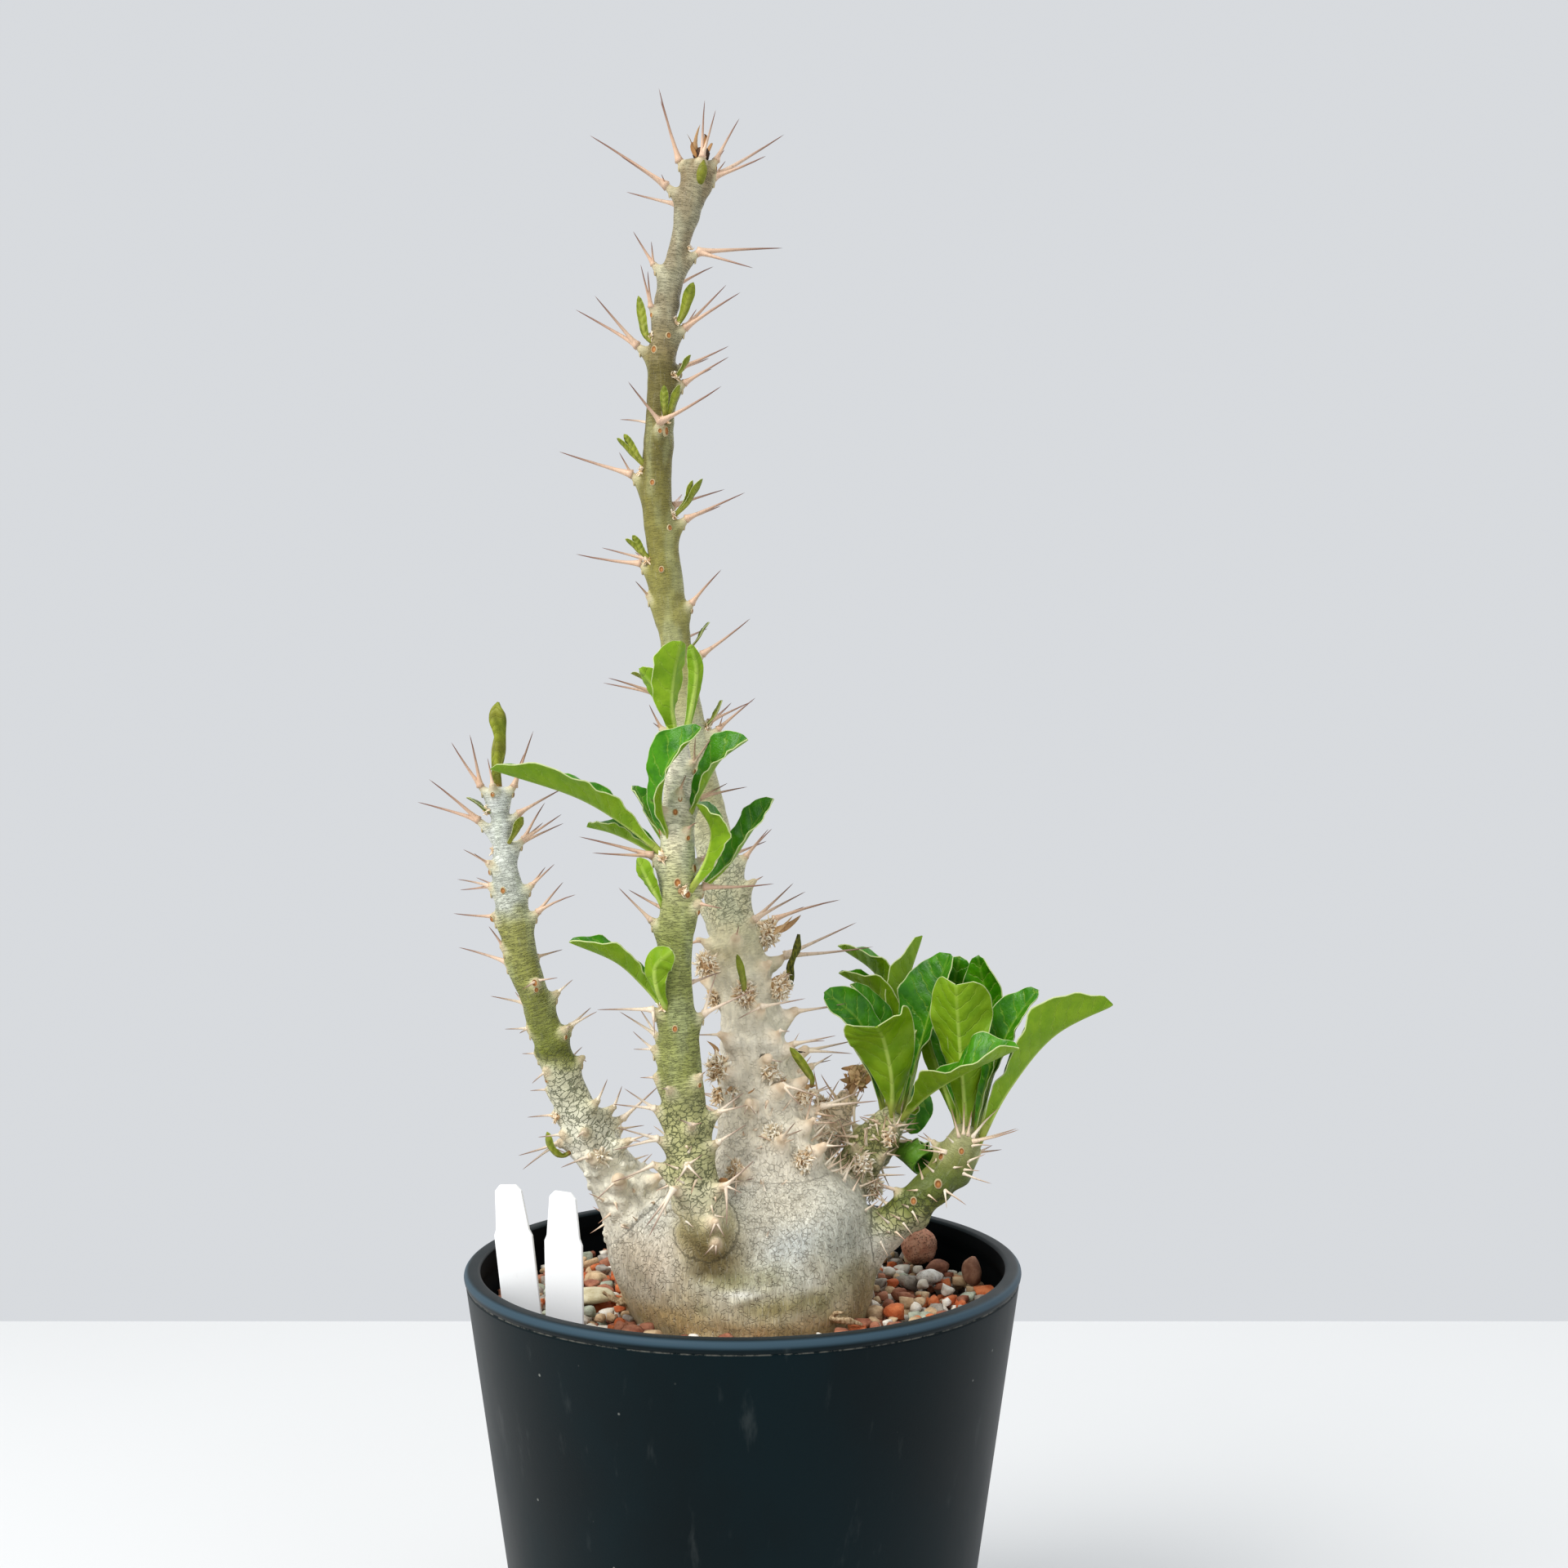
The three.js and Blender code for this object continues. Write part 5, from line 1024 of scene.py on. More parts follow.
# Tufts of dry scales where shoots have slept: right, up, half width, half height, count, tone
tufts = [
    [7.6, 228, 3.6, 4, 90, 0.4], [0.4, 212.9, 2.8, 3.6, 80, 0.35], [12.3, 212.4, 3.2, 3.8, 84, 0.3],
    [-9.6, 220.6, 3, 3.6, 70, 0.35], [-8.4, 209.6, 1.9, 2.6, 40, 0.25], [-8.1, 194.2, 3, 4, 76, 0.45],
    [7.7, 192.2, 2.6, 2.4, 50, 0.5], [7.7, 177.4, 2.3, 2.3, 54, 0.85], [16, 170.6, 2.2, 3, 60, 0.4],
    [-2.9, 186.5, 1.3, 1.2, 22, 0.95], [-7.2, 185, 1.7, 2.4, 34, 0.1], [-1, 168.6, 1.8, 2.2, 34, 0.1],
    [-0.6, 160.6, 1.4, 2.4, 26, 0.3], [9.9, 163.2, 1.5, 1.8, 34, 0.95], [16.5, 186, 3, 2.4, 46, 0.4],
    [24, 171, 2.2, 2.4, 22, 0.9], [36, 158, 2.4, 3.4, 44, 0.5], [32.5, 165, 2.4, 3, 44, 0.7],
    [28, 171, 2, 2.4, 20, 0.9], [39, 172, 1.6, 2, 24, 0.4], [-36.5, 172, 1.6, 1.6, 22, 0.7],
    [-3.5, 167, 1.2, 1.2, 14, 0.9], [22, 180, 2.2, 2.4, 34, 0.3],
]
# Small scaly buds under the leaves of the stems: right, back, up, radius and which way they look
budFeet = [
    [-21.6, -0.5, 368.2, 1.7, [0.1, -0.8, 0.6]], [-28, 3.2, 354.8, 1.4, [-0.8, -0.2, 0.6]],
    [-18.6, 3.6, 342.8, 1.5, [0.8, -0.2, 0.6]], [-26.2, 4, 330.6, 1.5, [-0.8, -0.2, 0.6]],
    [-14.6, 5.2, 305.8, 1.2, [0.8, -0.2, 0.6]], [-21.6, 5.5, 293.8, 1.4, [-0.8, -0.2, 0.5]],
    [-10.8, 5.4, 284.2, 1.3, [0.7, -0.3, 0.6]], [-18.8, 1, 394.6, 1, [0.7, -0.4, 0.6]],
    [-25, 0.8, 390.6, 1, [-0.7, -0.4, 0.6]], [-19.8, 1.6, 379.4, 1, [0.7, -0.4, 0.6]],
    [-14.4, -31.2, 242.4, 1.5, [0.5, -0.7, 0.5]], [-19.6, -28.4, 249.8, 1.6, [-0.7, -0.5, 0.5]],
    [-19.4, -29.4, 211.2, 1.3, [-0.7, -0.5, 0.5]], [-64.6, -18.6, 261, 1, [-0.8, -0.3, 0.4]],
    [-61, -19.8, 253.6, 1, [0.7, -0.4, 0.4]], [-16.6, 1.8, 414.4, 0.9, [0.8, -0.3, 0.5]],
    [-46.4, -16, 180.6, 1.2, [-0.8, -0.4, 0.4]], [11, -8.4, 189.4, 1.3, [0.6, -0.7, 0.4]],
]
scaleDraw = np.random.default_rng(64)
starts, runs, radii, tones, lumps = [], [], [], [], []


def scaleTuft(centre, outward, wide, tall, count, tone, length):
    side = unit(np.cross(outward, [0.05, 0.02, 1.0]))
    raised = np.cross(side, outward)
    turn = scaleDraw.uniform(0, 2 * math.pi, count)
    out = np.sqrt(scaleDraw.uniform(0, 1, count))
    direction = (np.cos(turn) * out)[:, None] * side + (np.sin(turn) * out)[:, None] * raised
    dome = np.sqrt(1 - 0.85 * out**2)[:, None] * outward
    size = np.array([wide, tall])
    place = (np.cos(turn) * out * size[0])[:, None] * side + (np.sin(turn) * out * size[1])[:, None] * raised
    starts.append(centre + 0.82 * place + 0.42 * min(wide, tall) * dome)
    aim = unit(direction * 0.7 + dome * 0.6 + scaleDraw.normal(0, 0.75, (count, 3)))
    runs.append(aim * length * scaleDraw.uniform(0.5, 1.1, (count, 1)))
    radii.append(scaleDraw.uniform(0.4, 0.8, count) * min(1, 0.4 + wide / 3))
    tones.append(np.clip(tone + scaleDraw.normal(0, 0.28, count), 0, 1))
    if tone < 0.9:
        lumps.append((centre, outward, side, raised, wide, tall))


for x, z, wide, tall, count, tone in tufts:
    place, normal = frontOf(x, z, beyond=-22)
    outward = unit(0.5 * normal + [0.25 * np.sign(normal[0]) * (abs(normal[0]) > 0.6), -0.6, 0.05])
    scaleTuft(place, outward, 1.05 * wide, 1.02 * tall, int(1.7 * count), tone + 0.25, 2.4)
for x, y, z, radius, outward in budFeet:
    outward = unit(np.array(outward, float))
    place = onSkin(np.array([x, y, z]), outward, -5, 7, 0.25)
    scaleTuft(place - 0.4 * outward, outward, radius, radius, 22, 0.4, 1.7)
starts, runs, radii, tones = [np.concatenate(part) for part in (starts, runs, radii, tones)]
scaleHorn = needleMaterial("dry scales", (206, 164, 112), (244, 230, 200), (236, 212, 172),
                           (255, 252, 240), 0.7)
bends = scaleDraw.normal(0, 1.5, runs.shape)
spins = scaleDraw.uniform(0, 180, (len(runs), 1))
scalePiece = needlePiece("bud_scales", starts, runs, radii, bends, tones, scaleHorn, sides=4, flare=0,
                         flat=0.3, stations=(0, 0.3, 0.6, 0.86), spins=spins)
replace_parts(scalePiece, "kudu_lily_body")


def icosphere(levels):
    shape = bmesh.new()
    bmesh.ops.create_icosphere(shape, subdivisions=levels, radius=1)
    shape.verts.ensure_lookup_table()
    points = np.array([v.co[:] for v in shape.verts])
    faces = np.array([[v.index for v in f.verts] for f in shape.faces])
    shape.free()
    return points, faces


def dryMaterial(name, dark, light):
    material, tree, surface = newMaterial(name, 0.75, 0.25)
    place = millimetres(tree)
    streak = grain(tree, stretched(tree, place, 1.6, 1.6, 0.7), 1.0, 4.0, 0.65)
    colour = mixed(tree, spread(tree, streak, 0.35, 0.68), dark, light)
    tree.links.new(colour, surface.inputs["Base Color"])
    bump(tree, surface, streak, 0.0004, 1.0)
    return material


# The hearts of the tufts: bumpy brown lumps sunk in the skin
ball, ballFaces = icosphere(2)
heartPoints = []
for index, (centre, outward, side, raised, wide, tall) in enumerate(lumps):
    swell = 0.85 + 0.2 * noiseAt(ball + index, 2.2, 60)
    body = ball * swell[:, None]
    heartPoints.append(centre + body[:, :1] * wide * side + body[:, 1:2] * tall * raised
                       + body[:, 2:] * 0.7 * min(wide, tall) * outward)
heartFaces = repeated(ballFaces, len(lumps), len(ball))
hearts = makePiece("bud_hearts", np.concatenate(heartPoints), [heartFaces],
                   [dryMaterial("bud hearts", (140, 102, 66), (206, 174, 130))])
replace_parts(hearts, "kudu_lily_body")
print("tufts:", len(lumps), "fine spines:", len(finePiece.data.vertices))

# Curled dry leaves left in the tufts: start (right, back, up), run, half width and tone
curls = [
    [8.8, -3.5, 229.4, 6.8, -2, 4.4, 1.3, 0.2], [8.2, -4, 228.6, 5.2, -2, 5, 1, 0.5],
    [-7.6, -6.5, 196, -2.2, -1, 4.2, 1, 0.2], [-6.6, -7, 195.6, 3.4, -1, -3.2, 0.9, 0.1],
    [15, -7, 187.4, 5, -1, 1, 1.1, 0.4], [1.5, -12.5, 187, 1.4, -2, 1.6, 0.7, 0.1],
    [-4.6, -10, 186.4, 1.8, -2, 1.8, 0.8, 0.3], [-3.4, -33, 168, -1.4, -3, 1.4, 1, 0],
    [-13.6, 0, 439.6, -1.8, -1, 6, 0.8, 0.1], [-12.2, -0.5, 439.6, 0.5, -1, 8.4, 0.9, 0.3],
    [-11.8, -1.4, 439.6, 0.9, -1.6, 5.2, 0.9, 0], [-10.8, 1, 439.6, 2.2, 0.5, 4.2, 0.8, 0.1],
    [-12.8, -2, 439, -0.6, -1.4, 3.6, 0.9, 0],
]
crumpled = dict(centre=(31.2, 13, 187), size=(4.6, 3.4, 4.2), count=70, length=4.4, width=1.5, seed=29)
curlDraw = np.random.default_rng(crumpled["seed"])
toward = unit(curlDraw.normal(0, 1, (crumpled["count"], 3)) + [0, -0.3, 0.4])
base = 0.7 * toward * crumpled["size"] * curlDraw.uniform(0.3, 1, (len(toward), 1)) + crumpled["centre"]
turned = unit(toward + curlDraw.normal(0, 0.9, toward.shape)) * crumpled["length"]
turned *= curlDraw.uniform(0.5, 1, (len(toward), 1))
table = np.array(curls)
starts = np.concatenate([table[:, :3], base - 0.3 * turned])
runs = np.concatenate([table[:, 3:6], turned])
radii = np.concatenate([table[:, 6], crumpled["width"] * curlDraw.uniform(0.6, 1.1, len(toward))])
tones = np.concatenate([table[:, 7], curlDraw.uniform(0, 1, len(toward))])
curlLook = needleMaterial("curled dry leaf", (172, 124, 70), (236, 206, 160), (116, 78, 40),
                          (240, 204, 150), 0.75)
bends = curlDraw.normal(0, 2.4, runs.shape)
spins = curlDraw.normal(80, 25, (len(runs), 1))
curlPiece = needlePiece("curled_dry_leaves", starts, runs, radii, bends, tones, curlLook, sides=8,
                        flare=-0.6, flat=0.22, stations=(0, 0.12, 0.3, 0.5, 0.7, 0.88), spins=spins)
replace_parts(curlPiece, "kudu_lily_body")

# Leaf scars: small brown dishes with a raised rim, where the old leaves have dropped
# as rings from the middle out, each by its radius and height in the scar's size
scarForm = dict(sides=12, rings=[(0, 0.16), (0.35, 0.1), (0.62, 0.22), (0.82, 0.4), (1, 0.3), (1.18, -0.25)])


def scarDish(centre, outward, size):
    side = unit(np.cross(outward, [0.03, 0.02, 1.0]))
    raised = np.cross(side, outward)
    turn = turnsOf(scarForm["sides"])
    ring = np.array(scarForm["rings"])
    oval = np.cos(turn)[:, None] * side + 1.25 * np.sin(turn)[:, None] * raised
    body = ring[:, 0, None, None] * size * oval[None] + ring[:, 1, None, None] * size * outward
    return (centre + body).reshape(-1, 3)


places = [frontOf(x, z) + (0.72 * size,) for x, z, size in orangeScars]
for base in tubercles:
    green = base["height"] > shoulders["turnsOld"][base["stem"]] + 8
    if green and base["stem"] in ("leader", "middle", "left") and base["outward"][1] < 0.5:
        spot = onSkin(base["top"] - base["outward"] * 0.9 - [0, 0, 2.3], base["outward"], -4, 4, 0.2)
        places.append((spot, unit(base["outward"] + [0, 0, -0.35]), 0.6))
sides = scarForm["sides"]
rows = len(scarForm["rings"])
dishes = repeated(ringFaces(rows, sides, True), len(places), rows * sides)
look = np.tile(np.repeat(np.array(scarForm["rings"])[:, 0], sides), len(places))
scarPoints = np.concatenate([scarDish(place, unit(np.asarray(out)), size) for place, out, size in places])
scarLook, tree, surface = newMaterial("leaf scar", 0.7, 0.2)
ring = partsOf(tree, attributeOf(tree, "look"))[0]
colour = mixed(tree, spread(tree, ring, 0.15, 0.6), (182, 126, 72), (146, 94, 48))
colour = mixed(tree, spread(tree, ring, 0.7, 0.95), colour, (178, 164, 126))
tree.links.new(colour, surface.inputs["Base Color"])
bump(tree, surface, grain(tree, millimetres(tree), 2.5), 0.0001, 0.6)
scars = makePiece("leaf_scars", scarPoints, [dishes], [scarLook],
                  attributes={"look": np.stack([look, look, look], -1)})
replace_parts(scars, "kudu_lily_body")


# Leaves: four points along the midrib (right, back, up), width, the way the upper face looks,
# fold of the halves in degrees, depth of the edge's waves as a share of the half width, and grade
leaves = {
    "side_leaf_1": [[40.5, 3, 178], [40, -3, 190], [37.5, -7, 201], [35.6, -12, 204.5],
        19, [0, 1, 0.3], 16, 0.2, "broad", {"lobe": 3.5, "fill": 0.55, "point": 0.1}],
    "side_leaf_2": [[38.5, 6, 178], [35, 2.5, 193], [31.5, 1, 204], [22, -1, 212.5],
        13, [0.25, -0.75, 0.6], 26, 0.22, "broad"],
    "side_leaf_3": [[40, 8, 178], [39, 11, 193], [36.5, 11, 204], [29.5, 9, 213.5],
        11, [0.65, -0.45, 0.6], 50, 0.12, "narrow"],
    "side_leaf_4": [[41, 9, 177], [42.5, 16, 195], [37, 18, 209], [26.5, 17, 216],
        14, [0.5, 0.15, 0.85], 50, 0.12, "narrow"],
    "side_leaf_5": [[41.5, 10, 177], [42, 21, 198], [38, 25, 214], [26.5, 24, 223],
        15, [0.5, 0.1, 0.85], 48, 0.12, "narrow"],
    "side_leaf_6": [[43.5, 8.5, 177], [48.5, 16, 194], [45.5, 19, 210], [50, 21, 226],
        16, [-0.9, 0.25, 0.2], 50, 0.1, "narrow"],
    "side_leaf_7": [[43.5, 6, 177], [48, 8, 193.5], [52.3, 8, 208.5], [57, 9, 222],
        20.5, [-0.8, -0.6, 0.2], 46, 0.12, "broad"],
    "side_leaf_8": [[43, 4, 177], [50, -8, 186.2], [58.5, -19, 193.6], [72, -23, 200.5],
        18.5, [-0.25, -0.15, 0.95], 50, 0.2, "broad"],
    "side_leaf_9": [[42, 5, 178], [44.5, 3, 188], [46, 1.5, 196.5], [47, 0.5, 202],
        6, [-0.9, -0.3, 0.1], 50, 0.1, "narrow"],
    "side_leaf_10": [[44, 8, 175], [46.5, 14, 181], [48.5, 17, 179.5], [46.8, 17, 170.5],
        9.5, [0.3, -0.8, 0.5], 20, 0.08, "narrow"],
    "side_leaf_11": [[38.5, 8, 169.5], [41.5, 8, 167], [44.5, 6.5, 164.8], [47.6, 3, 162.4],
        22, [0.4, -0.1, 0.9], 0, 0.06, "broad", {"roll": 160, "point": 0}],
    "right_leaf_1": [[60, -7, 174], [59, -7, 189], [57.8, -8, 203], [56.8, -11, 215.5],
        18.5, [0.39, 0.92, 0.1], 36, 0.2, "broad", {"lobe": 2.5, "fill": 0.6, "point": 0.15}],
    "right_leaf_2": [[60.5, -3, 174], [57.5, 9, 192], [57.5, 13, 207], [60, 12, 221],
        15.5, [-0.1, -0.9, 0.4], 25, 0.12, "broad"],
    "right_leaf_3": [[62, -3, 174], [65.5, 5, 192], [66.8, 6, 208], [64.2, 4, 222],
        12.5, [-0.5, -0.7, 0.4], 26, 0.14, "broad"],
    "right_leaf_4": [[63, -5, 174], [67, -5, 190], [72, -5, 203], [79.2, -7, 213.8],
        14, [-0.6, -0.55, 0.5], 48, 0.12, "broad"],
    "right_leaf_5": [[63, -8, 173], [71.5, -11, 189], [82.5, -13, 202.5], [97.5, -16, 211],
        22, [-0.6, 0.12, 0.75], 50, 0.12, "broad", {"twist": 45}],
    "right_leaf_6": [[59, -5, 174], [57, -1, 188], [54.5, -1, 200], [52, -3, 212],
        7, [0.9, -0.2, 0.2], 30, 0.14, "narrow"],
    "right_leaf_7": [[62.2, -6.5, 174], [64, -8.5, 184], [66, -9, 192], [67.5, -10, 200],
        5.5, [-0.8, -0.5, 0.2], 45, 0.1, "narrow"],
    "right_leaf_8": [[59, -4, 173], [56, 7, 183], [53, 12, 192], [49.5, 12, 203],
        7.5, [0.3, 0.8, 0.4], 25, 0.1, "narrow"],
    "middle_leaf_1": [[-19, -27, 250], [-30.5, -27, 259], [-41.5, -28, 265.5], [-64, -30, 273],
        17.5, [0.35, 0.04, 0.93], 52, 0.1, "broad"],
    "middle_leaf_2": [[-19, -24.5, 249], [-28, -21, 254], [-34, -20, 256.5], [-40.5, -19, 258],
        9.5, [0.4, -0.05, 0.9], 48, 0.1, "narrow"],
    "middle_leaf_3": [[-18.5, -24, 252], [-23.5, -21, 259], [-26, -20, 264], [-28.5, -18, 268.5],
        7.5, [0.7, -0.5, 0.5], 40, 0.1, "narrow"],
    "middle_leaf_4": [[-18, -28, 253], [-20.5, -33, 264], [-17.8, -36, 274.5], [-9.8, -38, 283.2],
        13.5, [-0.85, -0.5, 0.15], 48, 0.14, "broad"],
    "middle_leaf_5": [[-14, -27, 260], [-9.7, -30, 268], [-5.3, -31, 275.3], [1.7, -33, 280.4],
        12.5, [-0.75, -0.4, 0.4], 48, 0.12, "narrow"],
    "middle_leaf_6": [[-16, -26, 279], [-17.8, -29, 288], [-17.2, -30, 297], [-15.4, -31, 305.5],
        12.5, [-0.7, 0.75, 0.1], 42, 0.1, "broad"],
    "middle_leaf_7": [[-17, -24.5, 278], [-20.5, -20, 288], [-23.5, -17, 295], [-27, -16, 299.5],
        7, [0.5, 0.7, 0.4], 25, 0.1, "narrow"],
    "middle_leaf_8": [[-15, -24, 279], [-13, -20, 290], [-12, -19, 299], [-13.5, -19, 305.5],
        4.5, [-0.3, 0.9, 0.2], 25, 0.1, "narrow"],
    "middle_leaf_9": [[-13.2, -28.5, 241], [-8.3, -31, 251], [-7.4, -32, 257.5], [-11, -34, 264],
        14.5, [0.85, 0.1, 0.3], 42, 0.08, "narrow"],
    "middle_leaf_10": [[-12.5, -26, 240], [-3.6, -23, 248], [2.4, -23, 256.8], [8.2, -23, 265.2],
        11, [-0.7, -0.55, 0.4], 48, 0.1, "narrow"],
    "middle_leaf_11": [[-19, -28, 210.5], [-25, -29, 217.5], [-31.5, -31, 223.6], [-43.5, -33, 229],
        13.5, [0.45, 0.04, 0.88], 50, 0.1, "broad"],
    "middle_leaf_12": [[-18.5, -29, 210], [-21.2, -34, 217], [-21.4, -36, 223], [-17, -38, 227],
        8, [0.4, 1, 0.1], 32, 0.1, "narrow"],
    "middle_leaf_13": [[-19.5, -27, 236.5], [-22.5, -29.5, 242], [-24.5, -30, 246], [-26.5, -29, 250],
        5.5, [0.6, 0.8, 0.1], 20, 0.08, "narrow"],
    "left_leaf_2": [[-45, -15, 172], [-47.5, -16.5, 171], [-50.3, -17, 173], [-51.2, -17, 177.6],
        3.4, [0.5, 0.7, 0.4], 25, 0.1, "bud"],
    "left_leaf_3": [[-62.5, -18.5, 260], [-67, -19.5, 262], [-69.5, -19.5, 264], [-72, -19.5, 265.5],
        4.5, [0.3, 0, 0.9], 20, 0.05, "bud"],
    "left_leaf_4": [[-62, -19, 252], [-59, -21.5, 256], [-58, -22, 258], [-57, -22, 260.5],
        3.5, [-0.6, 0.5, 0.5], 20, 0.05, "bud"],
    "leader_leaf_1": [[-23, 1.5, 388], [-26.6, 0, 391], [-27.8, 0, 396], [-28.6, 0, 401.8],
        3.2, [0.55, 0.85, 0.1], 20, 0.05, "bud"],
    "leader_leaf_2": [[-20.5, 1.5, 391], [-16.6, 0, 396.5], [-15.0, -1, 401], [-13.6, -1, 405.2],
        3.4, [-0.4, 0.9, 0.2], 20, 0.05, "bud"],
    "leader_leaf_3": [[-20.5, 2, 378], [-17, 1, 381.5], [-15.8, 1, 383.5], [-14.5, 1, 386],
        3, [-0.7, 0.3, 0.5], 20, 0.08, "bud"],
    "leader_leaf_8": [[-16, 5.5, 305], [-12.5, 5, 309], [-11, 5, 311.5], [-9.5, 5, 313.5],
        3.5, [-0.6, -0.2, 0.7], 20, 0.08, "bud"],
    "leader_leaf_9": [[-19, 6, 293], [-25, 5.5, 296], [-28, 5, 298], [-31, 5, 299.5],
        4.5, [0.4, 0.2, 0.9], 20, 0.08, "bud"],
    "leader_leaf_10": [[-13, 6, 283], [-8.5, 5, 287], [-7, 5, 289.5], [-6, 4.5, 292],
        4, [-0.6, -0.3, 0.7], 20, 0.08, "bud"],
    "trunk_leaf_1": [[0.4, -3, 211], [0.2, -8.5, 215.5], [-0.4, -9.5, 219], [-1.5, -10, 223.6],
        2.2, [0, 1, 0.2], 30, 0, "bud"],
    "trunk_leaf_3": [[18.4, -8.5, 188.2], [18.2, -11.5, 190.6], [15.8, -13, 194.6], [12.6, -14, 199.4],
        3.0, [0.4, 0.9, 0.3], 22, 0.05, "bud"],
}
leafPairs = {
    "leader_leaf_4": [
        [[-21.5, 1, 367], [-21.3, -3.5, 370], [-21.4, -4.5, 373], [-21.3, -5, 376.4],
            2.6, [0.3, 1, 0.2], 25, 0.05, "bud"],
        [[-21.5, 1, 367], [-19.6, -3, 370], [-18.6, -3.5, 373], [-17.2, -4, 376.8],
            2.6, [-0.6, 0.7, 0.3], 25, 0.05, "bud"],
    ],
    "leader_leaf_5": [
        [[-24, 4, 353], [-29.6, 2.5, 358], [-32.4, 2, 361], [-34.6, 2, 363.5],
            2.8, [0.6, 0.4, 0.5], 20, 0.08, "bud"],
        [[-24, 4, 353], [-29, 1.5, 358.5], [-31, 1, 361.5], [-32.6, 1, 364.4],
            2.8, [0.6, 0.7, 0.2], 20, 0.08, "bud"],
    ],
    "leader_leaf_6": [
        [[-22, 5, 340], [-15.6, 3, 345.5], [-13.6, 2, 348.6], [-11.3, 2, 352.4],
            2.6, [-0.5, 0.5, 0.5], 20, 0.08, "bud"],
        [[-22, 5, 340], [-16, 3, 346], [-14.8, 2, 349], [-14, 1.5, 351.9],
            2.4, [-0.7, 0.5, 0.3], 20, 0.08, "bud"],
    ],
    "leader_leaf_7": [
        [[-21.5, 5, 328], [-28, 4, 332], [-30.2, 3.5, 334.2], [-32.4, 3.5, 336.2],
            2.6, [0.6, 0.5, 0.5], 20, 0.08, "bud"],
        [[-21.5, 5, 328], [-27.4, 3, 332], [-29, 2.5, 334.6], [-30.3, 2, 337],
            2.6, [0.5, 0.8, 0.2], 20, 0.08, "bud"],
    ],
}
leafForm = dict(widest=0.74, rise=1.3, thick=0.5, stalk=0.85, ridge=0.4, ripple=0.05)
leafGrids = {"broad": 44, "narrow": 34, "bud": 20}
leafPlaces = np.array([-1, -0.97, -0.88, -0.74, -0.56, -0.36, -0.16, 0,
                       0.16, 0.36, 0.56, 0.74, 0.88, 0.97, 1])


# Midrib through four points, as in the solids: each span's slopes come from the square roots
# of the distances between its neighbours
def midribOf(controls, shares):
    p = np.array(controls, float)
    p = np.concatenate([[2 * p[0] - p[1]], p, [2 * p[-1] - p[-2]]])
    spans = np.sqrt(np.linalg.norm(np.diff(p, axis=0), axis=1))
    at = np.clip(np.asarray(shares) * 3, 0, 2.999999)
    k = at.astype(int)
    t = (at - k)[:, None]
    p0, p1, p2, p3 = p[k], p[k + 1], p[k + 2], p[k + 3]
    d0, d1, d2 = spans[k][:, None], spans[k + 1][:, None], spans[k + 2][:, None]
    m1 = ((p1 - p0) / d0 - (p2 - p0) / (d0 + d1) + (p2 - p1) / d1) * d1
    m2 = ((p2 - p1) / d1 - (p3 - p1) / (d1 + d2) + (p3 - p2) / d2) * d1
    return between(t, 1, p1, m1, p2, m2)


def leafShape(share):
    widest, rise = leafForm["widest"], leafForm["rise"]
    drop = rise * (1 - widest) / widest
    return share**rise * (1 - share) ** drop / (widest**rise * (1 - widest) ** drop)


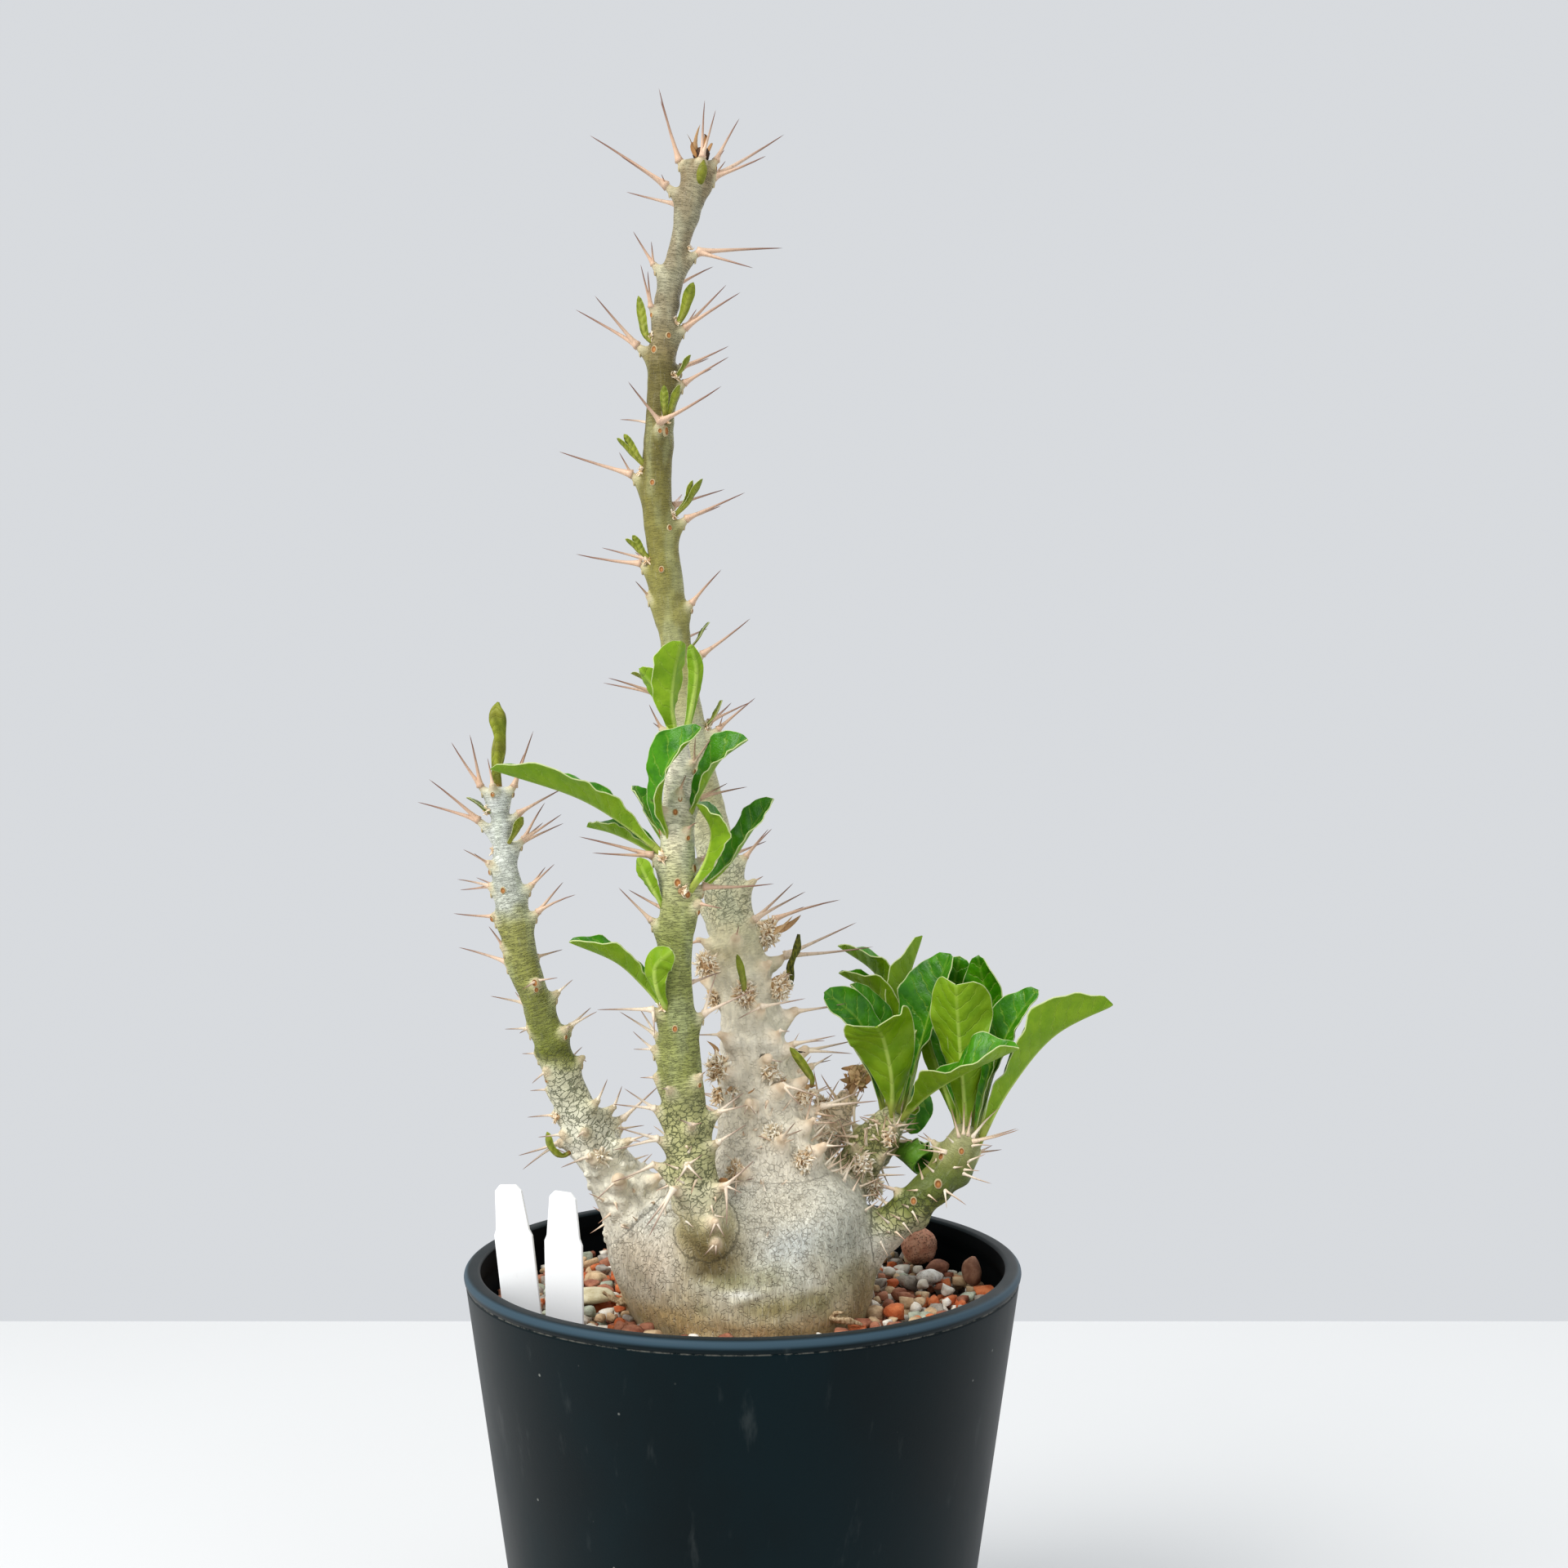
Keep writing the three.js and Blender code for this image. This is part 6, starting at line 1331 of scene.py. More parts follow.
# Points, faces and looks of one blade: a folded, wavy sheet, thick at the stalk and the midrib.
# A lobed tip has its two sides reach past the midrib, and a twist turns the blade towards its tip
def bladeMesh(row, seed):
    *controls, width, face, fold, wave, grade = row[:9]
    extra = row[9] if len(row) > 9 else {}
    rows = leafGrids[grade]
    shares = np.linspace(0, 1, rows)
    shares = shares - 0.0095 * np.sin(2 * math.pi * shares)
    middle = midribOf(controls, shares)
    ahead = midribOf(controls, np.minimum(shares + 1e-3, 1))
    behind = midribOf(controls, np.maximum(shares - 1e-3, 0))
    tangent = unit(ahead - behind)
    right = unit(np.cross(tangent, np.array(face, float)))
    up = np.cross(right, tangent)
    turn = np.radians(extra.get("twist", 0)) * shares[:, None] ** 3
    right, up = right * np.cos(turn) + up * np.sin(turn), up * np.cos(turn) - right * np.sin(turn)
    least = np.where(shares < 0.5, 0.6 if grade == "bud" else 0.8, 0.05)
    narrowing = 1 - extra.get("point", 0.35) * ease(shares, 0.72, 1.02)
    last = leafForm["widest"] if "roll" in extra else 1 - 1e-6
    shape = leafShape(np.clip(shares, 1e-6, last))
    fuller = np.where(shares > leafForm["widest"], shape ** extra.get("fill", 1), shape)
    wide = 0.5 * width * fuller * narrowing
    half = np.sqrt(wide**2 + least**2)
    place = leafPlaces[None, :]
    share, half, tilt = shares[:, None], half[:, None], np.radians(fold) * (1 - 0.4 * shares[:, None])
    lifted = np.sqrt(place**2 + 0.01) - 0.1
    ripple = wave * half * place**2 * np.sin(13 * share + 2.2 * place + width)
    crimp = leafForm["ripple"] * half * np.abs(place) ** 3 * np.sin(34 * share + 1.7 * place + seed)
    frill = 0.6 * leafForm["ripple"] * half * place**4 * np.sin(57 * share - 2.3 * place + 2 * seed)
    crimp = (grade != "bud") * crimp + frill
    rise = half * lifted * np.sin(tilt) + ripple + crimp
    aside = half * place * np.cos(tilt)
    if "roll" in extra:
        arc = np.radians(extra["roll"]) * ease(share, 0.0, 0.3)
        bent = np.maximum(arc, 0.05)
        aside, rise = half / bent * np.sin(bent * place), half / bent * (1 - np.cos(bent * place)) + crimp
    sheet = middle[:, None] + right[:, None] * aside[..., None] + up[:, None] * rise[..., None]
    forward = extra.get("lobe", 0) * np.abs(place) ** 1.2 * ease(share, 0.6, 1.0) * half / half.max()
    forward = forward + 0.12 * half * np.abs(place) ** 2 * ease(share, 0.3, 0.8)
    sheet = sheet + tangent[:, None] * forward[..., None]
    normal = unit(np.cross(np.gradient(sheet, axis=1), np.gradient(sheet, axis=0)))
    normal = normal * np.where(np.sum(normal[:, 7] * up, -1) < 0, -1, 1)[:, None, None]
    small = 0.55 if grade == "bud" else 1
    stalk = np.exp(-((share / 0.12) ** 2))
    body = leafForm["thick"] * small * (1 - 0.45 * place**2)
    body = body + stalk * leafForm["stalk"] * small * (1 - place**2)
    ridge = leafForm["ridge"] * small * np.exp(-((place * half / 0.5) ** 2)) * (1 - 0.75 * share)
    top = sheet + normal * (body / 2 - 0.35 * ridge * (1 - stalk))[..., None]
    bottom = sheet - normal * (body / 2 + ridge)[..., None]
    columns = len(leafPlaces)
    grid = np.arange(rows * columns).reshape(rows, columns)
    a, b, c, d = grid[:-1, :-1], grid[:-1, 1:], grid[1:, 1:], grid[1:, :-1]
    upper = np.stack([a, b, c, d], -1).reshape(-1, 4)
    below = rows * columns
    rim = np.concatenate([grid[0, :-1], grid[:-1, -1], grid[-1, :0:-1], grid[:0:-1, 0]])
    after = np.roll(rim, -1)
    strip = np.stack([rim, rim + below, after + below, after], -1)
    length = np.linalg.norm(np.diff(middle, axis=0), axis=1).sum()
    blade = np.stack(np.broadcast_arrays(length * share, half * place, share), -1).reshape(-1, 3)
    look = np.stack(np.broadcast_arrays(place, stalk, 0 * share), -1).reshape(-1, 3)
    faces = np.concatenate([upper, upper[:, ::-1] + below, strip])
    corner = top.reshape(-1, 3)[upper]
    outward = np.cross(corner[:, 1] - corner[:, 0], corner[:, 3] - corner[:, 0])
    if np.sum(outward * normal.reshape(-1, 3)[upper[:, 0]]) < 0:
        faces = faces[:, ::-1]
    kinds = np.repeat([0, 1, 1], [len(upper), len(upper), len(strip)])
    points = np.concatenate([top.reshape(-1, 3), bottom.reshape(-1, 3)])
    return points, faces, kinds, np.concatenate([blade, blade]), np.concatenate([look, look])


# Leaf faces: a base green with mottling, pale veins that leave the midrib slantwise every few
# millimetres, a pale fringe along the edge and a yellow-green stalk
def leafMaterial(name, deep, light, vein, stalk, gloss, veinStrength, veinGap):
    material, tree, surface = newMaterial(name, gloss, 0.22)
    along, across, share = partsOf(tree, attributeOf(tree, "blade"))
    look = partsOf(tree, attributeOf(tree, "look"))
    aside = calc(tree, "ABSOLUTE", across)
    place = millimetres(tree)
    broad = grain(tree, place, 0.22, 3.0, 0.55)
    wobble = grain(tree, place, 0.5, 2.0, 0.5)
    colour = mixed(tree, spread(tree, broad, 0.32, 0.68), deep, light)
    slant = calc(tree, "SUBTRACT", along, times(tree, aside, 0.75))
    slant = calc(tree, "ADD", calc(tree, "DIVIDE", slant, veinGap), times(tree, wobble, 0.7))
    tooth = calc(tree, "ABSOLUTE", calc(tree, "SUBTRACT", calc(tree, "FRACT", slant), 0.5))
    side = times(tree, spread(tree, tooth, 0.09, 0.0), spread(tree, look[0], 0.98, 0.7))
    side = times(tree, side, spread(tree, look[0], -0.98, -0.7))
    quilt = spread(tree, tooth, 0.1, 0.45)
    colour = mixed(tree, times(tree, side, veinStrength), colour, vein)
    rib = times(tree, spread(tree, aside, 0.75, 0.15), spread(tree, share, 0.95, 0.25, 0.2, 1.0))
    colour = mixed(tree, times(tree, rib, 0.85), colour, vein)
    edge = spread(tree, calc(tree, "ABSOLUTE", look[0]), 0.965, 0.995)
    colour = mixed(tree, times(tree, edge, 0.75), colour, (206, 214, 158))
    colour = mixed(tree, spread(tree, look[1], 0.12, 0.6), colour, stalk)
    colour = mixed(tree, times(tree, look[2], 0.5), colour, (96, 70, 40))
    tree.links.new(colour, surface.inputs["Base Color"])
    height = calc(tree, "ADD", times(tree, side, -0.7), times(tree, quilt, 0.6))
    fine = grain(tree, place, 3.2, 3.0, 0.6)
    height = calc(tree, "ADD", height, times(tree, fine, 0.35))
    bump(tree, surface, height, 0.00022, 0.8)
    return material


leafTop = leafMaterial("leaf upper face", (40, 104, 3), (68, 134, 6), (146, 180, 66),
                       (140, 152, 66), 0.3, 0.36, 4.6)
leafUnder = leafMaterial("leaf lower face", (104, 142, 6), (120, 154, 18), (182, 204, 98),
                         (150, 162, 70), 0.52, 0.1, 4.2)
youngTop = leafMaterial("young leaf upper face", (58, 82, 6), (104, 120, 20), (140, 148, 50),
                        (140, 106, 54), 0.4, 0.05, 2.0)
youngUnder = leafMaterial("young leaf lower face", (98, 116, 18), (138, 150, 36), (160, 166, 70),
                          (150, 112, 60), 0.5, 0.15, 2.0)
rolledLook = leafMaterial("rolled leaf", (66, 112, 22), (92, 136, 40), (146, 176, 90),
                          (120, 150, 70), 0.45, 0.1, 4.2)
leafNames = list(leaves) + list(leafPairs)
for index, name in enumerate(leafNames):
    blades = leafPairs[name] if name in leafPairs else [leaves[name]]
    parts = [bladeMesh(row, index + 3 * k) for k, row in enumerate(blades)]
    starts = np.cumsum([0] + [len(part[0]) for part in parts])
    small = name.startswith(("leader", "left", "trunk")) or blades[0][-1] == "bud"
    look = np.concatenate([part[4] for part in parts])
    if small:
        look[:, 2] = 0.25 + 0.9 * np.exp(-np.concatenate([part[3] for part in parts])[:, 2] / 0.18)
    lower = rolledLook if name == "side_leaf_11" else leafUnder
    faces = [part[1] + start for part, start in zip(parts, starts)]
    piece = makePiece(name + "_blade", np.concatenate([part[0] for part in parts]), faces,
                      [youngTop, youngUnder] if small else [leafTop, lower],
                      faceMaterial=np.concatenate([part[2] for part in parts]),
                      attributes={"blade": np.concatenate([part[3] for part in parts]), "look": look})
    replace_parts(piece, name)
print("leaves:", len(leafNames))

# Furled young leaves: slim rolled tubes with folds
furled = {
    "left_leaf_1": [
        [-64, -18, 266, 1], [-64.3, -18, 273, 1.3], [-63.7, -18, 282, 1.6], [-64.2, -18, 289, 1.2],
        [-63.9, -18, 290.5, 0.3],
    ],
    "trunk_leaf_2": [
        [9, 2, 211.5, 0.9], [12.4, 0, 215.4, 1.1], [12.8, -1, 220, 0.9], [14.4, -1, 224, 1.1],
        [15, -1, 228.2, 0.4],
    ],
}


# A closed tube along a smooth line, whose radius is multiplied by shape(turn, share)
def tubeMesh(path, sides, step, shape=None):
    at, rows = smoothPath(path, step)
    tangent = unit(np.gradient(rows[:, :3], axis=0))
    side = unit(np.cross(tangent, [0, 1.0, 0.02]))
    back = np.cross(tangent, side)
    turn = turnsOf(sides)
    share = at / at[-1]
    radius = rows[:, 3:4] * (shape(turn[None], share[:, None]) if shape else 1) * np.ones((1, sides))
    ring = side[:, None] * np.cos(turn)[None, :, None] + back[:, None] * np.sin(turn)[None, :, None]
    points = rows[:, None, :3] + ring * radius[..., None]
    total = len(rows) * sides
    quads = ringFaces(len(rows), sides)
    ends = np.concatenate([fan(0, sides, total, True), fan(total - sides, sides, total + 1)])
    points = np.concatenate([points.reshape(-1, 3), rows[[0, -1], :3]])
    shares = np.concatenate([np.repeat(share, sides), [0, 1]])
    turns = np.concatenate([np.tile(turn, len(rows)), [0, 0]])
    return points, quads, ends, shares, turns


# How far a rolled leaf's folds and dents stand out, round the roll and along it
def rolledShape(folds):
    return lambda turn, share: (1 + 0.26 * np.sin(folds * turn + 7 * share)
                                + 0.14 * np.sin(17 * share + 2 * turn))


dryLeaf = dryMaterial("dark young leaf", (46, 52, 8), (112, 112, 30))
for name, path in furled.items():
    dry = name == "trunk_leaf_2"
    points, sides, ends, shares, turns = tubeMesh(path, 24, 0.4, rolledShape(2 if dry else 3))
    look = np.stack([0 * shares, np.exp(-(shares / 0.12) ** 2), 0.3 + 0.5 * np.sin(9 * shares) ** 4], -1)
    blade = np.stack([22 * shares, 3 * np.sin(turns), shares], -1)
    rollLook, slotName = (dryLeaf, "dry_leaf") if dry else (youngUnder, "leaf")
    piece = makePiece(name + "_roll", points, [sides, ends], [rollLook],
                      attributes={"look": look, "blade": blade})
    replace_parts(piece, name)


# The leader's crown: a dark dried hollow and one yellow-green bud under its edge
crownForm = dict(centre=[-11.4, -0.9, 440.0], size=[2.7, 2.6, 2.3])
crownForm["bud"] = [[-11.8, -1.6, 431.4, 0.6], [-11.4, -3.2, 433.2, 1.3], [-11, -3.6, 435.2, 1.3],
                    [-10.7, -3.2, 437.6, 0.3]]
swell = 0.85 + 0.25 * noiseAt(ball, 2.6, 61)
crownPoints = ball * swell[:, None] * crownForm["size"] + crownForm["centre"]
crownLook = dryMaterial("dried crown", (34, 22, 16), (92, 64, 40))
crown = makePiece("crown_hollow", crownPoints, [ballFaces], [crownLook])
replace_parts(crown, "kudu_lily_body")
points, sides, ends, shares, turns = tubeMesh(crownForm["bud"], 14, 0.3)
looks = {"look": np.stack([0 * shares, 0 * shares, 0.6 + 0.3 * shares], -1),
         "blade": np.stack([8 * shares, np.sin(turns), shares], -1)}
crownBud = makePiece("crown_bud", points, [sides, ends], [youngUnder], attributes=looks)
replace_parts(crownBud, "kudu_lily_body")

# Dead roots at the foot of the swollen base
deadRoots = {
    "right_root": [
        [21, -26, 133.5, 1.3], [24, -29.5, 132.2, 1], [27.5, -30.5, 131.9, 0.8], [31, -29, 130.4, 0.3],
    ],
    "right_twig": [[23.5, -29, 132.4, 0.7], [24.5, -30.8, 134, 0.5], [26, -31.5, 134.3, 0.2]],
    "left_root": [[-29, -14, 131.5, 1.2], [-32.5, -15.5, 132.6, 0.9], [-36.8, -16, 135.2, 0.3]],
}
rootLook = dryMaterial("dead root", (140, 112, 78), (214, 192, 154))
for name, path in deadRoots.items():
    points, sides, ends, shares, turns = tubeMesh(
        path, 12, 0.4, lambda turn, share: 1 + 0.2 * np.sin(3 * turn + 9 * share) + 0.15 * np.sin(21 * share))
    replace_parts(makePiece("dead_" + name, points, [sides, ends], [rootLook]), "kudu_lily_body")


# Pot: a turned wall and rim with a parting line below the lip, over a floor with six holes
pot = dict(height=140.0, rim=75.0, wall=2.4, taper=0.146, floor=3.0, outerRows=29,
           segments=168, holes=6, holeRadius=5.0, holeCircle=30.0, holeSides=24)


def potOuter(z):
    return pot["rim"] - pot["taper"] * (pot["height"] - z)


def arc(centreR, centreZ, radius, start, stop, count):
    turns = np.radians(np.linspace(start, stop, count))
    return [[centreR + radius * math.cos(t), centreZ + radius * math.sin(t)] for t in turns]


potProfile = [
    [potOuter(0) - 1.5, 0.0], *arc(potOuter(1.4) - 1.3, 1.3, 1.3, -70, -8, 5)[1:],
    *[[potOuter(z), z] for z in (20, 45, 70, 95, 115, 128, 134, 135.9)],
    [potOuter(136.1), 136.2], [potOuter(136.2) - 0.22, 136.45], [potOuter(136.2) - 0.22, 136.75],
    [potOuter(137) + 0.02, 137.0], [74.85, 137.6], *arc(73.4, 138.4, 1.6, 0, 90, 7),
    *arc(71.6, 139.0, 1.0, 90, 180, 6), [70.6, 136.5], [70.6, 135.2], [71.5, 133.2],
    *[[potOuter(z) - 2.4, z] for z in (132, 128, 110, 80, 50, 20, 4.5)], [potOuter(3) - 3.2, 3.4],
    [potOuter(3) - 4.5, 3.0],
]


def lathe(profile, segments):
    profile = np.array(profile)
    turn = turnsOf(segments)
    rings = np.stack([profile[:, 0, None] * np.cos(turn), profile[:, 0, None] * np.sin(turn),
                      profile[:, 1, None] + 0 * turn], -1)
    return rings.reshape(-1, 3), ringFaces(len(profile), segments)


# A level disc between a ring of points and the drain holes
def drainedDisc(ring, holes, lookUp):
    flat = [Vector(p[:2]) for p in [*ring, *holes.reshape(-1, 3)]]
    found = delaunay_2d_cdt(flat, [], [], 0, 1e-7)
    corners = np.array([[v.x, v.y] for v in found[0]])
    faces = np.array(found[2])
    if len(corners) != len(flat):
        raise ValueError("the drained disc lost points")
    middles = corners[faces].mean(axis=1)
    keep = np.ones(len(faces), bool)
    for hole in holes:
        keep &= np.linalg.norm(middles - hole[:, :2].mean(axis=0), axis=1) > 0.9 * pot["holeRadius"]
    faces = faces[keep]
    a, b, c = [corners[faces[:, k]] for k in range(3)]
    area = np.cross(b - a, c - a)
    return np.where((area > 0)[:, None] == lookUp, faces, faces[:, ::-1])


def potMaterial():
    material, tree, surface = newMaterial("pot plastic", 0.5, 0.07)
    surface.inputs["Sheen Weight"].default_value = 0.06
    place = millimetres(tree)
    cloud = grain(tree, stretched(tree, place, 0.02, 0.02, 0.012), 1.0, 4.0, 0.6)
    colour = mixed(tree, spread(tree, cloud, 0.35, 0.65), (0, 13, 17), (0, 19, 24))
    smudge = spread(tree, grain(tree, stretched(tree, place, 0.16, 0.16, 0.04), 1.0, 4.0, 0.65), 0.6, 0.8)
    colour = mixed(tree, times(tree, smudge, 0.08), colour, (128, 134, 132))
    specks = cellular(tree, place, 0.13, "F1")
    specks = times(tree, spread(tree, specks, 0.06, 0.03), spread(tree, grain(tree, place, 0.06), 0.5, 0.58))
    colour = mixed(tree, times(tree, specks, 0.5), colour, (150, 152, 146))
    right, back, height = partsOf(tree, place)
    reach = calc(tree, "SQRT", calc(tree, "ADD", times(tree, right, right), times(tree, back, back)))
    # Painted highlight: a blue-grey band round the outer top of the lip
    lipHighlight = times(tree, spread(tree, height, 137.6, 138.8), spread(tree, height, 140.1, 139.5))
    lipHighlight = times(tree, lipHighlight, spread(tree, reach, 73.2, 74.2))
    colour = mixed(tree, lipHighlight, colour, (52, 72, 84))
    line = times(tree, spread(tree, height, 136.3, 136.5), spread(tree, height, 136.8, 136.6))
    flecks = spread(tree, grain(tree, place, 0.4, 4.0, 0.7), 0.4, 0.6)
    colour = mixed(tree, times(tree, times(tree, line, flecks), 0.42), colour,
                   (140, 138, 128))
    tree.links.new(colour, surface.inputs["Base Color"])
    tree.links.new(spread(tree, cloud, 0.3, 0.7, 0.44, 0.56), surface.inputs["Roughness"])
    bump(tree, surface, grain(tree, place, 2.4, 3.0, 0.6), 0.00005, 0.5)
    return material


points, sides = lathe(potProfile, pot["segments"])
outerRing = points[:pot["segments"]]
innerRing = points[-pot["segments"]:]
turns = turnsOf(pot["holeSides"])
holeRings = []
for k in range(pot["holes"]):
    turn = 2 * math.pi * (k + 0.5) / pot["holes"]
    centre = pot["holeCircle"] * np.array([math.cos(turn), math.sin(turn)])
    holeRings.append(np.stack([centre[0] + pot["holeRadius"] * np.cos(turns),
                               centre[1] + pot["holeRadius"] * np.sin(turns), 0 * turns], -1))
lowHoles = np.array(holeRings)
highHoles = lowHoles + [0, 0, pot["floor"]]
under = drainedDisc(outerRing, lowHoles, False)
over = drainedDisc(innerRing, highHoles, True)
total, ringSize, holeSize = len(points), pot["segments"], pot["holes"] * pot["holeSides"]
lowIndex = np.concatenate([np.arange(ringSize), total + np.arange(holeSize)])
highIndex = np.concatenate([total - ringSize + np.arange(ringSize), total + holeSize + np.arange(holeSize)])
k = np.arange(holeSize)
after = k // pot["holeSides"] * pot["holeSides"] + (k + 1) % pot["holeSides"]
tubes = total + np.stack([k, k + holeSize, after + holeSize, after], -1)
# The inner wall: the pot's plastic painted near-black, darker than outside, as painted shade inside the pot,
# and without sheen
potInsideShade, tree, surface = newMaterial("pot inside", 0.7, 0.05)
surface.inputs["Base Color"].default_value = paint(1, 5, 7)
inside = np.arange(len(sides)) >= pot["outerRows"] * ringSize
potFaces = np.concatenate([inside, np.zeros(len(under)), np.ones(len(over)), np.zeros(len(tubes))])
potPoints = np.concatenate([points, lowHoles.reshape(-1, 3), highHoles.reshape(-1, 3)])
potPiece = makePiece("pot_turned", potPoints, [sides, lowIndex[under], highIndex[over], tubes],
                     [potMaterial(), potInsideShade], faceMaterial=potFaces)
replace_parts(potPiece, "pot")
print("pot:", len(sides) * 2, "triangles")

# Labels: flat plates with cut corners, bare and slightly scuffed
labels = {
    "label_left": [-54.6, -33.5, 128, -22, -4.5, -5],
    "label_right": [-43.6, -41.2, 128, -26, 1.5, -4],
}
labelForm = dict(width=11.0, headWidth=7.6, head=13.0, length=70.0, point=12.0, thick=0.8, buried=18.0,
                 cut=1.5)
stones = {
    "lava_ball": [50.5, 38, [5.2, 5.2, 5.2], 0],
    "brown_stone": [55, 27, [3.4, 2.6, 2.2], 20],
    "tall_stone": [63.4, 14, [2.8, 2.8, 4.2], 0],
    "pumice": [52, 17, [3.8, 2.8, 2], 10],
    "flat_stone": [-41.5, -2, [7, 5.6, 1.9], 15],
}
gravelTop = 128.0
stoneGap = 0.3


def turnAbout(points, axis, angle):
    c, s = math.cos(math.radians(angle)), math.sin(math.radians(angle))
    matrix = {"x": [[1, 0, 0], [0, c, -s], [0, s, c]], "y": [[c, 0, s], [0, 1, 0], [-s, 0, c]],
              "z": [[c, -s, 0], [s, c, 0], [0, 0, 1]]}[axis]
    return points @ np.array(matrix).T


def labelMaterial():
    material, tree, surface = newMaterial("bare label", 0.42, 0.5)
    place = millimetres(tree)
    height = partsOf(tree, place)[2]
    colour = mixed(tree, spread(tree, height, 128.0, 146.0), (206, 210, 214), (240, 241, 241))
    scuff = spread(tree, grain(tree, stretched(tree, place, 1, 1, 0.35), 0.9, 4.0, 0.7), 0.6, 0.75)
    colour = mixed(tree, times(tree, scuff, 0.12), colour, (180, 178, 170))
    soil = times(tree, spread(tree, height, 134.0, 127.0), spread(tree, grain(tree, place, 0.8), 0.45, 0.7))
    colour = mixed(tree, times(tree, soil, 0.5), colour, (168, 148, 122))
    tree.links.new(colour, surface.inputs["Base Color"])
    return material


labelPlastic = labelMaterial()
for name, (x, y, z, turn, lean, back) in labels.items():
    half, headHalf = labelForm["width"] / 2, labelForm["headWidth"] / 2
    above = labelForm["length"] - labelForm["point"] - labelForm["buried"]
    cut, head, low = labelForm["cut"], labelForm["head"], -labelForm["buried"]
    right = [[cut, low], [half, low + labelForm["point"]], [half, above - head],
             [headHalf + 1, above - head + cut], [headHalf, above - cut], [headHalf - cut, above]]
    outline = np.array(right + [[-px, pz] for px, pz in right[::-1]])
    count = len(outline)
    ring = np.arange(count)
    after = np.roll(ring, -1)
    surfaces = [np.full(count, side * labelForm["thick"] / 2) for side in (-1, 1)]
    plate = np.concatenate([np.c_[outline, surface] for surface in surfaces])
    plate = turnAbout(turnAbout(turnAbout(plate, "x", 90 - back), "y", lean), "z", turn) + [x, y, z]
    piece = makePiece(name + "_plate", plate, [ring[None, ::-1], ring[None] + count,
                                               np.stack([ring, after, after + count, ring + count], -1)],
                      [labelPlastic], smooth=False)
    bevel = piece.modifiers.new("soft edge", "BEVEL")
    bevel.width = 0.18 * mm
    bevel.segments = 2
    bevel.limit_method = "ANGLE"
    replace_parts(piece, name)


def darker(colour):
    return (*(0.35 * value for value in paint(*colour)[:3]), 1.0)


def stoneMaterial(name, dark, light, spots, roughness, scale=1.0, pores=0.0, depth=0.0003):
    material, tree, surface = newMaterial(name, roughness, 0.3)
    place = millimetres(tree)
    cloud = grain(tree, place, 0.35 * scale, 4.0, 0.6)
    colour = mixed(tree, spread(tree, cloud, 0.36, 0.64), dark, light)
    dots = spread(tree, grain(tree, place, 2.2 * scale, 3.0, 0.65), 0.58, 0.7)
    colour = mixed(tree, times(tree, dots, 0.6), colour, spots)
    # Pores: painted shade, the colour darkened where the holes are, which are also sunk in the bump
    bubbles = cellular(tree, place, 1.3 * scale, "F1")
    hollow = times(tree, spread(tree, bubbles, 0.42, 0.15), pores)
    colour = mixed(tree, hollow, colour, darker(dark))
    tree.links.new(colour, surface.inputs["Base Color"])
    rough = grain(tree, place, 1.6 * scale, 4.0, 0.7)
    bump(tree, surface, calc(tree, "SUBTRACT", rough, times(tree, hollow, 1.5)), depth, 1.0)
    return material


# Each loose stone: dark, light and spot colours, finish, subdivisions and how lumpy it is
stoneLooks = {
    "lava_ball": dict(colours=[(196, 134, 106), (220, 166, 138), (232, 188, 160)], roughness=0.85, pores=0.5,
                      depth=0.0006, slot="lava", levels=4, lumps=0.10),
    "brown_stone": dict(colours=[(120, 76, 58), (158, 108, 84), (90, 56, 44)], roughness=0.8, pores=0.0,
                        depth=0.0003, slot="brown_stone", levels=3, lumps=0.14),
    "tall_stone": dict(colours=[(134, 92, 72), (170, 126, 100), (98, 66, 54)], roughness=0.8, pores=0.0,
                       depth=0.0003, slot="brown_stone", levels=3, lumps=0.14),
    "pumice": dict(colours=[(196, 190, 180), (232, 230, 224), (150, 146, 140)], roughness=0.8, pores=0.3,
                   depth=0.0003, slot="pumice", levels=3, lumps=0.12),
    "flat_stone": dict(colours=[(196, 184, 146), (222, 214, 182), (170, 152, 110)], roughness=0.75, pores=0.0,
                       depth=0.0003, slot="cream_stone", levels=3, lumps=0.10),
}
for index, (name, (x, y, size, turn)) in enumerate(stones.items()):
    look = stoneLooks[name]
    material = stoneMaterial(name.replace("_", " "), *look["colours"], look["roughness"], pores=look["pores"],
                             depth=look["depth"])
    sphere, faces = icosphere(look["levels"])
    lumpy = look["lumps"]
    swell = 1 + lumpy * noiseAt(sphere, 1.6, 20 + index) + 0.35 * lumpy * noiseAt(sphere, 5, 30 + index)
    if name == "lava_ball":
        swell -= 0.05 * ease(noiseAt(sphere, 7, 40), 0.25, 0.6)
    points = sphere * swell[:, None] * size
    points = turnAbout(points, "z", turn)
    points += [x, y, gravelTop + stoneGap - points[:, 2].min()]
    piece = makePiece(name + "_rough", points, [faces], [material])
    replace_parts(piece, name)

# Gravel: brown fines with two layers of pebbles over them, sorted into a few colours
gravel = dict(fines=125.0, foot=3.4, rows=44, around=150, lower=126.2, upper=128.3, lowerCount=560,
              upperCount=470, small=1.35, large=3.3, wallGap=0.7, tries=26000)
gravelDraw = np.random.default_rng(77)


def caudexClear(x, y, room, z):
    cx, cy, a, b = [np.interp(z, caudexLevels[:, 0], caudexLevels[:, k]) for k in range(1, 5)]
    return np.hypot((x - cx) / (a + room), (y - cy) / (b + room)) > 1


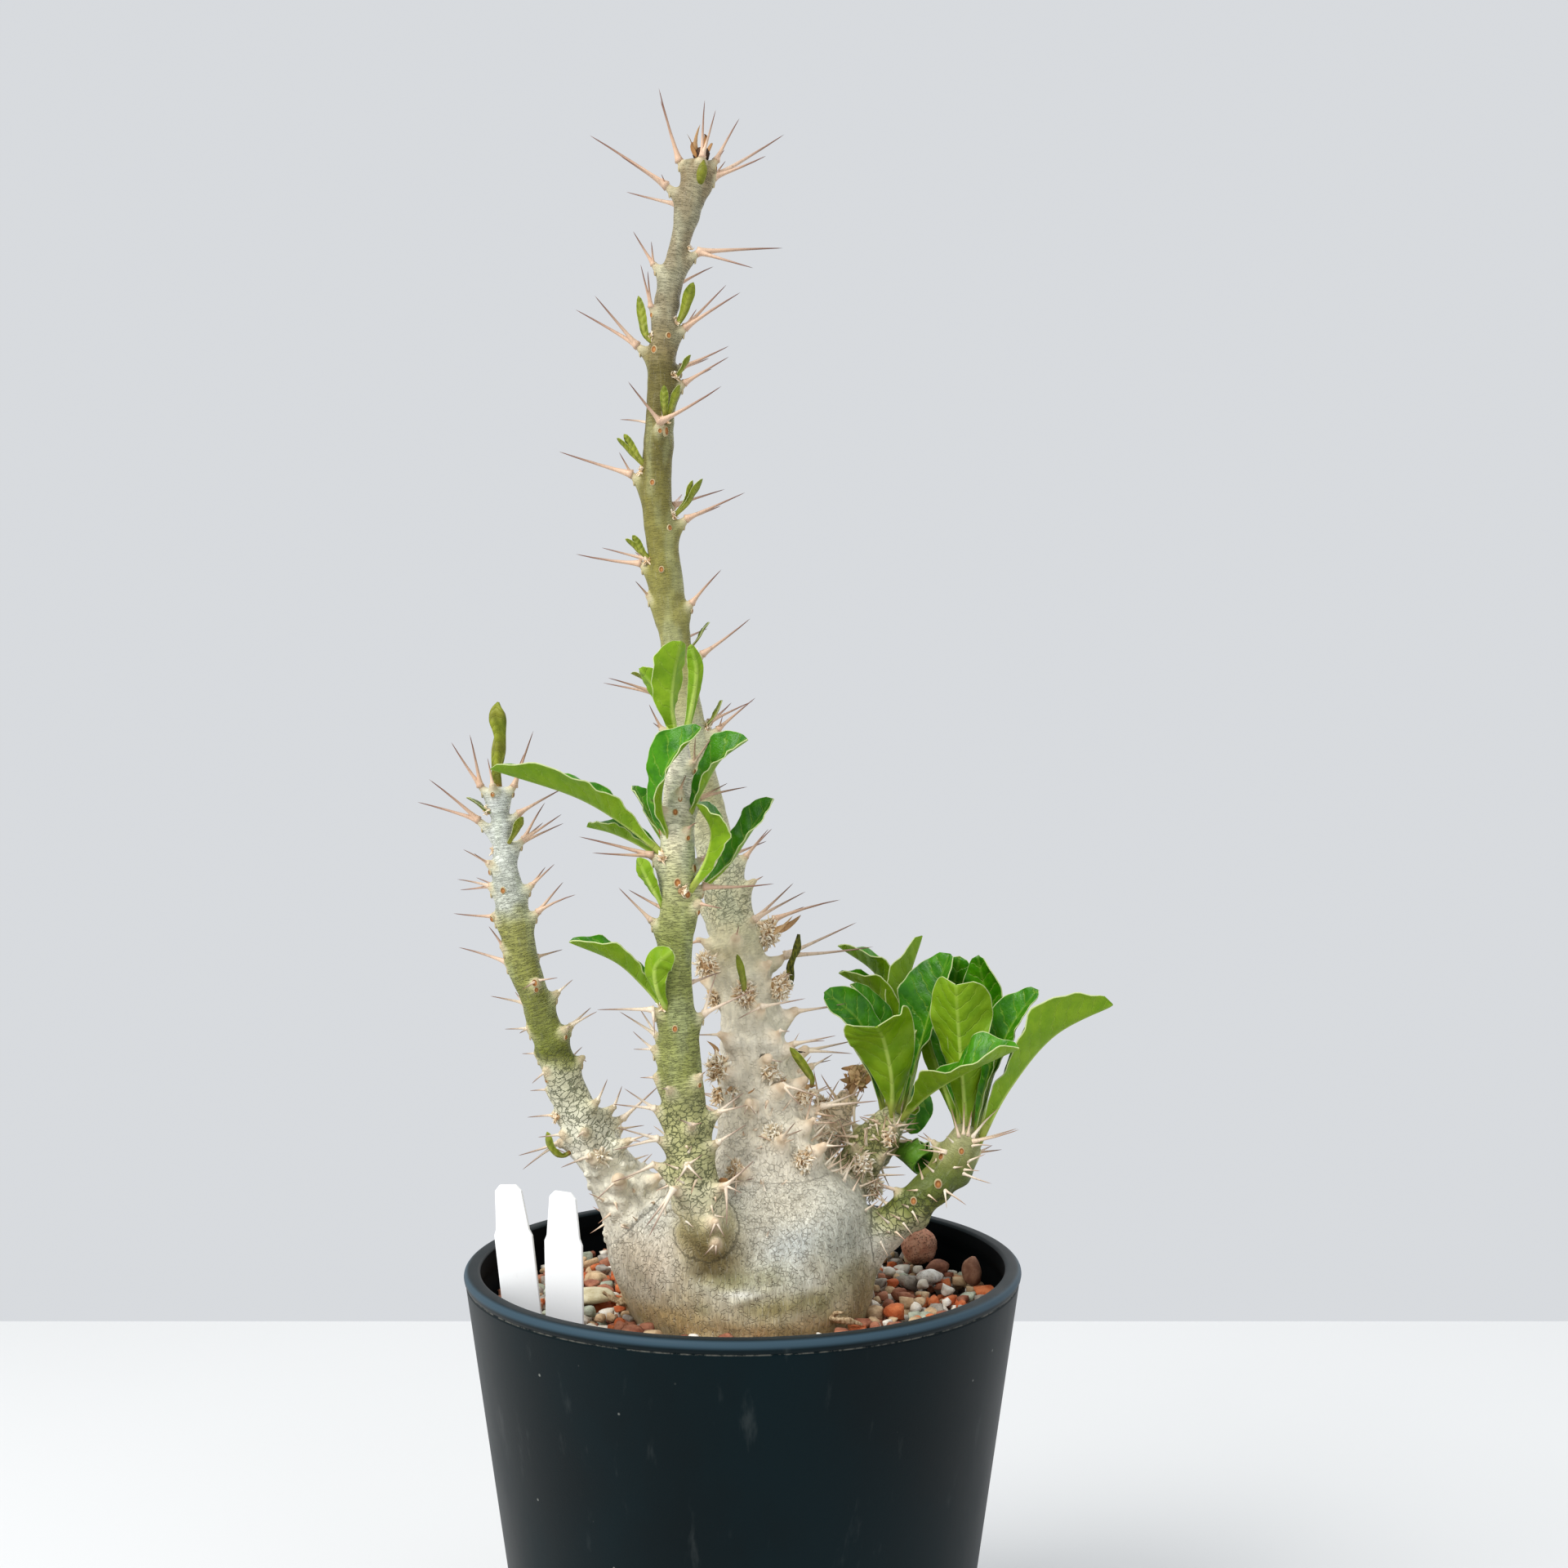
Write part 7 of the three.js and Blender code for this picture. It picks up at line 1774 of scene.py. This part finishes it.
innerAt = potOuter(gravelTop) - pot["wall"]
share = np.linspace(0, 1, gravel["rows"])
bedRadius = innerAt - 0.35 - (1 - share) * (innerAt - 12)
around = gravel["around"]
turn = turnsOf(around)
bedX = bedRadius[:, None] * np.cos(turn)
bedY = bedRadius[:, None] * np.sin(turn)
flat = np.stack([bedX.ravel(), bedY.ravel(), 0 * bedX.ravel()], -1)
bedZ = gravel["fines"] + 0.9 * noiseAt(flat, 0.35, 50) + 0.5 * noiseAt(flat, 1.0, 51)
bed = np.stack([flat[:, 0], flat[:, 1], bedZ], -1)
skirtProfile = [[potOuter(100) - 2.8, 100.0], [potOuter(50) - 2.8, 50.0], [potOuter(4) - 3.4, gravel["foot"]]]
skirt = lathe(skirtProfile, around)[0]
bedPoints = np.concatenate([bed, skirt, [[0, 0, gravel["fines"]], [0, 0, gravel["foot"]]]])
rings = gravel["rows"] + len(skirtProfile)
bedFaces = [ringFaces(rings, around, True), fan(0, around, len(bedPoints) - 2),
            fan((rings - 1) * around, around, len(bedPoints) - 1, True)]
finesMaterial = stoneMaterial("fines", (74, 56, 44), (116, 92, 72), (150, 128, 104), 0.95, 1.2, 0.4, 0.0008)
bedPiece = makePiece("gravel_bed", bedPoints, bedFaces, [finesMaterial])
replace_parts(bedPiece, "gravel")


def clearOfThings(x, y, radius, z):
    if not caudexClear(x, y, 0.55 * radius - 0.3, z):
        return False
    for lx, ly, lz, turnBy, lean, back in labels.values():
        c, s = math.cos(math.radians(turnBy)), math.sin(math.radians(turnBy))
        across = (x - lx) * c + (y - ly) * s
        beside = -(x - lx) * s + (y - ly) * c
        if abs(across) < labelForm["width"] / 2 + 0.5 * radius and abs(beside) < 0.5 + 0.75 * radius:
            return False
    for sx, sy, size, turnBy in stones.values():
        if math.hypot(x - sx, y - sy) < 0.6 * size[0] + 0.6 * radius and z > 127:
            return False
    return True


# Throws pebbles until a layer is full: each keeps clear of the others by a share of both radii
def pebbleLayer(level, count, close):
    found = np.zeros((0, 4))
    tries = 0
    while len(found) < count and tries < gravel["tries"]:
        tries += 1
        fullness = tries / gravel["tries"]
        larger = (gravel["large"] - gravel["small"]) * gravelDraw.random() ** 1.6
        radius = gravel["small"] + larger * (1 - 0.7 * fullness)
        reach = (innerAt - gravel["wallGap"] - 0.75 * radius) * math.sqrt(gravelDraw.random())
        angle = 2 * math.pi * gravelDraw.random()
        x, y = reach * math.cos(angle), reach * math.sin(angle)
        gaps = np.hypot(found[:, 0] - x, found[:, 1] - y) - close * (found[:, 3] + radius)
        if (len(found) == 0 or gaps.min() > 0) and clearOfThings(x, y, radius, level):
            found = np.concatenate([found, [[x, y, level + 0.35 * gravelDraw.normal(), radius]]])
    return found


# A pebble for the heaps: a block of 54 faces, rounded a little by its fourth-power radius
def cobble():
    steps = [-1, -0.36, 0.36, 1]
    index, at, faces = {}, [], []
    for axis in range(3):
        for sign in (-1, 1):
            for p in range(3):
                for q in range(3):
                    ring = []
                    for du, dv in ((0, 0), (1, 0), (1, 1), (0, 1)):
                        corner = [0.0, 0.0, 0.0]
                        corner[axis] = float(sign)
                        corner[(axis + 1) % 3] = steps[p + du]
                        corner[(axis + 2) % 3] = steps[q + dv]
                        key = tuple(corner)
                        if key not in index:
                            index[key] = len(at)
                            at.append(corner)
                        ring.append(index[key])
                    faces.append(ring if sign > 0 else ring[::-1])
    at = np.array(at)
    return at / (np.sum(at**4, axis=1) ** 0.25)[:, None] * 0.92, np.array(faces)


pebbleColours = {
    "tan": (0.25, (178, 146, 110), (214, 186, 148), (130, 102, 76)),
    "rosy": (0.27, (142, 86, 64), (178, 120, 92), (100, 62, 48)),
    "grey": (0.12, (132, 124, 114), (176, 168, 156), (92, 86, 80)),
    "orange": (0.15, (178, 84, 42), (212, 124, 76), (134, 66, 42)),
    "white": (0.16, (224, 214, 196), (246, 242, 232), (182, 168, 148)),
    "dull_green": (0.05, (150, 156, 136), (184, 190, 170), (110, 112, 92)),
}
layers = np.concatenate([pebbleLayer(gravel["lower"], gravel["lowerCount"], 0.8),
                         pebbleLayer(gravel["upper"], gravel["upperCount"], 0.92)])
base, cobbleFaces = cobble()
kinds = gravelDraw.choice(len(pebbleColours), len(layers), p=[look[0] for look in pebbleColours.values()])
skew = gravelDraw.normal(0, 0.17, (len(layers), 3, 6))  # taper and bend of each stone
pairs = np.concatenate([base * np.roll(base, -1, axis=1), base**2], axis=1)
shapes = base[None] + np.einsum("nkj,pj->npk", skew, pairs)
shapes = shapes + gravelDraw.normal(0, 0.035, shapes.shape)
stretch = gravelDraw.uniform([0.85, 0.62, 0.55], [1.15, 0.95, 0.8], (len(layers), 3))
spins = gravelDraw.uniform(0, 360, (len(layers), 2))
cobbles = []
for shape, size, (spin, tip), (x, y, z, radius) in zip(shapes, stretch, spins, layers):
    body = turnAbout(turnAbout(shape * size * radius, "x", 0.12 * (tip - 180)), "z", spin)
    cobbles.append(body + [x, y, z])
cobbles = np.array(cobbles)
for index, (name, look) in enumerate(pebbleColours.items()):
    chosen = cobbles[kinds == index]
    heapFaces = repeated(cobbleFaces, len(chosen), len(base))
    heapLook = stoneMaterial("pebbles " + name, *look[1:], 0.85)
    heap = makePiece("pebbles_" + name, chosen.reshape(-1, 3), [heapFaces], [heapLook])
    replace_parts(heap, "gravel")
print("pebbles:", len(layers))

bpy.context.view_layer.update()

# Stage: a pale floor with a straight back edge, a pale backdrop and soft light from the upper left
stage = dict(back=420.0, side=2600.0, front=2600.0, camera=(0.011, -0.5, 0.269), lens=42.19)
corners = np.array([[-stage["side"], -stage["front"], 0], [stage["side"], -stage["front"], 0],
                    [stage["side"], stage["back"], 0], [-stage["side"], stage["back"], 0]]) * mm
floorMesh = bpy.data.meshes.new("floor")
floorMesh.from_pydata(corners.tolist(), [], [[0, 1, 2, 3]])
floor = bpy.data.objects.new("floor", floorMesh)
bpy.context.scene.collection.objects.link(floor)
material, tree, surface = newMaterial("pale floor", 0.6, 0.3)
cloud = grain(tree, objectPlace(tree), 3.0, 3.0, 0.5)
tree.links.new(mixed(tree, cloud, (214, 215, 215), (221, 222, 222)), surface.inputs["Base Color"])
floorMesh.materials.append(material)

world = bpy.data.worlds.new("pale room")
world.use_nodes = True
world.node_tree.nodes["Background"].inputs["Color"].default_value = paint(232, 235, 239)
world.node_tree.nodes["Background"].inputs["Strength"].default_value = 0.85
scene = bpy.context.scene
scene.world = world
lamps = {
    "key": dict(place=(-0.8, -0.75, 1.25), size=0.8, power=23.0, tone=(1.0, 0.985, 0.96)),
    "fill": dict(place=(0.95, -0.7, 0.6), size=1.0, power=2.4, tone=(0.95, 0.97, 1.0)),
    "rim": dict(place=(0.5, 0.9, 0.9), size=0.8, power=3.0, tone=(1.0, 1.0, 1.0)),
}
for name, setting in lamps.items():
    lamp = bpy.data.lights.new(name, "AREA")
    lamp.energy = setting["power"]
    lamp.size = setting["size"]
    lamp.color = setting["tone"]
    lampObject = bpy.data.objects.new(name, lamp)
    lampObject.location = setting["place"]
    aim = Vector((0, 0, 0.2)) - Vector(setting["place"])
    lampObject.rotation_euler = aim.to_track_quat("-Z", "Y").to_euler()
    scene.collection.objects.link(lampObject)
camera = bpy.data.cameras.new("camera")
camera.sensor_width = 36
camera.lens = stage["lens"]
cameraObject = bpy.data.objects.new("camera", camera)
cameraObject.location = stage["camera"]
cameraObject.rotation_euler = (math.radians(90), 0, 0)
scene.collection.objects.link(cameraObject)
scene.camera = cameraObject
scene.view_settings.view_transform = "Standard"
scene.view_settings.look = "None"
